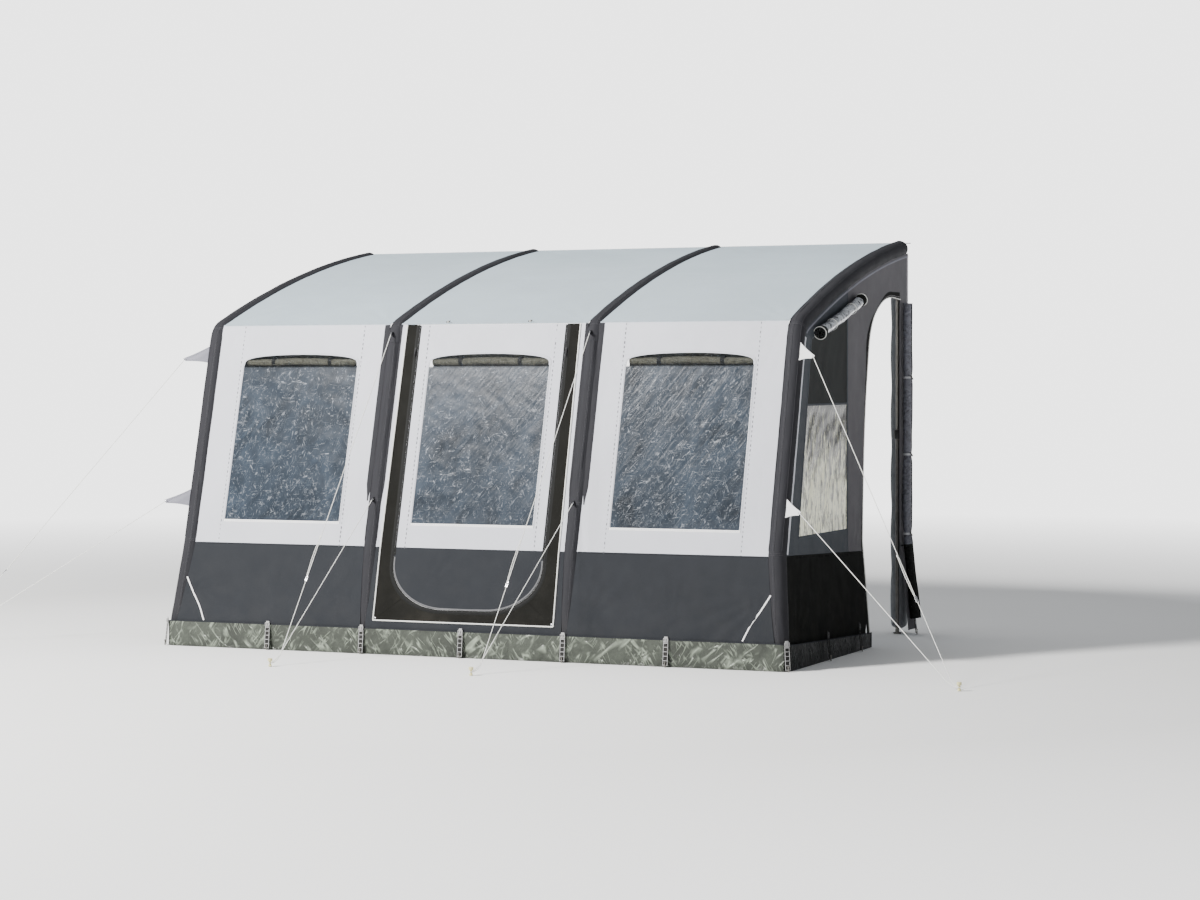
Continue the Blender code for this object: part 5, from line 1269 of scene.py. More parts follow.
class AWNING_OT_air_beams(bpy.types.Operator):
    """Makes the four inflated beams in their sleeves, with caps, seams and guy gussets"""

    bl_idname = "awning.air_beams"
    bl_label = "Air Beams"

    def execute(self, context):
        shop = Workshop(context)
        for number in (1, 2, 3, 4):
            self.sleeve(shop, number)
            self.trim(shop, number)
            for upper in (True, False):
                self.gusset(shop, number, upper)
        self.valve(shop)
        return {"FINISHED"}

    def frame(self, number, step):
        """Points, directions and lengths along a beam's centre line."""
        s = np.arange(0.0, BEAMS.runs[-1], step)
        s = np.append(s, BEAMS.runs[-1])
        y, z, ny, nz = BEAMS.at(s)
        x = np.array([beam_x(number, h) for h in z])
        along = unit(np.stack([np.gradient(x, s), nz, -ny], axis=1))
        out = np.stack([np.zeros_like(y), ny, nz], axis=1)
        side = unit(np.cross(out, along))
        side *= np.sign(side[:, :1])
        return s, np.stack([x, y, z], axis=1), out, side

    def radius(self, shop, number, turn, s, z):
        """The sleeve's radius, with its creases at the eave and the foot."""
        ripple = shop.sizes.sleeve_ripple
        u = turn * BEAM_RADIUS
        bend = BEAMS.at_height(1.86)
        long_folds = ripples(u, s * 0.35, 11 * number, 0.02, 0.09, 10, 0.0, 0.7)
        at_bend = np.exp(-(((s - bend) / 0.11) ** 2))
        pinch = np.cos(s * 2 * math.pi / 0.031 + 1.3 * np.sin(u * 40)) * (0.35 - 0.65 * np.cos(turn))
        at_foot = smooth_step(z, 0.42, 0.1)
        gathers = np.cos(turn * 9 + 2.0 * np.sin(s * 9 + number)) * 0.9
        edge = np.minimum(s, BEAMS.runs[-1] - s)
        dome = np.sqrt(np.clip(1 - (1 - np.clip(edge / 0.022, 0, 1)) ** 2, 0.02, 1.0))
        flat = 1.0 - 0.025 * np.maximum(np.cos(turn), 0.0) ** 6
        height = ripple * (0.8 * long_folds + 1.9 * at_bend * pinch + 1.6 * at_foot * gathers)
        return ((BEAM_RADIUS - 0.0012) * flat + height) * dome

    def sleeve(self, shop, number):
        sides = 40
        s, line, out, side = self.frame(number, 0.0115)
        turns = turns_round(sides)
        turn_grid, s_grid = np.meshgrid(turns, s)
        z_grid = np.repeat(line[:, 2:3], sides, 1)
        radius = self.radius(shop, number, turn_grid.ravel(), s_grid.ravel(), z_grid.ravel())
        radius = radius.reshape(turn_grid.shape)[:, :, None]
        points = line[:, None] + radius * (
            out[:, None] * np.cos(turns)[None, :, None] + side[:, None] * np.sin(turns)[None, :, None]
        )
        flat = np.stack([turn_grid * BEAM_RADIUS, s_grid], axis=2).reshape(-1, 2)
        shape = Shape()
        shape.add(points.reshape(-1, 3), tube_faces(len(s), sides), flat)
        name = f"beam_sleeve_{number}"
        shape.piece(name, shop.finish("sleeve"), "awning", [f"air_beam_{number}"], 60.0)

    def line_on(self, shop, number, turn, low, high, lift):
        """A line along the sleeve at one angle round it: points and normals."""
        s, line, out, side = self.frame(number, 0.02)
        kept = (s >= low) & (s <= high)
        normals = out * math.cos(turn) + side * math.sin(turn)
        flat = np.full_like(s, turn)
        radius = self.radius(shop, number, flat, s, line[:, 2]) + lift
        return (line + normals * radius[:, None])[kept], normals[kept]

    def trim(self, shop, number):
        """Lengthwise seam, flanges beside the cloth, cross seams and the cap at the eave."""
        shape = Shape()
        seams = []
        top = BEAMS.runs[-1] - 0.03
        foot = BEAMS.at_height(MUD_TOP + 0.01)
        eave = BEAMS.at_height(1.845)
        lean = 0.36 if number in (2, 3) else (0.25 if number == 1 else -0.15)
        path, normals = self.line_on(shop, number, lean, foot, top, 0.0)
        shape.sweep(path, normals, tape_section(0.011, 0.0012))
        for shift in (-0.075, 0.075):
            line, _ = self.line_on(shop, number, lean + shift, foot, top, 0.0014)
            seams.append(line)
        for turn in (-0.84, 0.84):
            path, normals = self.line_on(shop, number, turn, BEAMS.at_height(0.62), top, -0.0005)
            shape.sweep(path, normals, round_section(0.0024, 6, 0.0012))
        for place, reach in ((eave, 1.5), (BEAMS.at_height(0.86 if number in (2, 3) else 0.608), 1.25)):
            ring, normals, along = self.ring(shop, number, place, reach)
            shape.sweep(ring, normals, tape_section(0.016, 0.0013))
            seams += [ring + normals * 0.0014 + along * shift for shift in (0.005, -0.005)]
        if number in (2, 3):
            self.cap(shop, number, eave)
            self.flanges(shop, number)
        shape.piece(f"sleeve_seams_{number}", shop.finish("sleeve"), "awning")
        sizes = shop.sizes
        along_lines(
            f"sleeve_stitches_{number}",
            seams,
            shop.finish("seam_thread"),
            "awning",
            Spacing=sizes.stitch_spacing * 0.6,
            Length=sizes.stitch_length * 0.55,
            Width=0.0011,
            Height=0.0008,
            Facing=(0.0, -1.0, 0.3),
        )

    def flanges(self, shop, number):
        """The sleeve's flat edges, sewn to the front cloth on both sides of a middle beam."""
        shape = Shape()
        for sign in (-1.0, 1.0):
            by_door = sign == (1.0 if number == 2 else -1.0)
            out, width = (0.001, 0.018) if by_door else (0.0125, 0.034)
            across = beam_x(number, 1.5) + sign * (float(beside_beam(1.5)) + out)
            line = up_cloth([(across, FLANGE_FOOT_Z), (across, EAVE_Z - 0.002)])
            path, normals = on_surface(front_surface, line, 0.012, 0.0002)
            widths = 0.25 + 0.75 * smooth_step(path[:, 2], FLANGE_FOOT_Z, 0.98)
            shape.sweep(path, normals, tape_section(width, 0.0016), widths=widths)
        shape.piece(f"sleeve_flanges_{number}", shop.finish("sleeve"), "awning")

    def arc(self, shop, number, station, turns):
        """Points and normals round the sleeve at one station along it."""
        s, centre, out, side = station
        normals = out * np.cos(turns)[:, None] + side * np.sin(turns)[:, None]
        radius = self.radius(shop, number, turns, np.full_like(turns, s), np.full_like(turns, centre[2]))
        return centre + normals * radius[:, None], normals

    def ring(self, shop, number, place, reach):
        """A line round the front of the sleeve at one length along it."""
        s, line, out, side = self.frame(number, 0.02)
        i = int(np.argmin(np.abs(s - place)))
        points, normals = self.arc(shop, number, (s[i], line[i], out[i], side[i]), np.linspace(-reach, reach, 25))
        along = np.cross(side[i], out[i])
        return points, normals, along / np.linalg.norm(along)

    def cap(self, shop, number, eave):
        """The patch of cloth sewn over a middle beam just below the eave."""
        s, line, out, side = self.frame(number, 0.009)
        kept = np.where((s > eave - 0.085) & (s < eave + 0.004))[0]
        turns = np.linspace(-0.95, 0.95, 26)
        points = []
        flat = []
        for lift in (0.0026, 0.0008):
            for i in kept:
                row, normals = self.arc(shop, number, (s[i], line[i], out[i], side[i]), turns)
                points.append(row + normals * lift)
                flat.append(np.stack([turns * BEAM_RADIUS, np.full_like(turns, s[i])], axis=1))
        shape = Shape()
        shape.add(np.concatenate(points), grid_faces(len(kept), len(turns)), np.concatenate(flat))
        shape.piece(f"eave_cap_{number}", shop.finish("sleeve"), "awning", (), 60.0)

    def gusset(self, shop, number, upper):
        """A sewn triangle of cloth that spreads a guy line's pull over the sleeve, with its ring."""
        root, tip, half, square = TABS[(number, upper)]
        root, tip, square = Vector(root), Vector(tip), Vector(square)
        rise = Vector(BEAM_RISE)
        base = (root - rise * half, root + rise * half)
        end = (tip - square, tip + square)
        normal = rise.cross(tip - root).normalized()
        outer = number in (1, 4)

        def at(u, v):
            point = base[0].lerp(base[1], v).lerp(end[0].lerp(end[1], v), u)
            dip = 0.1 if outer else 0.03
            hollow = dip * math.sin(math.pi * u) * (v - 0.5) * (half * 2)
            return point - rise * hollow * 1.1

        steps = 14
        shape = Shape()
        points = []
        flat = []
        for lift in (0.0011, -0.0011):
            for i in range(steps + 1):
                for j in range(steps + 1):
                    u, v = i / steps, j / steps
                    wave = 0.0012 * math.sin(u * 9 + v * 5 + number) * math.sin(math.pi * v)
                    point = at(u, v) + normal * (lift + wave)
                    points.append(tuple(point))
                    flat.append((u * 0.2, v * half * 2))
        shape.add(points, grid_faces(steps + 1, steps + 1), flat)
        for v in (0.0, 1.0):
            path = [tuple(at(u, v)) for u in np.linspace(0.05, 1.0, 16)]
            shape.sweep(path, np.array(normal), bar_section(0.0035, -0.0018, 0.0018))
        kind = "upper" if upper else "lower"
        # The left guy line's gussets take the darkened copy, painted shade
        finish = {1: "gusset_grey", 4: "gusset"}.get(number, "sleeve")
        shape.piece(f"gusset_{number}_{kind}", shop.finish(finish), "awning")
        ring = Shape()
        pull = (Vector(RUNNERS[number][0]) - tip).normalized()
        side = pull.cross(normal).normalized()
        path = ring_line(tip - pull * 0.004, pull * 0.0062, side * 0.0062, 25)
        ring.sweep(path, np.array(normal), cord_section(0.0013))
        ring.piece(f"gusset_ring_{number}_{kind}", shop.finish("bright_metal"), "awning")

    def valve(self, shop):
        """The inflation valve's boss on the right beam, and its ribbed cap."""
        face = Vector((1.805897, -1.11623, 0.36))
        shape = Shape()
        profile = [
            (0.0, -0.012), (0.0165, -0.012), (0.0165, 0.0042), (0.0158, 0.0052), (0.0143, 0.0056),
            (0.0138, 0.0078), (0.0, 0.0078),
        ]
        shape.turned(profile, face + Vector((0.0083, 0.0, 0.0)), (-1, 0, 0), 32)
        shape.piece("valve_seat", shop.finish("black_plastic"), "awning")
        cap = Shape()
        profile = [
            (0.0, 0.0002), (0.0155, 0.0002), (0.0163, 0.001), (0.0163, 0.0108), (0.0155, 0.0132),
            (0.0125, 0.0139), (0.006, 0.0138), (0.0052, 0.0132), (0.0, 0.0131),
        ]
        cap.turned(profile, face, (-1, 0, 0), 32)
        for turn in turns_round(18):
            place = face + Vector((-0.0062, 0.0163 * math.cos(turn), 0.0163 * math.sin(turn)))
            matrix = Matrix.Rotation(turn, 3, "X")
            cap.block((0.0084, 0.0016, 0.0017), place, matrix, 0.0004)
        cap.piece("valve_cap_ribbed", shop.finish("black_plastic"), "inflation_cap", ["valve_cap"])


class AWNING_OT_roof(bpy.types.Operator):
    """Makes the three roof panels with their hems at the eave and the rail"""

    bl_idname = "awning.roof"
    bl_label = "Roof"

    def execute(self, context):
        shop = Workshop(context)
        sizes = shop.sizes
        first = float(CLOTH.at_height(EAVE_Z))
        last = float(np.interp(ROOF_END_Y, CLOTH.line[:, 0], CLOTH.runs))
        edge = float(beside_beam(EAVE_Z))
        bays = {
            "left": (-OUTER_BEAM_X + edge, -MIDDLE_BEAM_X - edge),
            "centre": (-MIDDLE_BEAM_X + edge, MIDDLE_BEAM_X - edge),
            "right": (MIDDLE_BEAM_X + edge, OUTER_BEAM_X - edge),
        }
        hems = Shape()
        stitches = []
        for seed, (bay, (x1, x2)) in enumerate(bays.items(), 1):

            def relief(u, v, x1=x1, x2=x2, seed=seed):
                across = (u - x1) / (x2 - x1)
                up = (v - first) / (last - first)
                sag = -sizes.roof_sag * np.sin(math.pi * across) * np.sin(math.pi * np.clip(up, 0, 1)) ** 0.6
                soft = 0.0011 * ripples(u, v, 20 + seed, 0.2, 0.9)
                pulls = sum(
                    0.0028 * fan(u, v, at, towards, 0.3, 17, seed)
                    for at, towards in zip(((x1, first), (x2, first), (x1, last), (x2, last)), (0.9, 2.2, -0.8, -2.3))
                )
                packed = first + (last - first) * (0.42 + 0.02 * seed)
                fold = -0.0016 * np.exp(-(((v - packed) / 0.008) ** 2))
                middle = (x1 + x2) / 2 + 0.03 * seed
                fold += -0.0011 * np.exp(-(((u - middle) / 0.008) ** 2))
                return sag + soft + pulls + fold

            shape = Shape()
            outline = [(x1, first), (x2, first), (x2, last), (x1, last)]
            shape.cloth(outline, [], sizes.cloth_step, front_surface, relief, sizes.cloth_thickness)
            name = f"roof_cloth_{bay}"
            panel = shape.piece(name, shop.finish("roof"), "awning", [f"roof_panel_{bay}"], 60.0)
            for s, width in ((first + 0.006, 0.012), (last - 0.012, 0.02)):
                path, normals = on_surface(front_surface, [(x1, s), (x2, s)], 0.02)
                wobble = 0.0005 * np.sin(np.arange(len(path)) * 1.7 + seed)
                hems.sweep(path + normals * wobble[:, None], normals, tape_section(width, 0.0014))
                for shift in (-0.004, 0.004):
                    line, _ = on_surface(front_surface, [(x1, s + shift), (x2, s + shift)], 0.05, 0.0017)
                    stitches.append(line)
        hems.piece("roof_hems", shop.finish("roof"), "awning")
        stitched(shop, "roof_stitches", stitches, "awning", 0.0009, (0.0, -0.5, 0.85))
        return {"FINISHED"}


def window_outline(centre, inset):
    """A front window's edge: square sill, arched head."""
    steps = 28
    half = WINDOW_HALF - inset
    points = [(centre - half, WINDOW_SILL + inset), (centre + half, WINDOW_SILL + inset)]
    for i in range(steps + 1):
        turn = math.pi * i / steps
        rise = (ARCH_RISE - inset) * math.sqrt(max(math.sin(turn), 0.0))
        points.append((centre + half * math.cos(turn), WINDOW_SHOULDER + rise))
    return points


def leaf_edge(inset, steps=16):
    """Left half of the door leaf's rounded lower edge, from the side to the sill."""
    half = LEAF_HALF - inset
    points = []
    for i in range(steps + 1):
        turn = math.pi / 2 * i / steps
        x = half - LEAF_CORNER[0] * (1 - math.cos(turn))
        z = LEAF_SILL + inset + LEAF_CORNER[1] * (1 - math.sin(turn))
        points.append((-x, z))
    return points


def set_back(surface, depth):
    """A surface parallel to another and behind it."""

    def behind(u, v):
        points, normals = surface(u, v)
        return points - normals * depth, normals

    return behind


def piping_x(z):
    share = (z - PIPING_FOOT_Z) / (LEAF_TOP_Z - PIPING_FOOT_Z)
    return PIPING_FOOT_X + (PIPING_TOP_X - PIPING_FOOT_X) * share


def wall_relief(shop, seed, pulls, strength=1.0):
    """Soft upright folds and the pull creases of one front wall."""
    ripple = shop.sizes.wall_ripple * strength

    def relief(u, v):
        total = 0.55 * ripples(u, v, seed, 0.16, 0.7, 12, 0.0, 1.6)
        total = total + 0.25 * ripples(u, v, seed + 50, 0.05, 0.2, 12, 0.5, 1.2, 0.5)
        for at, towards, reach, height in pulls:
            total = total + height * fan(u, v, at, towards, reach, 23, seed)
        return ripple * total

    return relief


def upright_seam(x, top):
    """A seam up the front from where the charcoal cloth ends to just below the top."""
    return on_surface(front_surface, up_cloth([(x, SEAM_Z), (x, top - 0.01)]), 0.05, 0.0006)[0]


class AWNING_OT_front_walls(bpy.types.Operator):
    """Makes the front walls beside the door, pale above the seam and charcoal below"""

    bl_idname = "awning.front_walls"
    bl_label = "Front Walls"

    def execute(self, context):
        shop = Workshop(context)
        sizes = shop.sizes
        heights = np.linspace(SEAM_Z, EAVE_Z, 8)
        low_heights = np.append(np.linspace(0.05, 0.6, 12), SEAM_Z)
        hems = Shape()
        stitches = []
        for side, sign in SIDES:
            outline = self.between_beams(sign, heights)
            window = up_cloth(window_outline(sign * WINDOW_X, 0.0))
            s_eave, s_seam = (float(CLOTH.at_height(z)) for z in (EAVE_Z, SEAM_Z))
            xo, xi = sign * 1.8, sign * 0.672
            pulls = (
                ((xo, s_eave), -math.pi / 2 - sign * 0.6, 0.25, 1.3),
                ((xi, s_eave), -math.pi / 2 + sign * 0.6, 0.25, 1.1),
                ((xo, s_seam), math.pi / 2 + sign * 0.7, 0.22, 1.5),
                ((sign * (WINDOW_X - WINDOW_HALF), s_seam + 0.14), math.pi / 2 + sign * 2.3, 0.12, 1.2),
                ((sign * (WINDOW_X + WINDOW_HALF), s_seam + 0.14), math.pi / 2 - sign * 2.3, 0.12, 1.2),
            )
            shape = Shape()
            relief = wall_relief(shop, 30 + int(sign), pulls)
            shape.cloth(outline, [window], sizes.cloth_step, front_surface, relief, sizes.cloth_thickness)
            name = f"front_cloth_{side}_upper"
            node = f"front_wall_{side}_upper"
            wall = shape.piece(name, shop.finish("pale"), "awning", [node], 60.0)
            outline = self.between_beams(sign, low_heights)
            pulls = (
                ((sign * 1.83, 0.42), math.pi / 2 + sign * 2.2, 0.3, 2.2),
                ((xi, s_seam), -math.pi / 2 + sign * 0.5, 0.2, 1.2),
                ((sign * 0.7, 0.16), math.pi / 2 - sign * 0.6, 0.2, 1.6),
                ((sign * 1.25, 0.16), math.pi / 2, 0.16, 1.8),
            )
            shape = Shape()
            relief = wall_relief(shop, 40 + int(sign), pulls, 1.15)
            shape.cloth(outline, [], sizes.cloth_step, tucked(front_surface), relief, sizes.cloth_thickness)
            name = f"front_cloth_{side}_lower"
            node = f"front_wall_{side}_lower"
            wall = shape.piece(name, shop.finish("charcoal"), "awning", [node], 60.0)
            stitches += [upright_seam(sign * x, EAVE_Z) for x in (WINDOW_X - 0.405, WINDOW_X + 0.405)]
            hem = up_cloth([(sign * x, SEAM_Z - 0.002) for x in (0.675, 1.8)])
            hems.laid(front_surface, hem, 0.02, tape_section(0.008, 0.0012))
            strap = Shape()
            line = smooth_line(np.array([(1.834, 0.404), (1.782, 0.318), (1.728, 0.236), (1.69, 0.156)]), 0.012)
            line = up_cloth([(sign * x, z) for x, z in line])
            strap.laid(front_surface, line, 0.012, tape_section(0.009, 0.0018))
            strap.piece(f"corner_strap_{side}", shop.finish("white"), "awning")
        hems.piece("seam_hems", shop.finish("charcoal"), "awning")
        dashed_seam(shop, "wall_stitches", stitches, "awning")
        return {"FINISHED"}

    def between_beams(self, sign, heights):
        """The edge of one wall between its outer and its middle beam."""
        outer = [(sign * (OUTER_BEAM_X + spread(z) - beside_beam(z)), z) for z in heights]
        inner = [(sign * (MIDDLE_BEAM_X + beside_beam(z)), z) for z in heights]
        return up_cloth(outer + inner[::-1])


class AWNING_OT_windows(bpy.types.Operator):
    """Makes the three front windows with their hems, rolled blinds and straps"""

    bl_idname = "awning.windows"
    bl_label = "Front Windows"

    def execute(self, context):
        shop = Workshop(context)
        places = (("left", -WINDOW_X, "awning"), ("centre", 0.0, "front_door"), ("right", WINDOW_X, "awning"))
        for seed, (bay, centre, body) in enumerate(places, 1):
            self.pane(shop, bay, centre, body, seed)
            self.hem(shop, bay, centre, body)
            self.blind(shop, bay, centre, body, seed)
        return {"FINISHED"}

    def pane(self, shop, bay, centre, body, seed):
        top = float(CLOTH.at_height(WINDOW_SHOULDER))

        def relief(u, v):
            creased = ripples(u, v, 60 + seed, 0.035, 0.16, 16, 0.6, 2.6, 0.8)
            broad = ripples(u, v, 70 + seed, 0.2, 0.6, 8)
            calm = smooth_step(v, top, top - 0.1)
            return calm * (0.0006 * (creased + 1.0) + 0.0004 * (broad + 1.0)) - 0.0011

        shape = Shape()
        outline = up_cloth(window_outline(centre, 0.0006))
        shape.cloth(outline, [], 0.0135, front_surface, relief, 0.0008)
        name = f"window_sheet_{bay}"
        sheet = shape.piece(name, shop.finish("pane"), body, [f"window_front_{bay}"], 60.0)

    def hem(self, shop, bay, centre, body):
        """The turned edge round the opening: wide over the arch, narrow at the sides, white at the sill."""
        edge = up_cloth(window_outline(centre, -0.006))
        sill = [edge[0], edge[1]]
        head = edge[2:]
        left, right = [edge[0], head[-1]], [edge[1], head[0]]
        shape = Shape()
        shape.laid(front_surface, head, 0.02, tape_section(0.017, 0.0022))
        for line in (left, right):
            shape.laid(front_surface, line, 0.03, tape_section(0.011, 0.0014))
        shape.laid(front_surface, sill, 0.03, tape_section(0.014, 0.0018), 1)
        finishes = [shop.finish("pale"), shop.finish("white")]
        shape.piece(f"window_hem_{bay}", finishes, body)
        seam = [on_surface(front_surface, line, 0.03, 0.0022)[0] for line in (head, left, right, sill)]
        stitched(shop, f"window_stitches_{bay}", seam, body, 0.0008)

    def blind(self, shop, bay, centre, body, seed):
        """The blind rolled up behind the window's head, its strip and its two straps."""
        s = float(CLOTH.at_height(WINDOW_SHOULDER + 0.03))
        x = np.linspace(centre - 0.37, centre + 0.37, 46)
        points, normals = front_surface(x, np.full_like(x, s))
        droop = 0.003 * np.cos((x - centre) / 0.37 * math.pi / 2 * 3)
        middle = points - normals * BLIND_DEPTH + np.stack([0 * x, 0.25 * droop, 0.968 * droop], axis=1)
        shape = Shape()
        wound(shape, middle, normals, 0.0258, 4.3, 0.0011, 80 + seed, 0.05)
        shape.piece(f"blind_wound_{bay}", shop.finish("blind"), body, [f"blind_roll_{bay}"], 50.0)
        strip = Shape()
        corners = ((-0.388, 1.626), (0.388, 1.626), (0.388, 1.742), (-0.388, 1.742))
        outline = up_cloth([(centre + x, z) for x, z in corners])

        def relief(u, v):
            return 0.001 * ripples(u, v, 90 + seed, 0.05, 0.2)

        strip.cloth(outline, [], 0.02, set_back(front_surface, 0.059), relief, 0.001)
        strip.piece(f"blind_strip_{bay}", shop.finish("blind"), body)
        straps = Shape()
        for side in (-0.19, 0.19):
            point, normal = front_surface(np.array([centre + side]), np.array([s]))
            middle = Vector(point[0] - normal[0] * BLIND_DEPTH)
            out = Vector(normal[0])
            up = Vector((1.0, 0.0, 0.0)).cross(out)
            radius = 0.0269 + 0.0006 * np.cos(np.linspace(0.0, 2 * math.pi, 41) * 3)
            around = ring_line((0.0, 0.0, 0.0), out, up, 41)
            straps.sweep(np.array(middle) + around * radius[:, None], around, bar_section(0.012, -0.0004, 0.0007))
        straps.piece(f"blind_straps_{bay}", shop.finish("dark_tape"), body)


def wound(shape, path, normals, radius, turns, film, seed, unevenness, part=0, scale=None):
    """A sheet wound into a roll along a path: a spiral section whose turns lie on each other."""
    path = np.asarray(path, float)
    normals = np.broadcast_to(np.asarray(normals, float), path.shape)
    across, up = side_and_up(path, normals)
    runs = lengths_along(path)
    count = int(turns * 18)
    theta = np.linspace(0.0, 2 * math.pi * turns, count)
    core = radius * 0.2
    spiral = core + (radius - film / 2 - core) * theta / theta[-1]
    section_turn = np.concatenate([theta, theta[::-1]])
    section_radius = np.concatenate([spiral + film / 2, (spiral - film / 2)[::-1]])
    rng = np.random.default_rng(seed)
    wave = np.zeros((len(path), len(section_turn)))
    for k, length in ((2, 0.5), (3, 0.23), (4, 0.11), (5, 0.07)):
        shift, drift = rng.random(2) * 2 * math.pi
        wave += np.cos(k * section_turn[None] + shift + 1.5 * np.sin(runs[:, None] / length + drift)) / k
    wave *= unevenness
    if scale is not None:
        wave += np.asarray(scale, float)[:, None] - 1.0
    rings = section_radius[None] * (1.0 + wave)
    points = path[:, None] + rings[:, :, None] * (
        across[:, None] * np.cos(section_turn)[None, :, None] + up[:, None] * np.sin(section_turn)[None, :, None]
    )
    size = len(section_turn)
    faces = [face[::-1] for face in tube_faces(len(path), size, False)]
    for row, flip in ((0, False), (len(path) - 1, True)):
        start = row * size
        for j in range(count - 1):
            face = (start + j, start + j + 1, start + size - 2 - j, start + size - 1 - j)
            faces.append(face[::-1] if flip else face)
    reach = np.concatenate([[0.0], np.cumsum(np.abs(np.diff(section_turn)) * section_radius[1:])])
    flat = np.stack([np.repeat(reach[None], len(path), 0), np.repeat(runs[:, None], size, 1)], axis=2)
    shape.add(points.reshape(-1, 3), faces, flat.reshape(-1, 2), part)


def mirrored(points):
    return [(-x, z) for x, z in points[::-1]]


def tucked(surface):
    """A surface whose foot steps back behind the mud wall."""

    def stepped(u, v):
        points, normals = surface(u, v)
        return points - normals * (0.009 * smooth_step(points[:, 2], MUD_TOP, 0.1))[:, None], normals

    return stepped


def on_front(x, s):
    """The point and the outward direction on the front at one width and length up the cloth."""
    points, normals = front_surface(np.array([x]), np.array([float(s)]))
    return Vector(points[0]), Vector(normals[0])


def toggle_profile(end, shoulder, waist):
    """One toggle from its middle to both ends, as radius and height pairs."""
    half = [(waist, 0.0), (0.0044, 0.003), (0.0042, shoulder), (0.003, end - 0.0005), (0.0, end)]
    return [(r, -h) for r, h in half[:0:-1]] + half


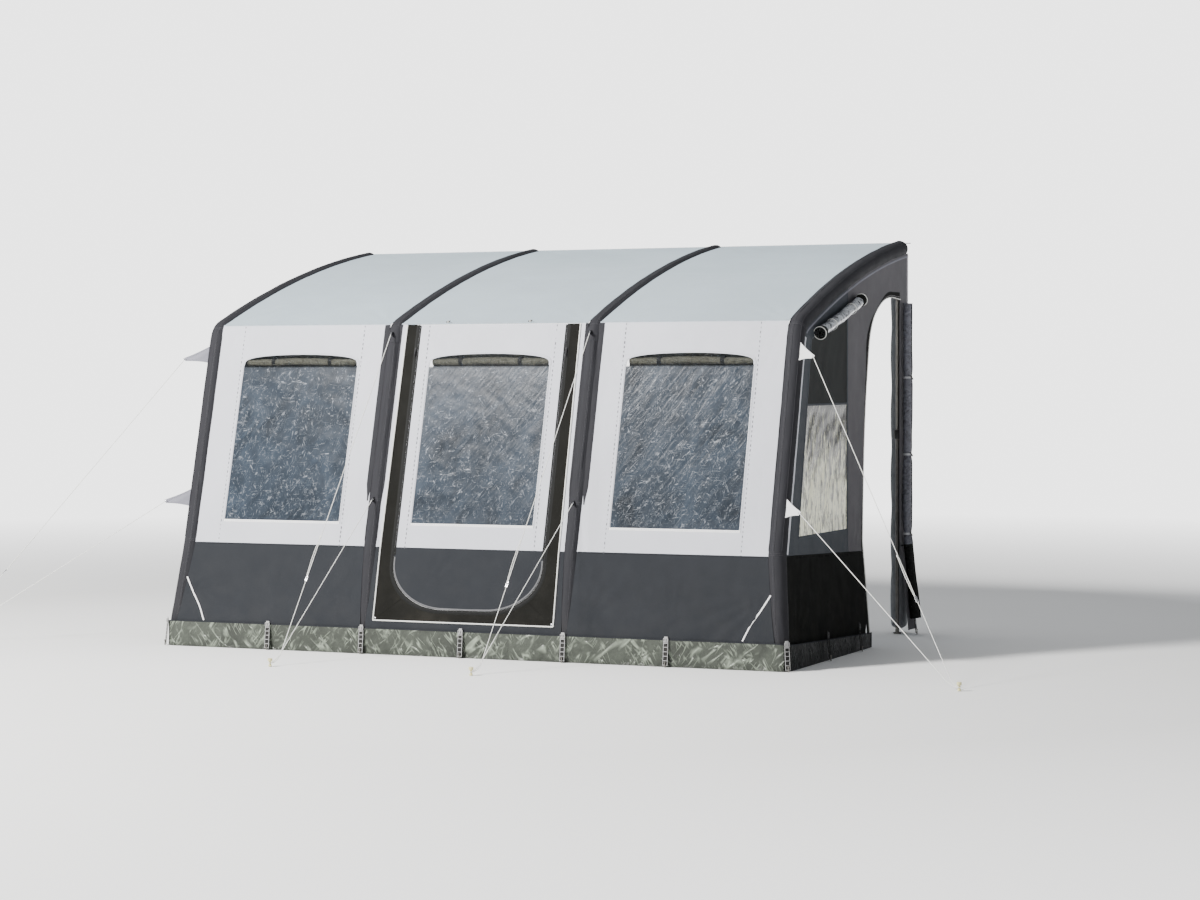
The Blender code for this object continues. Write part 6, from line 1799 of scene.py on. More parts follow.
class AWNING_OT_door(bpy.types.Operator):
    """Makes the door's surround, its lift-up leaf, the two zips with sliders, the piping and the eave toggles"""

    bl_idname = "awning.door"
    bl_label = "Front Door"

    def execute(self, context):
        shop = Workshop(context)
        self.surround(shop)
        self.leaf(shop)
        self.zips(shop)
        self.trim(shop)
        for number, x in enumerate((-0.295, 0.23), 1):
            self.toggle(shop, f"eave_toggle_{number}", x)
        return {"FINISHED"}

    def surround(self, shop):
        """Pale and charcoal strips beside the beams, and the dark band the leaf is zipped to."""
        step = shop.sizes.cloth_step
        thick = shop.sizes.cloth_thickness
        surface = tucked(front_surface)
        relief = wall_relief(shop, 55, (), 0.7)
        shape = Shape()
        heights = [0.05, 0.2, 0.35, 0.5, SEAM_Z]
        beam = [(-MIDDLE_BEAM_X + beside_beam(z), z) for z in heights]
        foot, seam, head = ((-piping_x(z), z) for z in (PIPING_FOOT_Z, SEAM_Z, LEAF_TOP_Z))
        low = [*beam[::-1], *[(-x, z) for x, z in beam], (-seam[0], seam[1]), (-foot[0], foot[1]), foot, seam]
        shape.cloth(up_cloth(low), [], step, surface, relief, thick, 1)
        for sign in (-1.0, 1.0):
            heights = np.linspace(SEAM_Z, EAVE_Z - 0.0005, 6)
            strip = [(sign * (MIDDLE_BEAM_X - beside_beam(z)), z) for z in heights]
            strip += [(sign * piping_x(z), z) for z in heights[::-1]]
            shape.cloth(up_cloth(strip), [], step, surface, relief, thick, 0)
        gap = 0.0012
        side = [(-LEAF_HALF - gap, LEAF_TOP_Z)] + leaf_edge(-gap)
        band = [head, foot, (-foot[0], foot[1]), (-head[0], head[1])]
        band += [(-x, z) for x, z in side] + side[::-1]
        shape.cloth(up_cloth(band), [], step * 0.8, surface, relief, thick, 2)
        finishes = [shop.finish(name) for name in ("pale", "charcoal", "band")]
        made = shape.piece("door_surround_cloth", finishes, "awning", ["door_surround"], 60.0)

    def leaf(self, shop):
        """The leaf that lifts about its top edge: pale above the seam, charcoal below."""
        sizes = shop.sizes
        half = LEAF_HALF
        outline = up_cloth([(-half, SEAM_Z), (half, SEAM_Z), (half, LEAF_TOP_Z), (-half, LEAF_TOP_Z)])
        window = up_cloth(window_outline(0.0, 0.0))
        top = float(CLOTH.at_height(LEAF_TOP_Z))
        pulls = (((-half, top), -0.7, 0.2, 1.2), ((half, top), -2.4, 0.2, 1.2), ((0.0, top), -math.pi / 2, 0.1, 0.8))
        shape = Shape()
        relief = wall_relief(shop, 57, pulls)
        shape.cloth(outline, [window], sizes.cloth_step, front_surface, relief, sizes.cloth_thickness)
        finish, node = shop.finish("pale"), "door_leaf_upper"
        upper = shape.piece("leaf_cloth_upper", finish, "front_door", [node], 60.0)
        edge = [(-half, SEAM_Z)] + leaf_edge(0.0, 20)
        shape = Shape()
        pulls = (((-0.3, 0.33), 0.8, 0.2, 1.6), ((0.3, 0.33), 2.3, 0.2, 1.6))
        relief = wall_relief(shop, 58, pulls, 1.1)
        outline = up_cloth(edge + mirrored(edge))
        shape.cloth(outline, [], sizes.cloth_step, front_surface, relief, sizes.cloth_thickness)
        finish, node = shop.finish("charcoal"), "door_leaf_lower"
        lower = shape.piece("leaf_cloth_lower", finish, "front_door", [node], 60.0)
        seams = [upright_seam(x, LEAF_TOP_Z) for x in (-0.407, 0.407)]
        dashed_seam(shop, "leaf_stitches", seams, "front_door")

    def zip_line(self, inset):
        """The line of the zip round the leaf."""
        heights = np.arange(LEAF_TOP_Z - 0.006, 0.53, -0.03)
        side = [(-LEAF_HALF + inset, z) for z in heights] + leaf_edge(inset, 24)
        return smooth_line(up_cloth(side + mirrored(side)), 0.012)

    def zips(self, shop):
        tapes = Shape()
        zip_line = self.zip_line(-0.012)
        tapes.laid(front_surface, zip_line, 0.012, tape_section(0.022, 0.001))
        tapes.piece("zip_tapes", shop.finish("dark_tape"), "awning")
        edge = Shape()
        path, normals = on_surface(front_surface, self.zip_line(0.005), 0.012)
        low = path[:, 2] < 0.56
        for kept, part in ((low, 0), (~low & (path[:, 0] < 0), 1), (~low & (path[:, 0] > 0), 1)):
            edge.sweep(path[kept], normals[kept], tape_section(0.009, 0.001), part)
        edge.piece("leaf_edge_tape", [shop.finish("edge_tape"), shop.finish("dark_tape")], "front_door")
        path, _ = on_surface(front_surface, zip_line, 0.012, 0.0016)
        along_lines(
            "zip_teeth_row",
            [path],
            shop.finish("zip_teeth"),
            "awning",
            sides=4,
            Spacing=shop.sizes.tooth_spacing,
            Length=0.0028,
            Width=0.0052,
            Height=0.0018,
            Facing=FACING_FRONT,
        )
        for side, sign in SIDES:
            self.slider(shop, side, sign)

    def slider(self, shop, side, sign):
        """A zip slider straddling the teeth, with its pull tab hanging down the band."""
        place, out = on_front(sign * SLIDER_X, CLOTH.at_height(SLIDER_Z))
        across = Vector((1.0, 0.0, 0.0))
        up = out.cross(across)
        turn = Matrix((across, up, out)).transposed()
        shape = Shape()
        shape.block((0.0115, 0.03, 0.0016), place + out * 0.0048, turn, 0.0006)
        for shift in (-0.0048, 0.0048):
            shape.block((0.0013, 0.027, 0.0036), place + out * 0.0028 + across * shift, turn, 0.0003)
        shape.block((0.004, 0.012, 0.0022), place + out * 0.0066 + up * 0.002, turn, 0.0007)
        finish, body = shop.finish("dark_metal"), f"{side}_zip"
        shape.piece(f"zip_slider_body_{side}", finish, body, [f"zip_slider_{side}"])
        pull = Shape()
        pull.block((0.0072, 0.034, 0.0013), place + out * 0.0082 - up * 0.019, turn, 0.0005)
        ring = ring_line(place + out * 0.0082 - up * 0.0385, across * 0.0042, up * 0.0042, 17)
        pull.sweep(ring, np.array(out), round_section(0.0008, 6, 0.0008))
        pull.piece(f"zip_pull_{side}", finish, body)

    def trim(self, shop):
        """White piping with square lower corners and their eyelets, and the band's slanting corner seams."""
        radius = shop.sizes.piping_radius
        shape = Shape()
        foot = (PIPING_FOOT_X, PIPING_FOOT_Z)
        runs = [[(sign * PIPING_TOP_X, LEAF_TOP_Z - 0.002), (sign * foot[0], foot[1])] for sign in (-1.0, 1.0)]
        for line in (*runs, [(-foot[0], foot[1]), foot]):
            shape.laid(front_surface, up_cloth(line), 0.015, round_section(radius, 10, radius * 0.35))
        shape.piece("door_piping", shop.finish("piping"), "awning")
        seams = Shape()
        eyelets = Shape()
        for sign in (-1.0, 1.0):
            line = up_cloth([(sign * foot[0], foot[1]), (sign * 0.401, 0.318)])
            seams.laid(front_surface, line, 0.015, tape_section(0.004, 0.0008))
            profile = [
                (0.0035, 0.0004), (0.0035, 0.0016), (0.0048, 0.0024), (0.0072, 0.0016), (0.0076, 0.0002),
                (0.0035, 0.0004),
            ]
            eyelets.turned(profile, *on_front(sign * 0.556, CLOTH.at_height(0.203)), 24)
        seams.piece("band_corner_seams", shop.finish("band"), "awning")
        eyelets.piece("door_eyelets", shop.finish("bright_metal"), "awning")

    def toggle(self, shop, name, x):
        """A small toggle on a looped tape at the eave, for tying up the rolled leaf."""
        place, out = on_front(x, CLOTH.at_height(EAVE_Z) + 0.012)
        bar = Shape()
        axis = (Vector((1.0, 0.0, 0.0)) + out * 0.25).normalized()
        bar.turned(toggle_profile(0.014, 0.011, 0.0028), place + out * 0.0095, axis, 14)
        bar.piece(name, shop.finish("black_plastic"), "awning")
        loop = Shape()
        down = axis.cross(out).normalized()
        path = ring_line(place + out * 0.0068, out * -0.0062, down * 0.0058, 21)
        loop.sweep(path, np.array(axis), bar_section(0.0008, -0.002, 0.002))
        loop.piece(f"{name}_loop", shop.finish("piping"), "awning")


SIDE_SEAM = ((-1.107, 0.609), (0.371, 0.552), (1.195, 0.543))
SIDE_ZONE_Y = 0.024
MESH_FOOT_Z = 1.425
DOOR_PIPING = (
    (0.262, 0.05), (0.396, 1.677), (0.432, 1.82), (0.491, 1.914), (0.588, 1.986), (0.686, 2.03), (0.824, 2.055),
    (0.985, 2.049), (1.03, 2.047),
)


def side_seam(y):
    return float(np.interp(y, [p[0] for p in SIDE_SEAM], [p[1] for p in SIDE_SEAM]))


def side_edge(inset):
    """The side walls' edge along the beam, moved towards the wall's middle."""
    line = softened(np.array(SIDE_EDGE), 0.03, 0.03)
    along = unit(np.gradient(line, axis=0))
    return line + np.stack([along[:, 1], -along[:, 0]], axis=1) * inset


def doorway_line():
    """The doorway's edge in the wall, up its front side and over its head."""
    head = smooth_line(np.array([(0.362, 1.68), *DOORWAY[1:5], (0.9, 2.0895)]), 0.03)
    return [DOORWAY[0]] + [tuple(p) for p in head] + [DOORWAY[5]]


class AWNING_OT_side_walls(bpy.types.Operator):
    """Makes both side walls with their windows, edgings and open doorways"""

    bl_idname = "awning.side_walls"
    bl_label = "Side Walls"

    def execute(self, context):
        shop = Workshop(context)
        for side, sign in SIDES:
            self.upper(shop, side, sign)
            self.lower(shop, side, sign)
            self.window(shop, side, sign)
            self.doorway(shop, side, sign)
            self.edging(shop, side, sign)
        return {"FINISHED"}

    def upper(self, shop, side, sign):
        edge = [tuple(p) for p in side_edge(-0.006)]
        surface = side_surface(sign)
        step = shop.sizes.cloth_step
        thick = shop.sizes.cloth_thickness
        start = next(i for i, p in enumerate(edge) if p[1] > side_seam(p[0]))
        split = next(i for i, p in enumerate(edge) if p[0] > SIDE_ZONE_Y)
        near = np.array(edge[split - 2 : split + 2])
        top = float(np.interp(SIDE_ZONE_Y, near[:, 0], near[:, 1]))
        corner = (edge[start][0] - 0.002, side_seam(edge[start][0]))
        zone = [(SIDE_ZONE_Y, side_seam(SIDE_ZONE_Y)), (SIDE_ZONE_Y, top)]
        front = [corner] + edge[start:split] + zone[::-1]
        rear = zone + edge[split:] + [(1.195, 0.03), (DOORWAY[6][0], 0.03)] + doorway_line()[:0:-1]
        rear.append((DOORWAY_SEAM_Y, side_seam(DOORWAY_SEAM_Y)))

        def relief(u, v):
            drops = ripples(u, v, 61, 0.03, 0.12, 14, 0.0, 0.3)
            near_seam = smooth_step(v, 0.95, 0.62)
            total = 0.5 * ripples(u, v, 62, 0.15, 0.6, 12) + 0.3 * ripples(u, v, 63, 0.05, 0.16, 12, 0.6, 2.4, 0.4)
            total += 0.5 * drops * near_seam + 1.1 * fan(u, v, (-0.74, 1.78), -0.4, 0.25, 19, 3)
            total += 0.9 * fan(u, v, (0.36, 1.8), 2.6, 0.2, 17, 5) + 0.9 * fan(u, v, (1.0, 2.25), -2.2, 0.3, 19, 8)
            return shop.sizes.wall_ripple * total

        shape = Shape()
        shape.cloth(front, [list(SIDE_WINDOW)], step, surface, relief, thick, 0)
        shape.cloth(rear, [], step, surface, relief, thick, 1)
        finishes = [shop.finish("side_front"), shop.finish("side_rear")]
        name, node = f"side_cloth_{side}_upper", f"side_wall_{side}_upper"
        made = shape.piece(name, finishes, "awning", [node], 60.0)

    def lower(self, shop, side, sign):
        edge = [tuple(p) for p in side_edge(-0.006)]
        below = [(edge[0][0], 0.05)] + [p for p in edge if 0.06 < p[1] < side_seam(p[0])]
        corner = (below[-1][0] + 0.003, side_seam(below[-1][0]))
        outline = below + [corner, (DOORWAY_SEAM_Y, side_seam(DOORWAY_SEAM_Y)), (0.224, 0.05)]

        def relief(u, v):
            total = 0.8 * ripples(u, v, 66, 0.1, 0.5, 12, 0.0, 1.2)
            total += 0.35 * ripples(u, v, 67, 0.03, 0.1, 12, 0.1, 0.5)
            total += 1.3 * fan(u, v, (-1.0, 0.1), 0.9, 0.25, 17, 2) + 1.2 * fan(u, v, (0.2, 0.1), 2.2, 0.2, 15, 4)
            return shop.sizes.wall_ripple * total

        shape = Shape()
        sizes = shop.sizes
        shape.cloth(outline, [], sizes.cloth_step, tucked(side_surface(sign)), relief, sizes.cloth_thickness)
        name = f"side_cloth_{side}_lower"
        made = shape.piece(name, shop.finish("black"), "awning", [f"side_wall_{side}_lower"], 60.0)

    def window(self, shop, side, sign):
        """Insect mesh above and crinkled clear sheet below, with the hems round them."""
        (y1, z1), (y2, _), (_, z3), (y4, z4) = SIDE_WINDOW
        cut = MESH_FOOT_Z
        lean = y1 + (y4 - y1) * (cut - z1) / (z4 - z1)
        small = 0.0006
        clear = [(y1 + small, z1 + small), (y2 - small, z1 + small), (y2 - small, cut), (lean + small, cut)]
        mesh = [(lean + small, cut), (y2 - small, cut), (y2 - small, z3 - small), (y4 + small, z4 - small)]
        surface = side_surface(sign)

        def crinkled(u, v):
            streaks = ripples(u, v, 71, 0.012, 0.05, 18, 0.12, 0.5, 0.6)
            return 0.0014 * streaks + 0.002 * ripples(u, v, 72, 0.1, 0.4, 8) - 0.0016

        def slack(u, v):
            return 0.0016 * ripples(u, v, 73, 0.03, 0.2, 14, 0.0, 0.4) - 0.0016

        recessed = set_back(surface, 0.001)
        shape = Shape()
        shape.cloth(clear, [], 0.0125, recessed, crinkled, 0.0008, 0)
        shape.cloth(mesh, [], 0.02, recessed, slack, 0.0006, 1)
        finishes = [shop.finish("side_pane"), shop.finish("fly")]
        name, node = f"side_window_sheet_{side}", f"side_window_{side}"
        made = shape.piece(name, finishes, "awning", [node], 60.0)
        hem = Shape()
        for a, b in zip(SIDE_WINDOW, SIDE_WINDOW[1:] + SIDE_WINDOW[:1]):
            hem.laid(surface, [a, b], 0.03, tape_section(0.014, 0.0015))
        hem.laid(surface, [(lean, cut), (y2, cut)], 0.03, tape_section(0.012, 0.0012))
        zone = [(SIDE_ZONE_Y, side_seam(SIDE_ZONE_Y)), (SIDE_ZONE_Y, 2.09)]
        hem.laid(surface, zone, 0.04, tape_section(0.006, 0.0012))
        hem.piece(f"side_window_hem_{side}", shop.finish("side_front"), "awning")

    def doorway(self, shop, side, sign):
        """The doorway's black zip band and the white piping along it."""
        surface = side_surface(sign)
        inner = [tuple(p) for p in smooth_line(np.array(DOOR_PIPING), 0.035)]
        outer = doorway_line()
        outer[0] = (0.2245, 0.05)
        outline = outer + [(outer[-1][0], 2.0472)] + inner[::-1]
        shape = Shape()
        relief = wall_relief(shop, 64, (), 0.4)
        shape.cloth(outline, [], 0.02, surface, relief, shop.sizes.cloth_thickness)
        shape.piece(f"doorway_band_{side}", shop.finish("black"), "awning", (), 60.0)
        trim = Shape()
        radius = shop.sizes.piping_radius
        trim.laid(surface, inner, 0.02, round_section(radius * 0.8, 8, radius * 0.3))
        trim.piece(f"doorway_piping_{side}", shop.finish("piping"), "awning")
        middle = self.even(outer) * 0.35 + self.even(inner) * 0.65
        path, _ = on_surface(surface, middle, 0.02, 0.0008)
        along_lines(
            f"doorway_teeth_{side}",
            [path],
            shop.finish("black_plastic"),
            "awning",
            sides=4,
            Spacing=shop.sizes.tooth_spacing * 1.2,
            Length=0.0034,
            Width=0.0055,
            Height=0.0018,
            Facing=(sign, 0.0, 0.0),
        )

    def even(self, line):
        """Eighty points placed evenly along the line."""
        points = np.array(line)
        runs = lengths_along(points)
        at = np.linspace(0, runs[-1], 80)
        return np.stack([np.interp(at, runs, points[:, i]) for i in (0, 1)], axis=1)

    def edging(self, shop, side, sign):
        """Pale strip beside the beam, the seam's tape and the light hem along the wall's rear edge."""
        surface = side_surface(sign)
        strip = side_edge(0.0115)
        kept = strip[strip[:, 1] > side_seam(-1.05)]
        path, normals = surface(kept[:, 0], kept[:, 1])
        shape = Shape()
        front = kept[:, 1] < 1.8
        widths = np.linspace(1.3, 0.7, int(front.sum()))
        shape.sweep(path[front], normals[front], tape_section(0.03, 0.001), widths=widths)
        shape.sweep(path[~front], normals[~front], tape_section(0.012, 0.001), 1)
        shape.piece(f"beam_strip_{side}", [shop.finish("pale"), shop.finish("roof_strip")], "awning")
        seam = Shape()
        for low, high in ((-1.02, 0.258), (1.03, 1.19)):
            ys = np.linspace(low, high, 30)
            path, normals = surface(ys, np.array([side_seam(y) for y in ys]))
            seam.sweep(path, normals, tape_section(0.008, 0.0012))
        seam.piece(f"side_seam_tape_{side}", shop.finish("black"), "awning")
        hem = Shape()
        hem.laid(surface, [(1.182, 0.05), (1.182, 2.318)], 0.04, tape_section(0.025, 0.0015))
        hem.piece(f"rear_hem_{side}", shop.finish("grey_tape"), "awning")


DOOR_ROLL_RADIUS = 0.0305
DOOR_TIES = (1.577, 1.097, 0.62)
FLAP_ROLL_RADIUS = 0.0335
FLAP_WRAP_RADIUS = 0.0342


class AWNING_OT_rolls(bpy.types.Operator):
    """Makes the rolled storm flaps over the side windows and the side doors rolled beside their doorways"""

    bl_idname = "awning.rolls"
    bl_label = "Rolled Flaps And Doors"

    def execute(self, context):
        shop = Workshop(context)
        for side, sign in SIDES:
            self.flap(shop, side, sign)
            self.door(shop, side, sign)
        return {"FINISHED"}

    def flap(self, shop, side, sign):
        ends = np.array([(-0.566, 1.8233), (0.17, 2.0235)])
        shares = np.linspace(0.0, 1.0, 44)
        line = ends[0] + (ends[1] - ends[0]) * shares[:, None]
        droop = -0.006 * np.sin(math.pi * shares) + 0.0015 * np.sin(shares * 21)
        x = sign * (1.9133 + 0.0008 * np.sin(shares * 17))
        path = np.stack([x, line[:, 0], line[:, 1] + droop], axis=1)
        pinch = 0.965 + 0.025 * np.cos((shares - 0.5) * 13.0) + 0.015 * np.sin(shares * 33)
        shape = Shape()
        wound(shape, path, (sign, 0.0, 0.0), FLAP_ROLL_RADIUS, 4.6, 0.0013, 91, 0.035, 0, pinch)
        name = f"flap_wound_{side}"
        shape.piece(name, shop.finish("flap_roll"), "awning", [f"flap_roll_{side}"], 45.0)
        ends_shape = Shape()
        rims = Shape()
        straps = Shape()
        for first, last in ((0.0, 0.05), (0.92, 1.0)):
            kept = (shares >= first - 0.012) & (shares <= last + 0.012)
            wrap = path[kept]
            radius = FLAP_WRAP_RADIUS * float(pinch[kept].mean()) + 0.0006
            ends_shape.sweep(wrap, (sign, 0.0, 0.0), cord_section(radius, 20))
            tip = wrap[0] if first == 0 else wrap[-1]
            self.hoop(rims, tip, path, sign, radius + 0.0006, 0.0026, 1.15)
        ends_shape.piece(f"flap_ends_{side}", shop.finish("black"), "awning")
        rims.piece(f"flap_rims_{side}", shop.finish("piping"), "awning")
        for share in (0.27, 0.74):
            i = int(round(share * (len(path) - 1)))
            radius = FLAP_WRAP_RADIUS * float(pinch[i]) + 0.0004
            self.hoop(straps, path[i], path, sign, radius, 0.0052, 0.22)
        straps.piece(f"flap_straps_{side}", shop.finish("piping"), "awning")

    def hoop(self, shape, place, path, sign, radius, half, share):
        """A band round a roll, from half its width and its thickness as a share of that."""
        along = Vector(path[-1] - path[0]).normalized()
        out = Vector((sign, 0.0, 0.0))
        up = along.cross(out).normalized()
        out = up.cross(along).normalized()
        around = ring_line((0.0, 0.0, 0.0), out, up, 33)
        section = tape_section(half * 2, max(half * share, 0.0009), 0.0006, 0.6, 0.6)
        shape.sweep(np.array(place) + around * radius, around, section)

    def door(self, shop, side, sign):
        heights = np.linspace(0.1, 2.0243, 120)
        wander = 0.0026 * np.sin(heights * 5.1 + 1.0) + 0.0014 * np.sin(heights * 13.0)
        x = sign * (WALL_X + spread(heights) + 0.0325)
        path = np.stack([x, 1.08 + wander, heights], axis=1)
        scale = 0.97 + 0.035 * np.sin(heights * 9.0) + 0.02 * np.sin(heights * 23.0 + 2.0)
        for tie in DOOR_TIES:
            scale -= 0.17 * np.exp(-(((heights - tie) / 0.03) ** 2))
        scale += 0.1 * smooth_step(heights, 0.35, 0.12)
        shape = Shape()
        cut = int(np.argmin(np.abs(heights - 0.555)))
        for part, kept in enumerate((slice(cut, None), slice(0, cut + 1))):
            wound(shape, path[kept], (sign, 0.0, 0.0), DOOR_ROLL_RADIUS, 4.2, 0.0016, 95, 0.07, part, scale[kept])
        finishes = [shop.finish("door_roll"), shop.finish("door_roll_black")]
        shape.piece(f"door_wound_{side}", finishes, "awning", [f"rolled_door_{side}"], 45.0)
        trims = Shape()
        bars = Shape()
        for tie in DOOR_TIES:
            i = int(np.argmin(np.abs(heights - tie)))
            radius = DOOR_ROLL_RADIUS * float(scale[i]) + 0.0012
            self.hoop(trims, path[i], path, sign, radius, 0.006, 0.2)
            place = Vector(path[i]) + Vector((sign * (radius + 0.004), -0.012, 0.0))
            bars.turned(toggle_profile(0.016, 0.012, 0.003), place, (0.25, 0.6, -0.75), 12)
        trims.piece(f"door_ties_{side}", shop.finish("grey_tape"), "awning")
        bars.piece(f"door_toggles_{side}", shop.finish("black_plastic"), "awning")


MUD_CORNER = ((1.8985, -1.1537), 0.0563)
MUD_REAR = (1.9548, 0.24)
FRONT_LADDERS = (-1.25, -0.633, 0.0, 0.633, 1.25)
LADDER_PLACES = ((-1.93695, -1.19215), *[(x, -1.21) for x in FRONT_LADDERS], (1.93695, -1.19215))
SIDE_LADDERS = (-0.58, -0.02, 1.11)


def mud_line():
    """The mud wall's outer face seen from above, evenly spaced, with its length at each point."""
    (cx, cy), radius = MUD_CORNER
    right = [(0.0, cy - radius), (cx, cy - radius)]
    right += [(cx + radius * math.sin(t), cy - radius * math.cos(t)) for t in np.linspace(0.1, math.pi / 2, 12)]
    right.append(MUD_REAR)
    line = even_line(np.array([(-x, y) for x, y in right[:0:-1]] + right), 0.006)
    return line, lengths_along(line)


class AWNING_OT_mud_wall(bpy.types.Operator):
    """Makes the wrinkled mud wall round the foot and the peg-down ladders along it"""

    bl_idname = "awning.mud_wall"
    bl_label = "Mud Wall And Ladders"

    def execute(self, context):
        shop = Workshop(context)
        self.wall(shop)
        for number, place in enumerate(LADDER_PLACES, 1):
            turn = 0.0 if abs(place[0]) < 1.5 else math.copysign(math.pi / 4, place[0])
            self.ladder(shop, f"ladder_strap_{number}", place, turn, "rubber", [f"ladder_{number}"])
        for side, sign in SIDES:
            for number, y in enumerate(SIDE_LADDERS, 1):
                x = 1.957 if y < 0.5 else 1.9395
                name = f"side_ladder_{side}_{number}"
                self.ladder(shop, name, (sign * x, y), sign * math.pi / 2, "black_rubber", ())
        return {"FINISHED"}

    def wall(self, shop):
        line, runs = mud_line()
        length = runs[-1]
        along = unit(np.gradient(line, axis=0))
        out = np.stack([along[:, 1], -along[:, 0]], axis=1)

        def surface(s, z):
            at = [np.interp(s, runs, values) for values in (line[:, 0], line[:, 1], out[:, 0], out[:, 1])]
            points = np.stack([at[0], at[1], z], axis=1)
            return points, unit(np.stack([at[2], at[3], np.zeros_like(z)], axis=1))

        middle = length / 2
        corner = 1.899 + 0.044
        fixed = [middle + x for x in (*FRONT_LADDERS, -corner, corner)]
        beams = [middle + x for x in (-1.8985, -0.633, 0.633, 1.8985)]

        def relief(u, v):
            wide = ripples(u, v, 110, 0.08, 0.36, 16, 0.25, 2.0, 0.55)
            fine = ripples(u, v, 111, 0.02, 0.08, 16, 0.7, 2.4, 0.5)
            upright = ripples(u, v, 112, 0.05, 0.2, 12, 0.0, 0.5, 0.3)
            total = 0.55 * wide + 0.22 * fine + 0.4 * upright
            for i, at in enumerate(fixed):
                total += 1.3 * fan(u, v, (at, 0.0), math.pi / 2 + 0.85, 0.16, 19, i)
                total += 1.3 * fan(u, v, (at, 0.0), math.pi / 2 - 0.85, 0.16, 19, i + 4)
            held = sum(np.exp(-(((u - at) / 0.06) ** 2)) for at in beams)
            strap = sum(np.exp(-(((u - at) / 0.03) ** 2)) for at in fixed)
            total *= np.where(total < 0, np.clip(1 - held, 0.1, 1), np.clip(1 - 0.8 * strap, 0.15, 1))
            free = smooth_step(v, 0.16, 0.06)
            return shop.sizes.mud_ripple * total * (0.25 + 0.75 * free)

        tops = [(0.0, 0.086), (middle - 1.999, 0.14), (middle - 1.9, MUD_TOP)]
        tops += [(length - s, z) for s, z in tops[::-1]]
        flat, triangles, to_edge = filled([(0.0, 0.0), (length, 0.0), *tops[::-1]], [], 0.0095)
        points, normals = surface(flat[:, 0], flat[:, 1])
        fade = smooth_step(to_edge, 0.0, 0.02) * 0.85 + 0.15 * smooth_step(flat[:, 1], 0.09, 0.0)
        height = relief(flat[:, 0], flat[:, 1]) * fade
        outer = points + normals * height[:, None]
        shape = Shape()
        front = np.abs(flat[triangles].mean(1)[:, 0] - middle) < 1.93
        faces = doubled(triangles, len(points))
        shape.add(np.concatenate([outer, outer - normals * 0.003]), faces, np.concatenate([flat, flat]))
        shape.parts = [0 if f else 1 for f in front] * 2 + [0] * (len(faces) - 2 * len(triangles))
        finishes = [shop.finish("mud"), shop.finish("mud_side")]
        made = shape.piece("mud_wall_sheet", finishes, "awning", ["mud_wall"], 60.0)
        hem = Shape()
        for a, b in zip(tops, tops[1:]):
            edge = [(s, z - 0.002) for s, z in (a, b)]
            hem.laid(surface, edge, 0.012, tape_section(0.006, 0.0012), lift=0.0004)
        hem.piece("mud_wall_hem", shop.finish("charcoal"), "awning")

    def ladder(self, shop, name, place, turn, finish, replaced):
        """A rubber ladder strap with its buckle at the top and the stake through its foot."""
        base = Matrix.Translation((place[0], place[1], 0.0)) @ Matrix.Rotation(turn, 4, "Z")
        across = Vector((1.0, 0.0, 0.0))
        foot, head = Vector((0.0, -0.021, 0.008)), Vector((0.0, -0.0043, 0.165))
        rise = (head - foot).normalized()
        turned = base.to_3x3() @ Matrix((across, rise, across.cross(rise))).transposed()
        out = across.cross(rise).normalized()
        if out.y > 0:
            out = -out

        def bar(shape, size, u, up, away, bevel):
            """A bar of the ladder, at a distance across it, up from its foot and out from its middle plane."""
            shape.block(size, base @ (foot + rise * up + across * u + out * away), turned, bevel)

        shape = Shape()
        length = (head - foot).length
        ladder_top = 0.128
        for u in (-0.0128, 0.0128):
            bar(shape, (0.0032, ladder_top, 0.004), u, ladder_top / 2, 0.0, 0.0008)
        for i in range(6):
            bar(shape, (0.024, 0.0036, 0.0036), 0.0, 0.003 + i * 0.0244, 0.0, 0.0006)
        tail = length - ladder_top
        bar(shape, (0.02, tail + 0.002, 0.0034), 0.0, ladder_top + tail / 2, 0.0, 0.0008)
        shape.piece(name, shop.finish(finish), "awning", replaced)
        # A dark strip just behind the grey ladder: painted shade that darkens the gaps between its rungs
        if finish == "rubber":
            back = Shape()
            bar(back, (0.025, ladder_top + 0.004, 0.0012), 0.0, ladder_top / 2, -0.0022, 0.0003)
            back.piece(f"{name}_back", shop.finish("black_rubber"), "awning")
        buckle = Shape()
        middle, away = 0.139, 0.0036
        for up in (0.009, -0.009):
            bar(buckle, (0.03, 0.004, 0.0042), 0.0, middle + up, away, 0.001)
        for u in (-0.0132, 0.0132):
            bar(buckle, (0.0036, 0.022, 0.0042), u, middle, away, 0.001)
        bar(buckle, (0.0036, 0.019, 0.003), 0.0, middle, away + 0.002, 0.0008)
        bar(buckle, (0.021, 0.0036, 0.0042), 0.0, 0.121, 0.0026, 0.0009)
        kind = "black_plastic" if finish == "black_rubber" else "rubber"
        buckle.piece(f"{name}_buckle", shop.finish(kind), "awning")
        stake = Shape()
        profile = [
            (0.0, 0.0), (0.0034, 0.0), (0.0036, 0.001), (0.0036, 0.0255), (0.0066, 0.0272), (0.0066, 0.0302),
            (0.0045, 0.0318), (0.0, 0.032),
        ]
        stake.turned(profile, base @ Vector((0.0, -0.0245, 0.0)), UP, 14)
        stake.block((0.0045, 0.013, 0.003), base @ Vector((0.0, -0.0205, 0.0265)), base.to_3x3(), 0.001)
        stake.piece(f"{name}_stake", shop.finish("steel"), "awning")


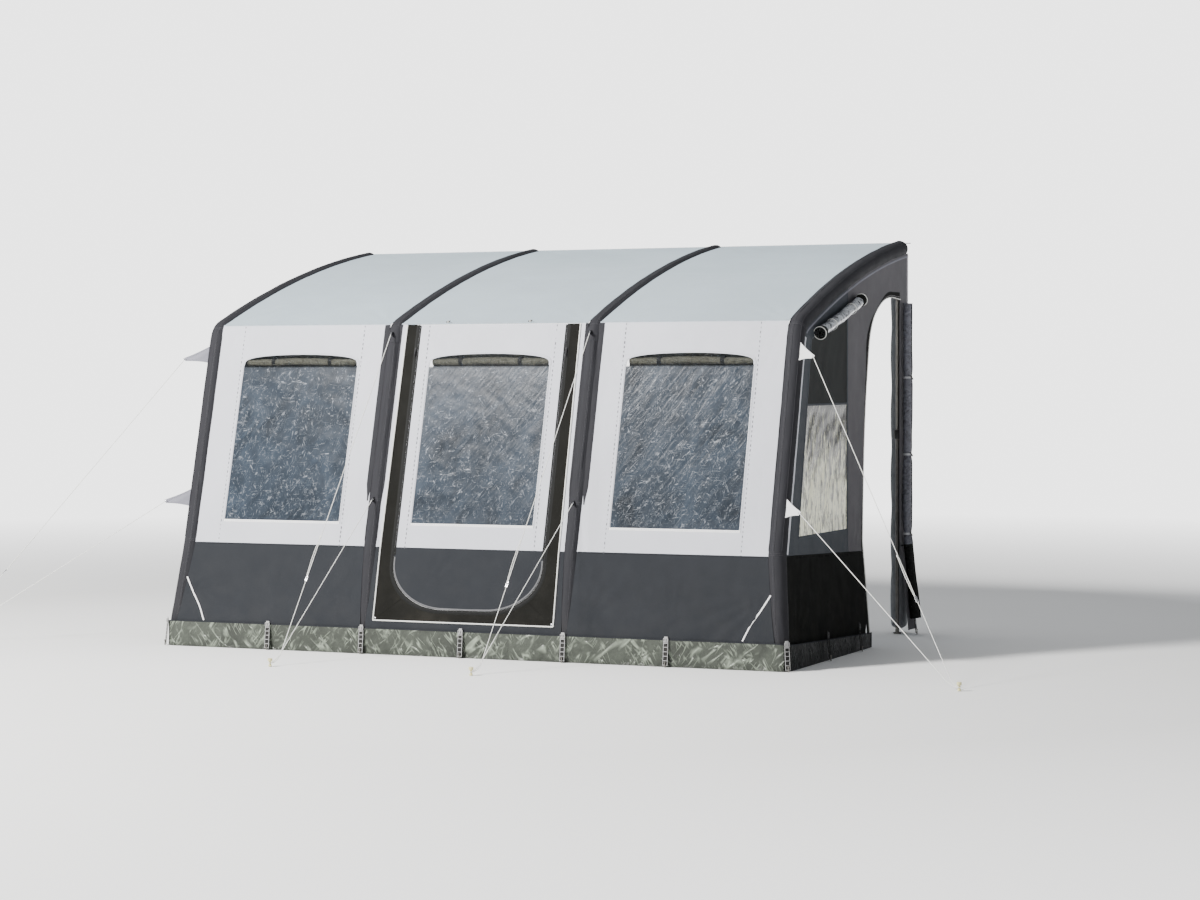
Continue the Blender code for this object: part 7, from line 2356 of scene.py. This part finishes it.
class AWNING_OT_rear_edge(bpy.types.Operator):
    """Makes the rail strip, the padded draught strips and the two telescopic poles"""

    bl_idname = "awning.rear_edge"
    bl_label = "Rail, Pads And Poles"

    def execute(self, context):
        shop = Workshop(context)
        self.rail(shop)
        self.pads(shop)
        for side, sign in SIDES:
            self.pole(shop, side, sign)
        return {"FINISHED"}

    def rail(self, shop):
        """The flat strip sewn to the roof and the round bead that slides into the rail."""
        (y1, z), y2 = (1.1665, 2.3955), 1.1975
        xs = np.arange(-1.893, 1.8931, 0.0135)
        xs[-1] = 1.893
        shape = Shape()
        wave = 0.0006 * np.sin(xs * 23) + 0.0005 * np.sin(xs * 61 + 1)
        path = np.stack([xs, np.full_like(xs, (y1 + y2) / 2), z + wave], axis=1)
        half = (y2 - y1) / 2
        shape.sweep(path, UP, bar_section(half, -0.0015, 0.0015))
        bead = np.stack([xs, np.full_like(xs, 1.2), z + wave * 0.3], axis=1)
        shape.sweep(bead, UP, cord_section(0.0036, 16))
        shape.piece("rail_bead", shop.finish("keder"), "awning", ["rail_strip"])

    def pads(self, shop):
        """Long padded strips, blown up softly by a short cloth simulation and then sewn across."""
        width, depth, foot, top = 0.0925, 0.098, 0.024, 2.2675
        centre = ((1.775 + 1.8747) / 2, (1.13 + 1.235) / 2)
        rows, sides = 300, 28
        points = []
        for i in range(rows + 1):
            share = i / rows
            z = foot + (top - foot) * share
            dip = 0.006 * (1 - abs(math.sin(math.pi * 6 * share)))
            end = min(share, 1 - share) * (top - foot)
            close = math.sqrt(max(1 - (1 - min(end / 0.03, 1.0)) ** 2, 0.1))
            x, y, inner = self.pad_edge(turns_round(sides), width, depth)
            x = x * close + dip * inner
            points += [(centre[0] + a, centre[1] + b * close, z) for a, b in zip(x, y)]
        shape = Shape()
        shape.add(points, tube_faces(rows + 1, sides), [(p[0] + p[1], p[2]) for p in points])
        pad = shape.piece("rear_pad_padded_right", shop.finish("pad"))
        self.swell(pad, 0.0035)
        other = pad.data.copy()
        other.name = "rear_pad_padded_left"
        other.transform(Matrix.Diagonal((-1.0, 1.0, 1.0, 1.0)))
        other.flip_normals()
        for obj, side in ((pad, "right"), (placed("rear_pad_padded_left", other), "left")):
            settled(obj, "awning", [f"rear_pad_{side}"])
        seams = Shape()
        for sign in (-1.0, 1.0):
            for i in range(1, 6):
                x, y, inner = self.pad_edge(np.linspace(0, 2 * math.pi, 37), width, depth)
                x = centre[0] + x + 0.006 * inner
                z = np.full_like(x, foot + (top - foot) * i / 6)
                path = np.stack([sign * x, centre[1] + y, z], axis=1)
                seams.sweep(path, UP, bar_section(0.0012, -0.0015, 0.0015))
        seams.piece("pad_seams", shop.finish("pad"), "awning")

    def pad_edge(self, turns, width, depth):
        """A pad's rounded edge seen from above, and which of its points face the awning's middle."""
        c, s = np.cos(turns), np.sin(turns)
        x, y = (np.sign(v) * np.abs(v) ** 0.55 * size / 2 for v, size in ((c, width), (s, depth)))
        return x, y, c < 0

    def swell(self, pad, reach):
        """Blows the padded strip up with a cloth simulation, its movement held to the reach."""
        scene = bpy.context.scene
        before = np.empty(len(pad.data.vertices) * 3)
        pad.data.vertices.foreach_get("co", before)
        before = before.reshape(-1, 3)
        rows = before[:, 2]
        group = pad.vertex_groups.new(name="held")
        step = (rows.max() - rows.min()) / 6
        near = np.abs(((rows - rows.min()) / step + 0.5) % 1.0 - 0.5) * step
        for i in np.where(near < 0.006)[0]:
            group.add([int(i)], 1.0, "REPLACE")
        cloth = pad.modifiers.new("Cloth", "CLOTH")
        cloth.settings.quality = 5
        cloth.settings.use_pressure = True
        cloth.settings.uniform_pressure_force = 3.0
        cloth.settings.effector_weights.gravity = 0.0
        cloth.settings.vertex_group_mass = "held"
        cloth.settings.tension_stiffness = 14.0
        cloth.settings.bending_stiffness = 0.3
        cloth.collision_settings.use_collision = False
        for frame_number in range(1, 15):
            scene.frame_set(frame_number)
        graph = bpy.context.evaluated_depsgraph_get()
        result = pad.evaluated_get(graph).to_mesh()
        after = np.empty(len(result.vertices) * 3)
        result.vertices.foreach_get("co", after)
        pad.evaluated_get(graph).to_mesh_clear()
        moved = after.reshape(-1, 3) - before
        size = np.linalg.norm(moved, axis=1)
        moved *= (np.minimum(size, reach) / np.maximum(size, 1e-9))[:, None]
        pad.modifiers.remove(cloth)
        pad.vertex_groups.clear()
        scene.frame_set(1)
        pad.data.vertices.foreach_set("co", (before + moved).ravel())
        pad.data.update()

    def pole(self, shop, side, sign):
        x, y = sign * OUTER_BEAM_X, 1.10
        lower = Shape()
        profile = [
            (0.0, 0.0), (0.0235, 0.0), (0.025, 0.0015), (0.025, 0.0062), (0.0238, 0.008), (0.0135, 0.0088),
            (0.0118, 0.011), (0.0118, 0.03), (0.011, 0.031), (0.011, 1.2), (0.0162, 1.2008), (0.017, 1.2025),
            (0.017, 1.247), (0.0162, 1.2492), (0.0108, 1.25), (0.0098, 1.2495), (0.0098, 0.9),
            (0.0098, 0.5), (0.0, 0.5),
        ]
        lower.turned(profile, (x, y, 0.0), UP, 36)
        name = f"pole_tube_{side}_lower"
        lower.piece(name, shop.finish("steel"), "awning", [f"rear_pole_{side}_lower"])
        collar = Shape()
        profile = [
            (0.0112, 1.1965), (0.0182, 1.1972), (0.0192, 1.2), (0.0192, 1.2465), (0.0182, 1.2495),
            (0.0112, 1.2502), (0.0112, 1.1965),
        ]
        collar.turned(profile, (x, y, 0.0), UP, 36)
        for turn in turns_round(14):
            place = Vector((x + 0.0193 * math.cos(turn), y + 0.0193 * math.sin(turn), 1.223))
            collar.block((0.0016, 0.0026, 0.038), place, Matrix.Rotation(turn, 3, "Z"), 0.0005)
        collar.piece(f"pole_collar_{side}", shop.finish("black_plastic"), "awning")
        upper = Shape()
        profile = [
            (0.0, 1.1), (0.0084, 1.1), (0.0095, 1.1015), (0.0095, 2.283), (0.0098, 2.2845), (0.0112, 2.2853),
            (0.012, 2.2868), (0.012, 2.2972), (0.0108, 2.29895), (0.0, 2.299),
        ]
        upper.turned(profile, (x, y, 0.0), UP, 32)
        name = f"pole_tube_{side}_upper"
        body = f"{side}_pole_top"
        upper.piece(name, shop.finish("pole_top"), body, [f"rear_pole_{side}_upper"])


class AWNING_PT_panel(bpy.types.Panel):
    """Lists the awning's pieces, sizes and colours"""

    bl_idname = "AWNING_PT_panel"
    bl_label = "Caravan Awning"
    bl_space_type = "VIEW_3D"
    bl_region_type = "UI"
    bl_category = "Awning"

    def draw(self, context):
        layout = self.layout
        for operator in STEPS:
            layout.operator(operator.bl_idname)
        for group in (context.scene.awning_sizes, context.scene.awning_colours):
            box = layout.box()
            for key in group.bl_rna.properties.keys():
                if key not in ("rna_type", "name"):
                    box.prop(group, key)


STEPS = (
    AWNING_OT_stage,
    AWNING_OT_guy_lines,
    AWNING_OT_air_beams,
    AWNING_OT_roof,
    AWNING_OT_front_walls,
    AWNING_OT_windows,
    AWNING_OT_door,
    AWNING_OT_side_walls,
    AWNING_OT_rolls,
    AWNING_OT_mud_wall,
    AWNING_OT_rear_edge,
)
CLASSES = (AwningSizes, AwningColours, *STEPS, AWNING_PT_panel)


def register():
    for cls in CLASSES:
        bpy.utils.register_class(cls)
    bpy.types.Scene.awning_sizes = bpy.props.PointerProperty(type=AwningSizes)
    bpy.types.Scene.awning_colours = bpy.props.PointerProperty(type=AwningColours)


def unregister():
    del bpy.types.Scene.awning_sizes
    del bpy.types.Scene.awning_colours
    for cls in reversed(CLASSES):
        bpy.utils.unregister_class(cls)


def main():
    register()
    for operator in STEPS:
        group, name = operator.bl_idname.split(".")
        getattr(getattr(bpy.ops, group), name)()


if __name__ == "__main__":
    main()
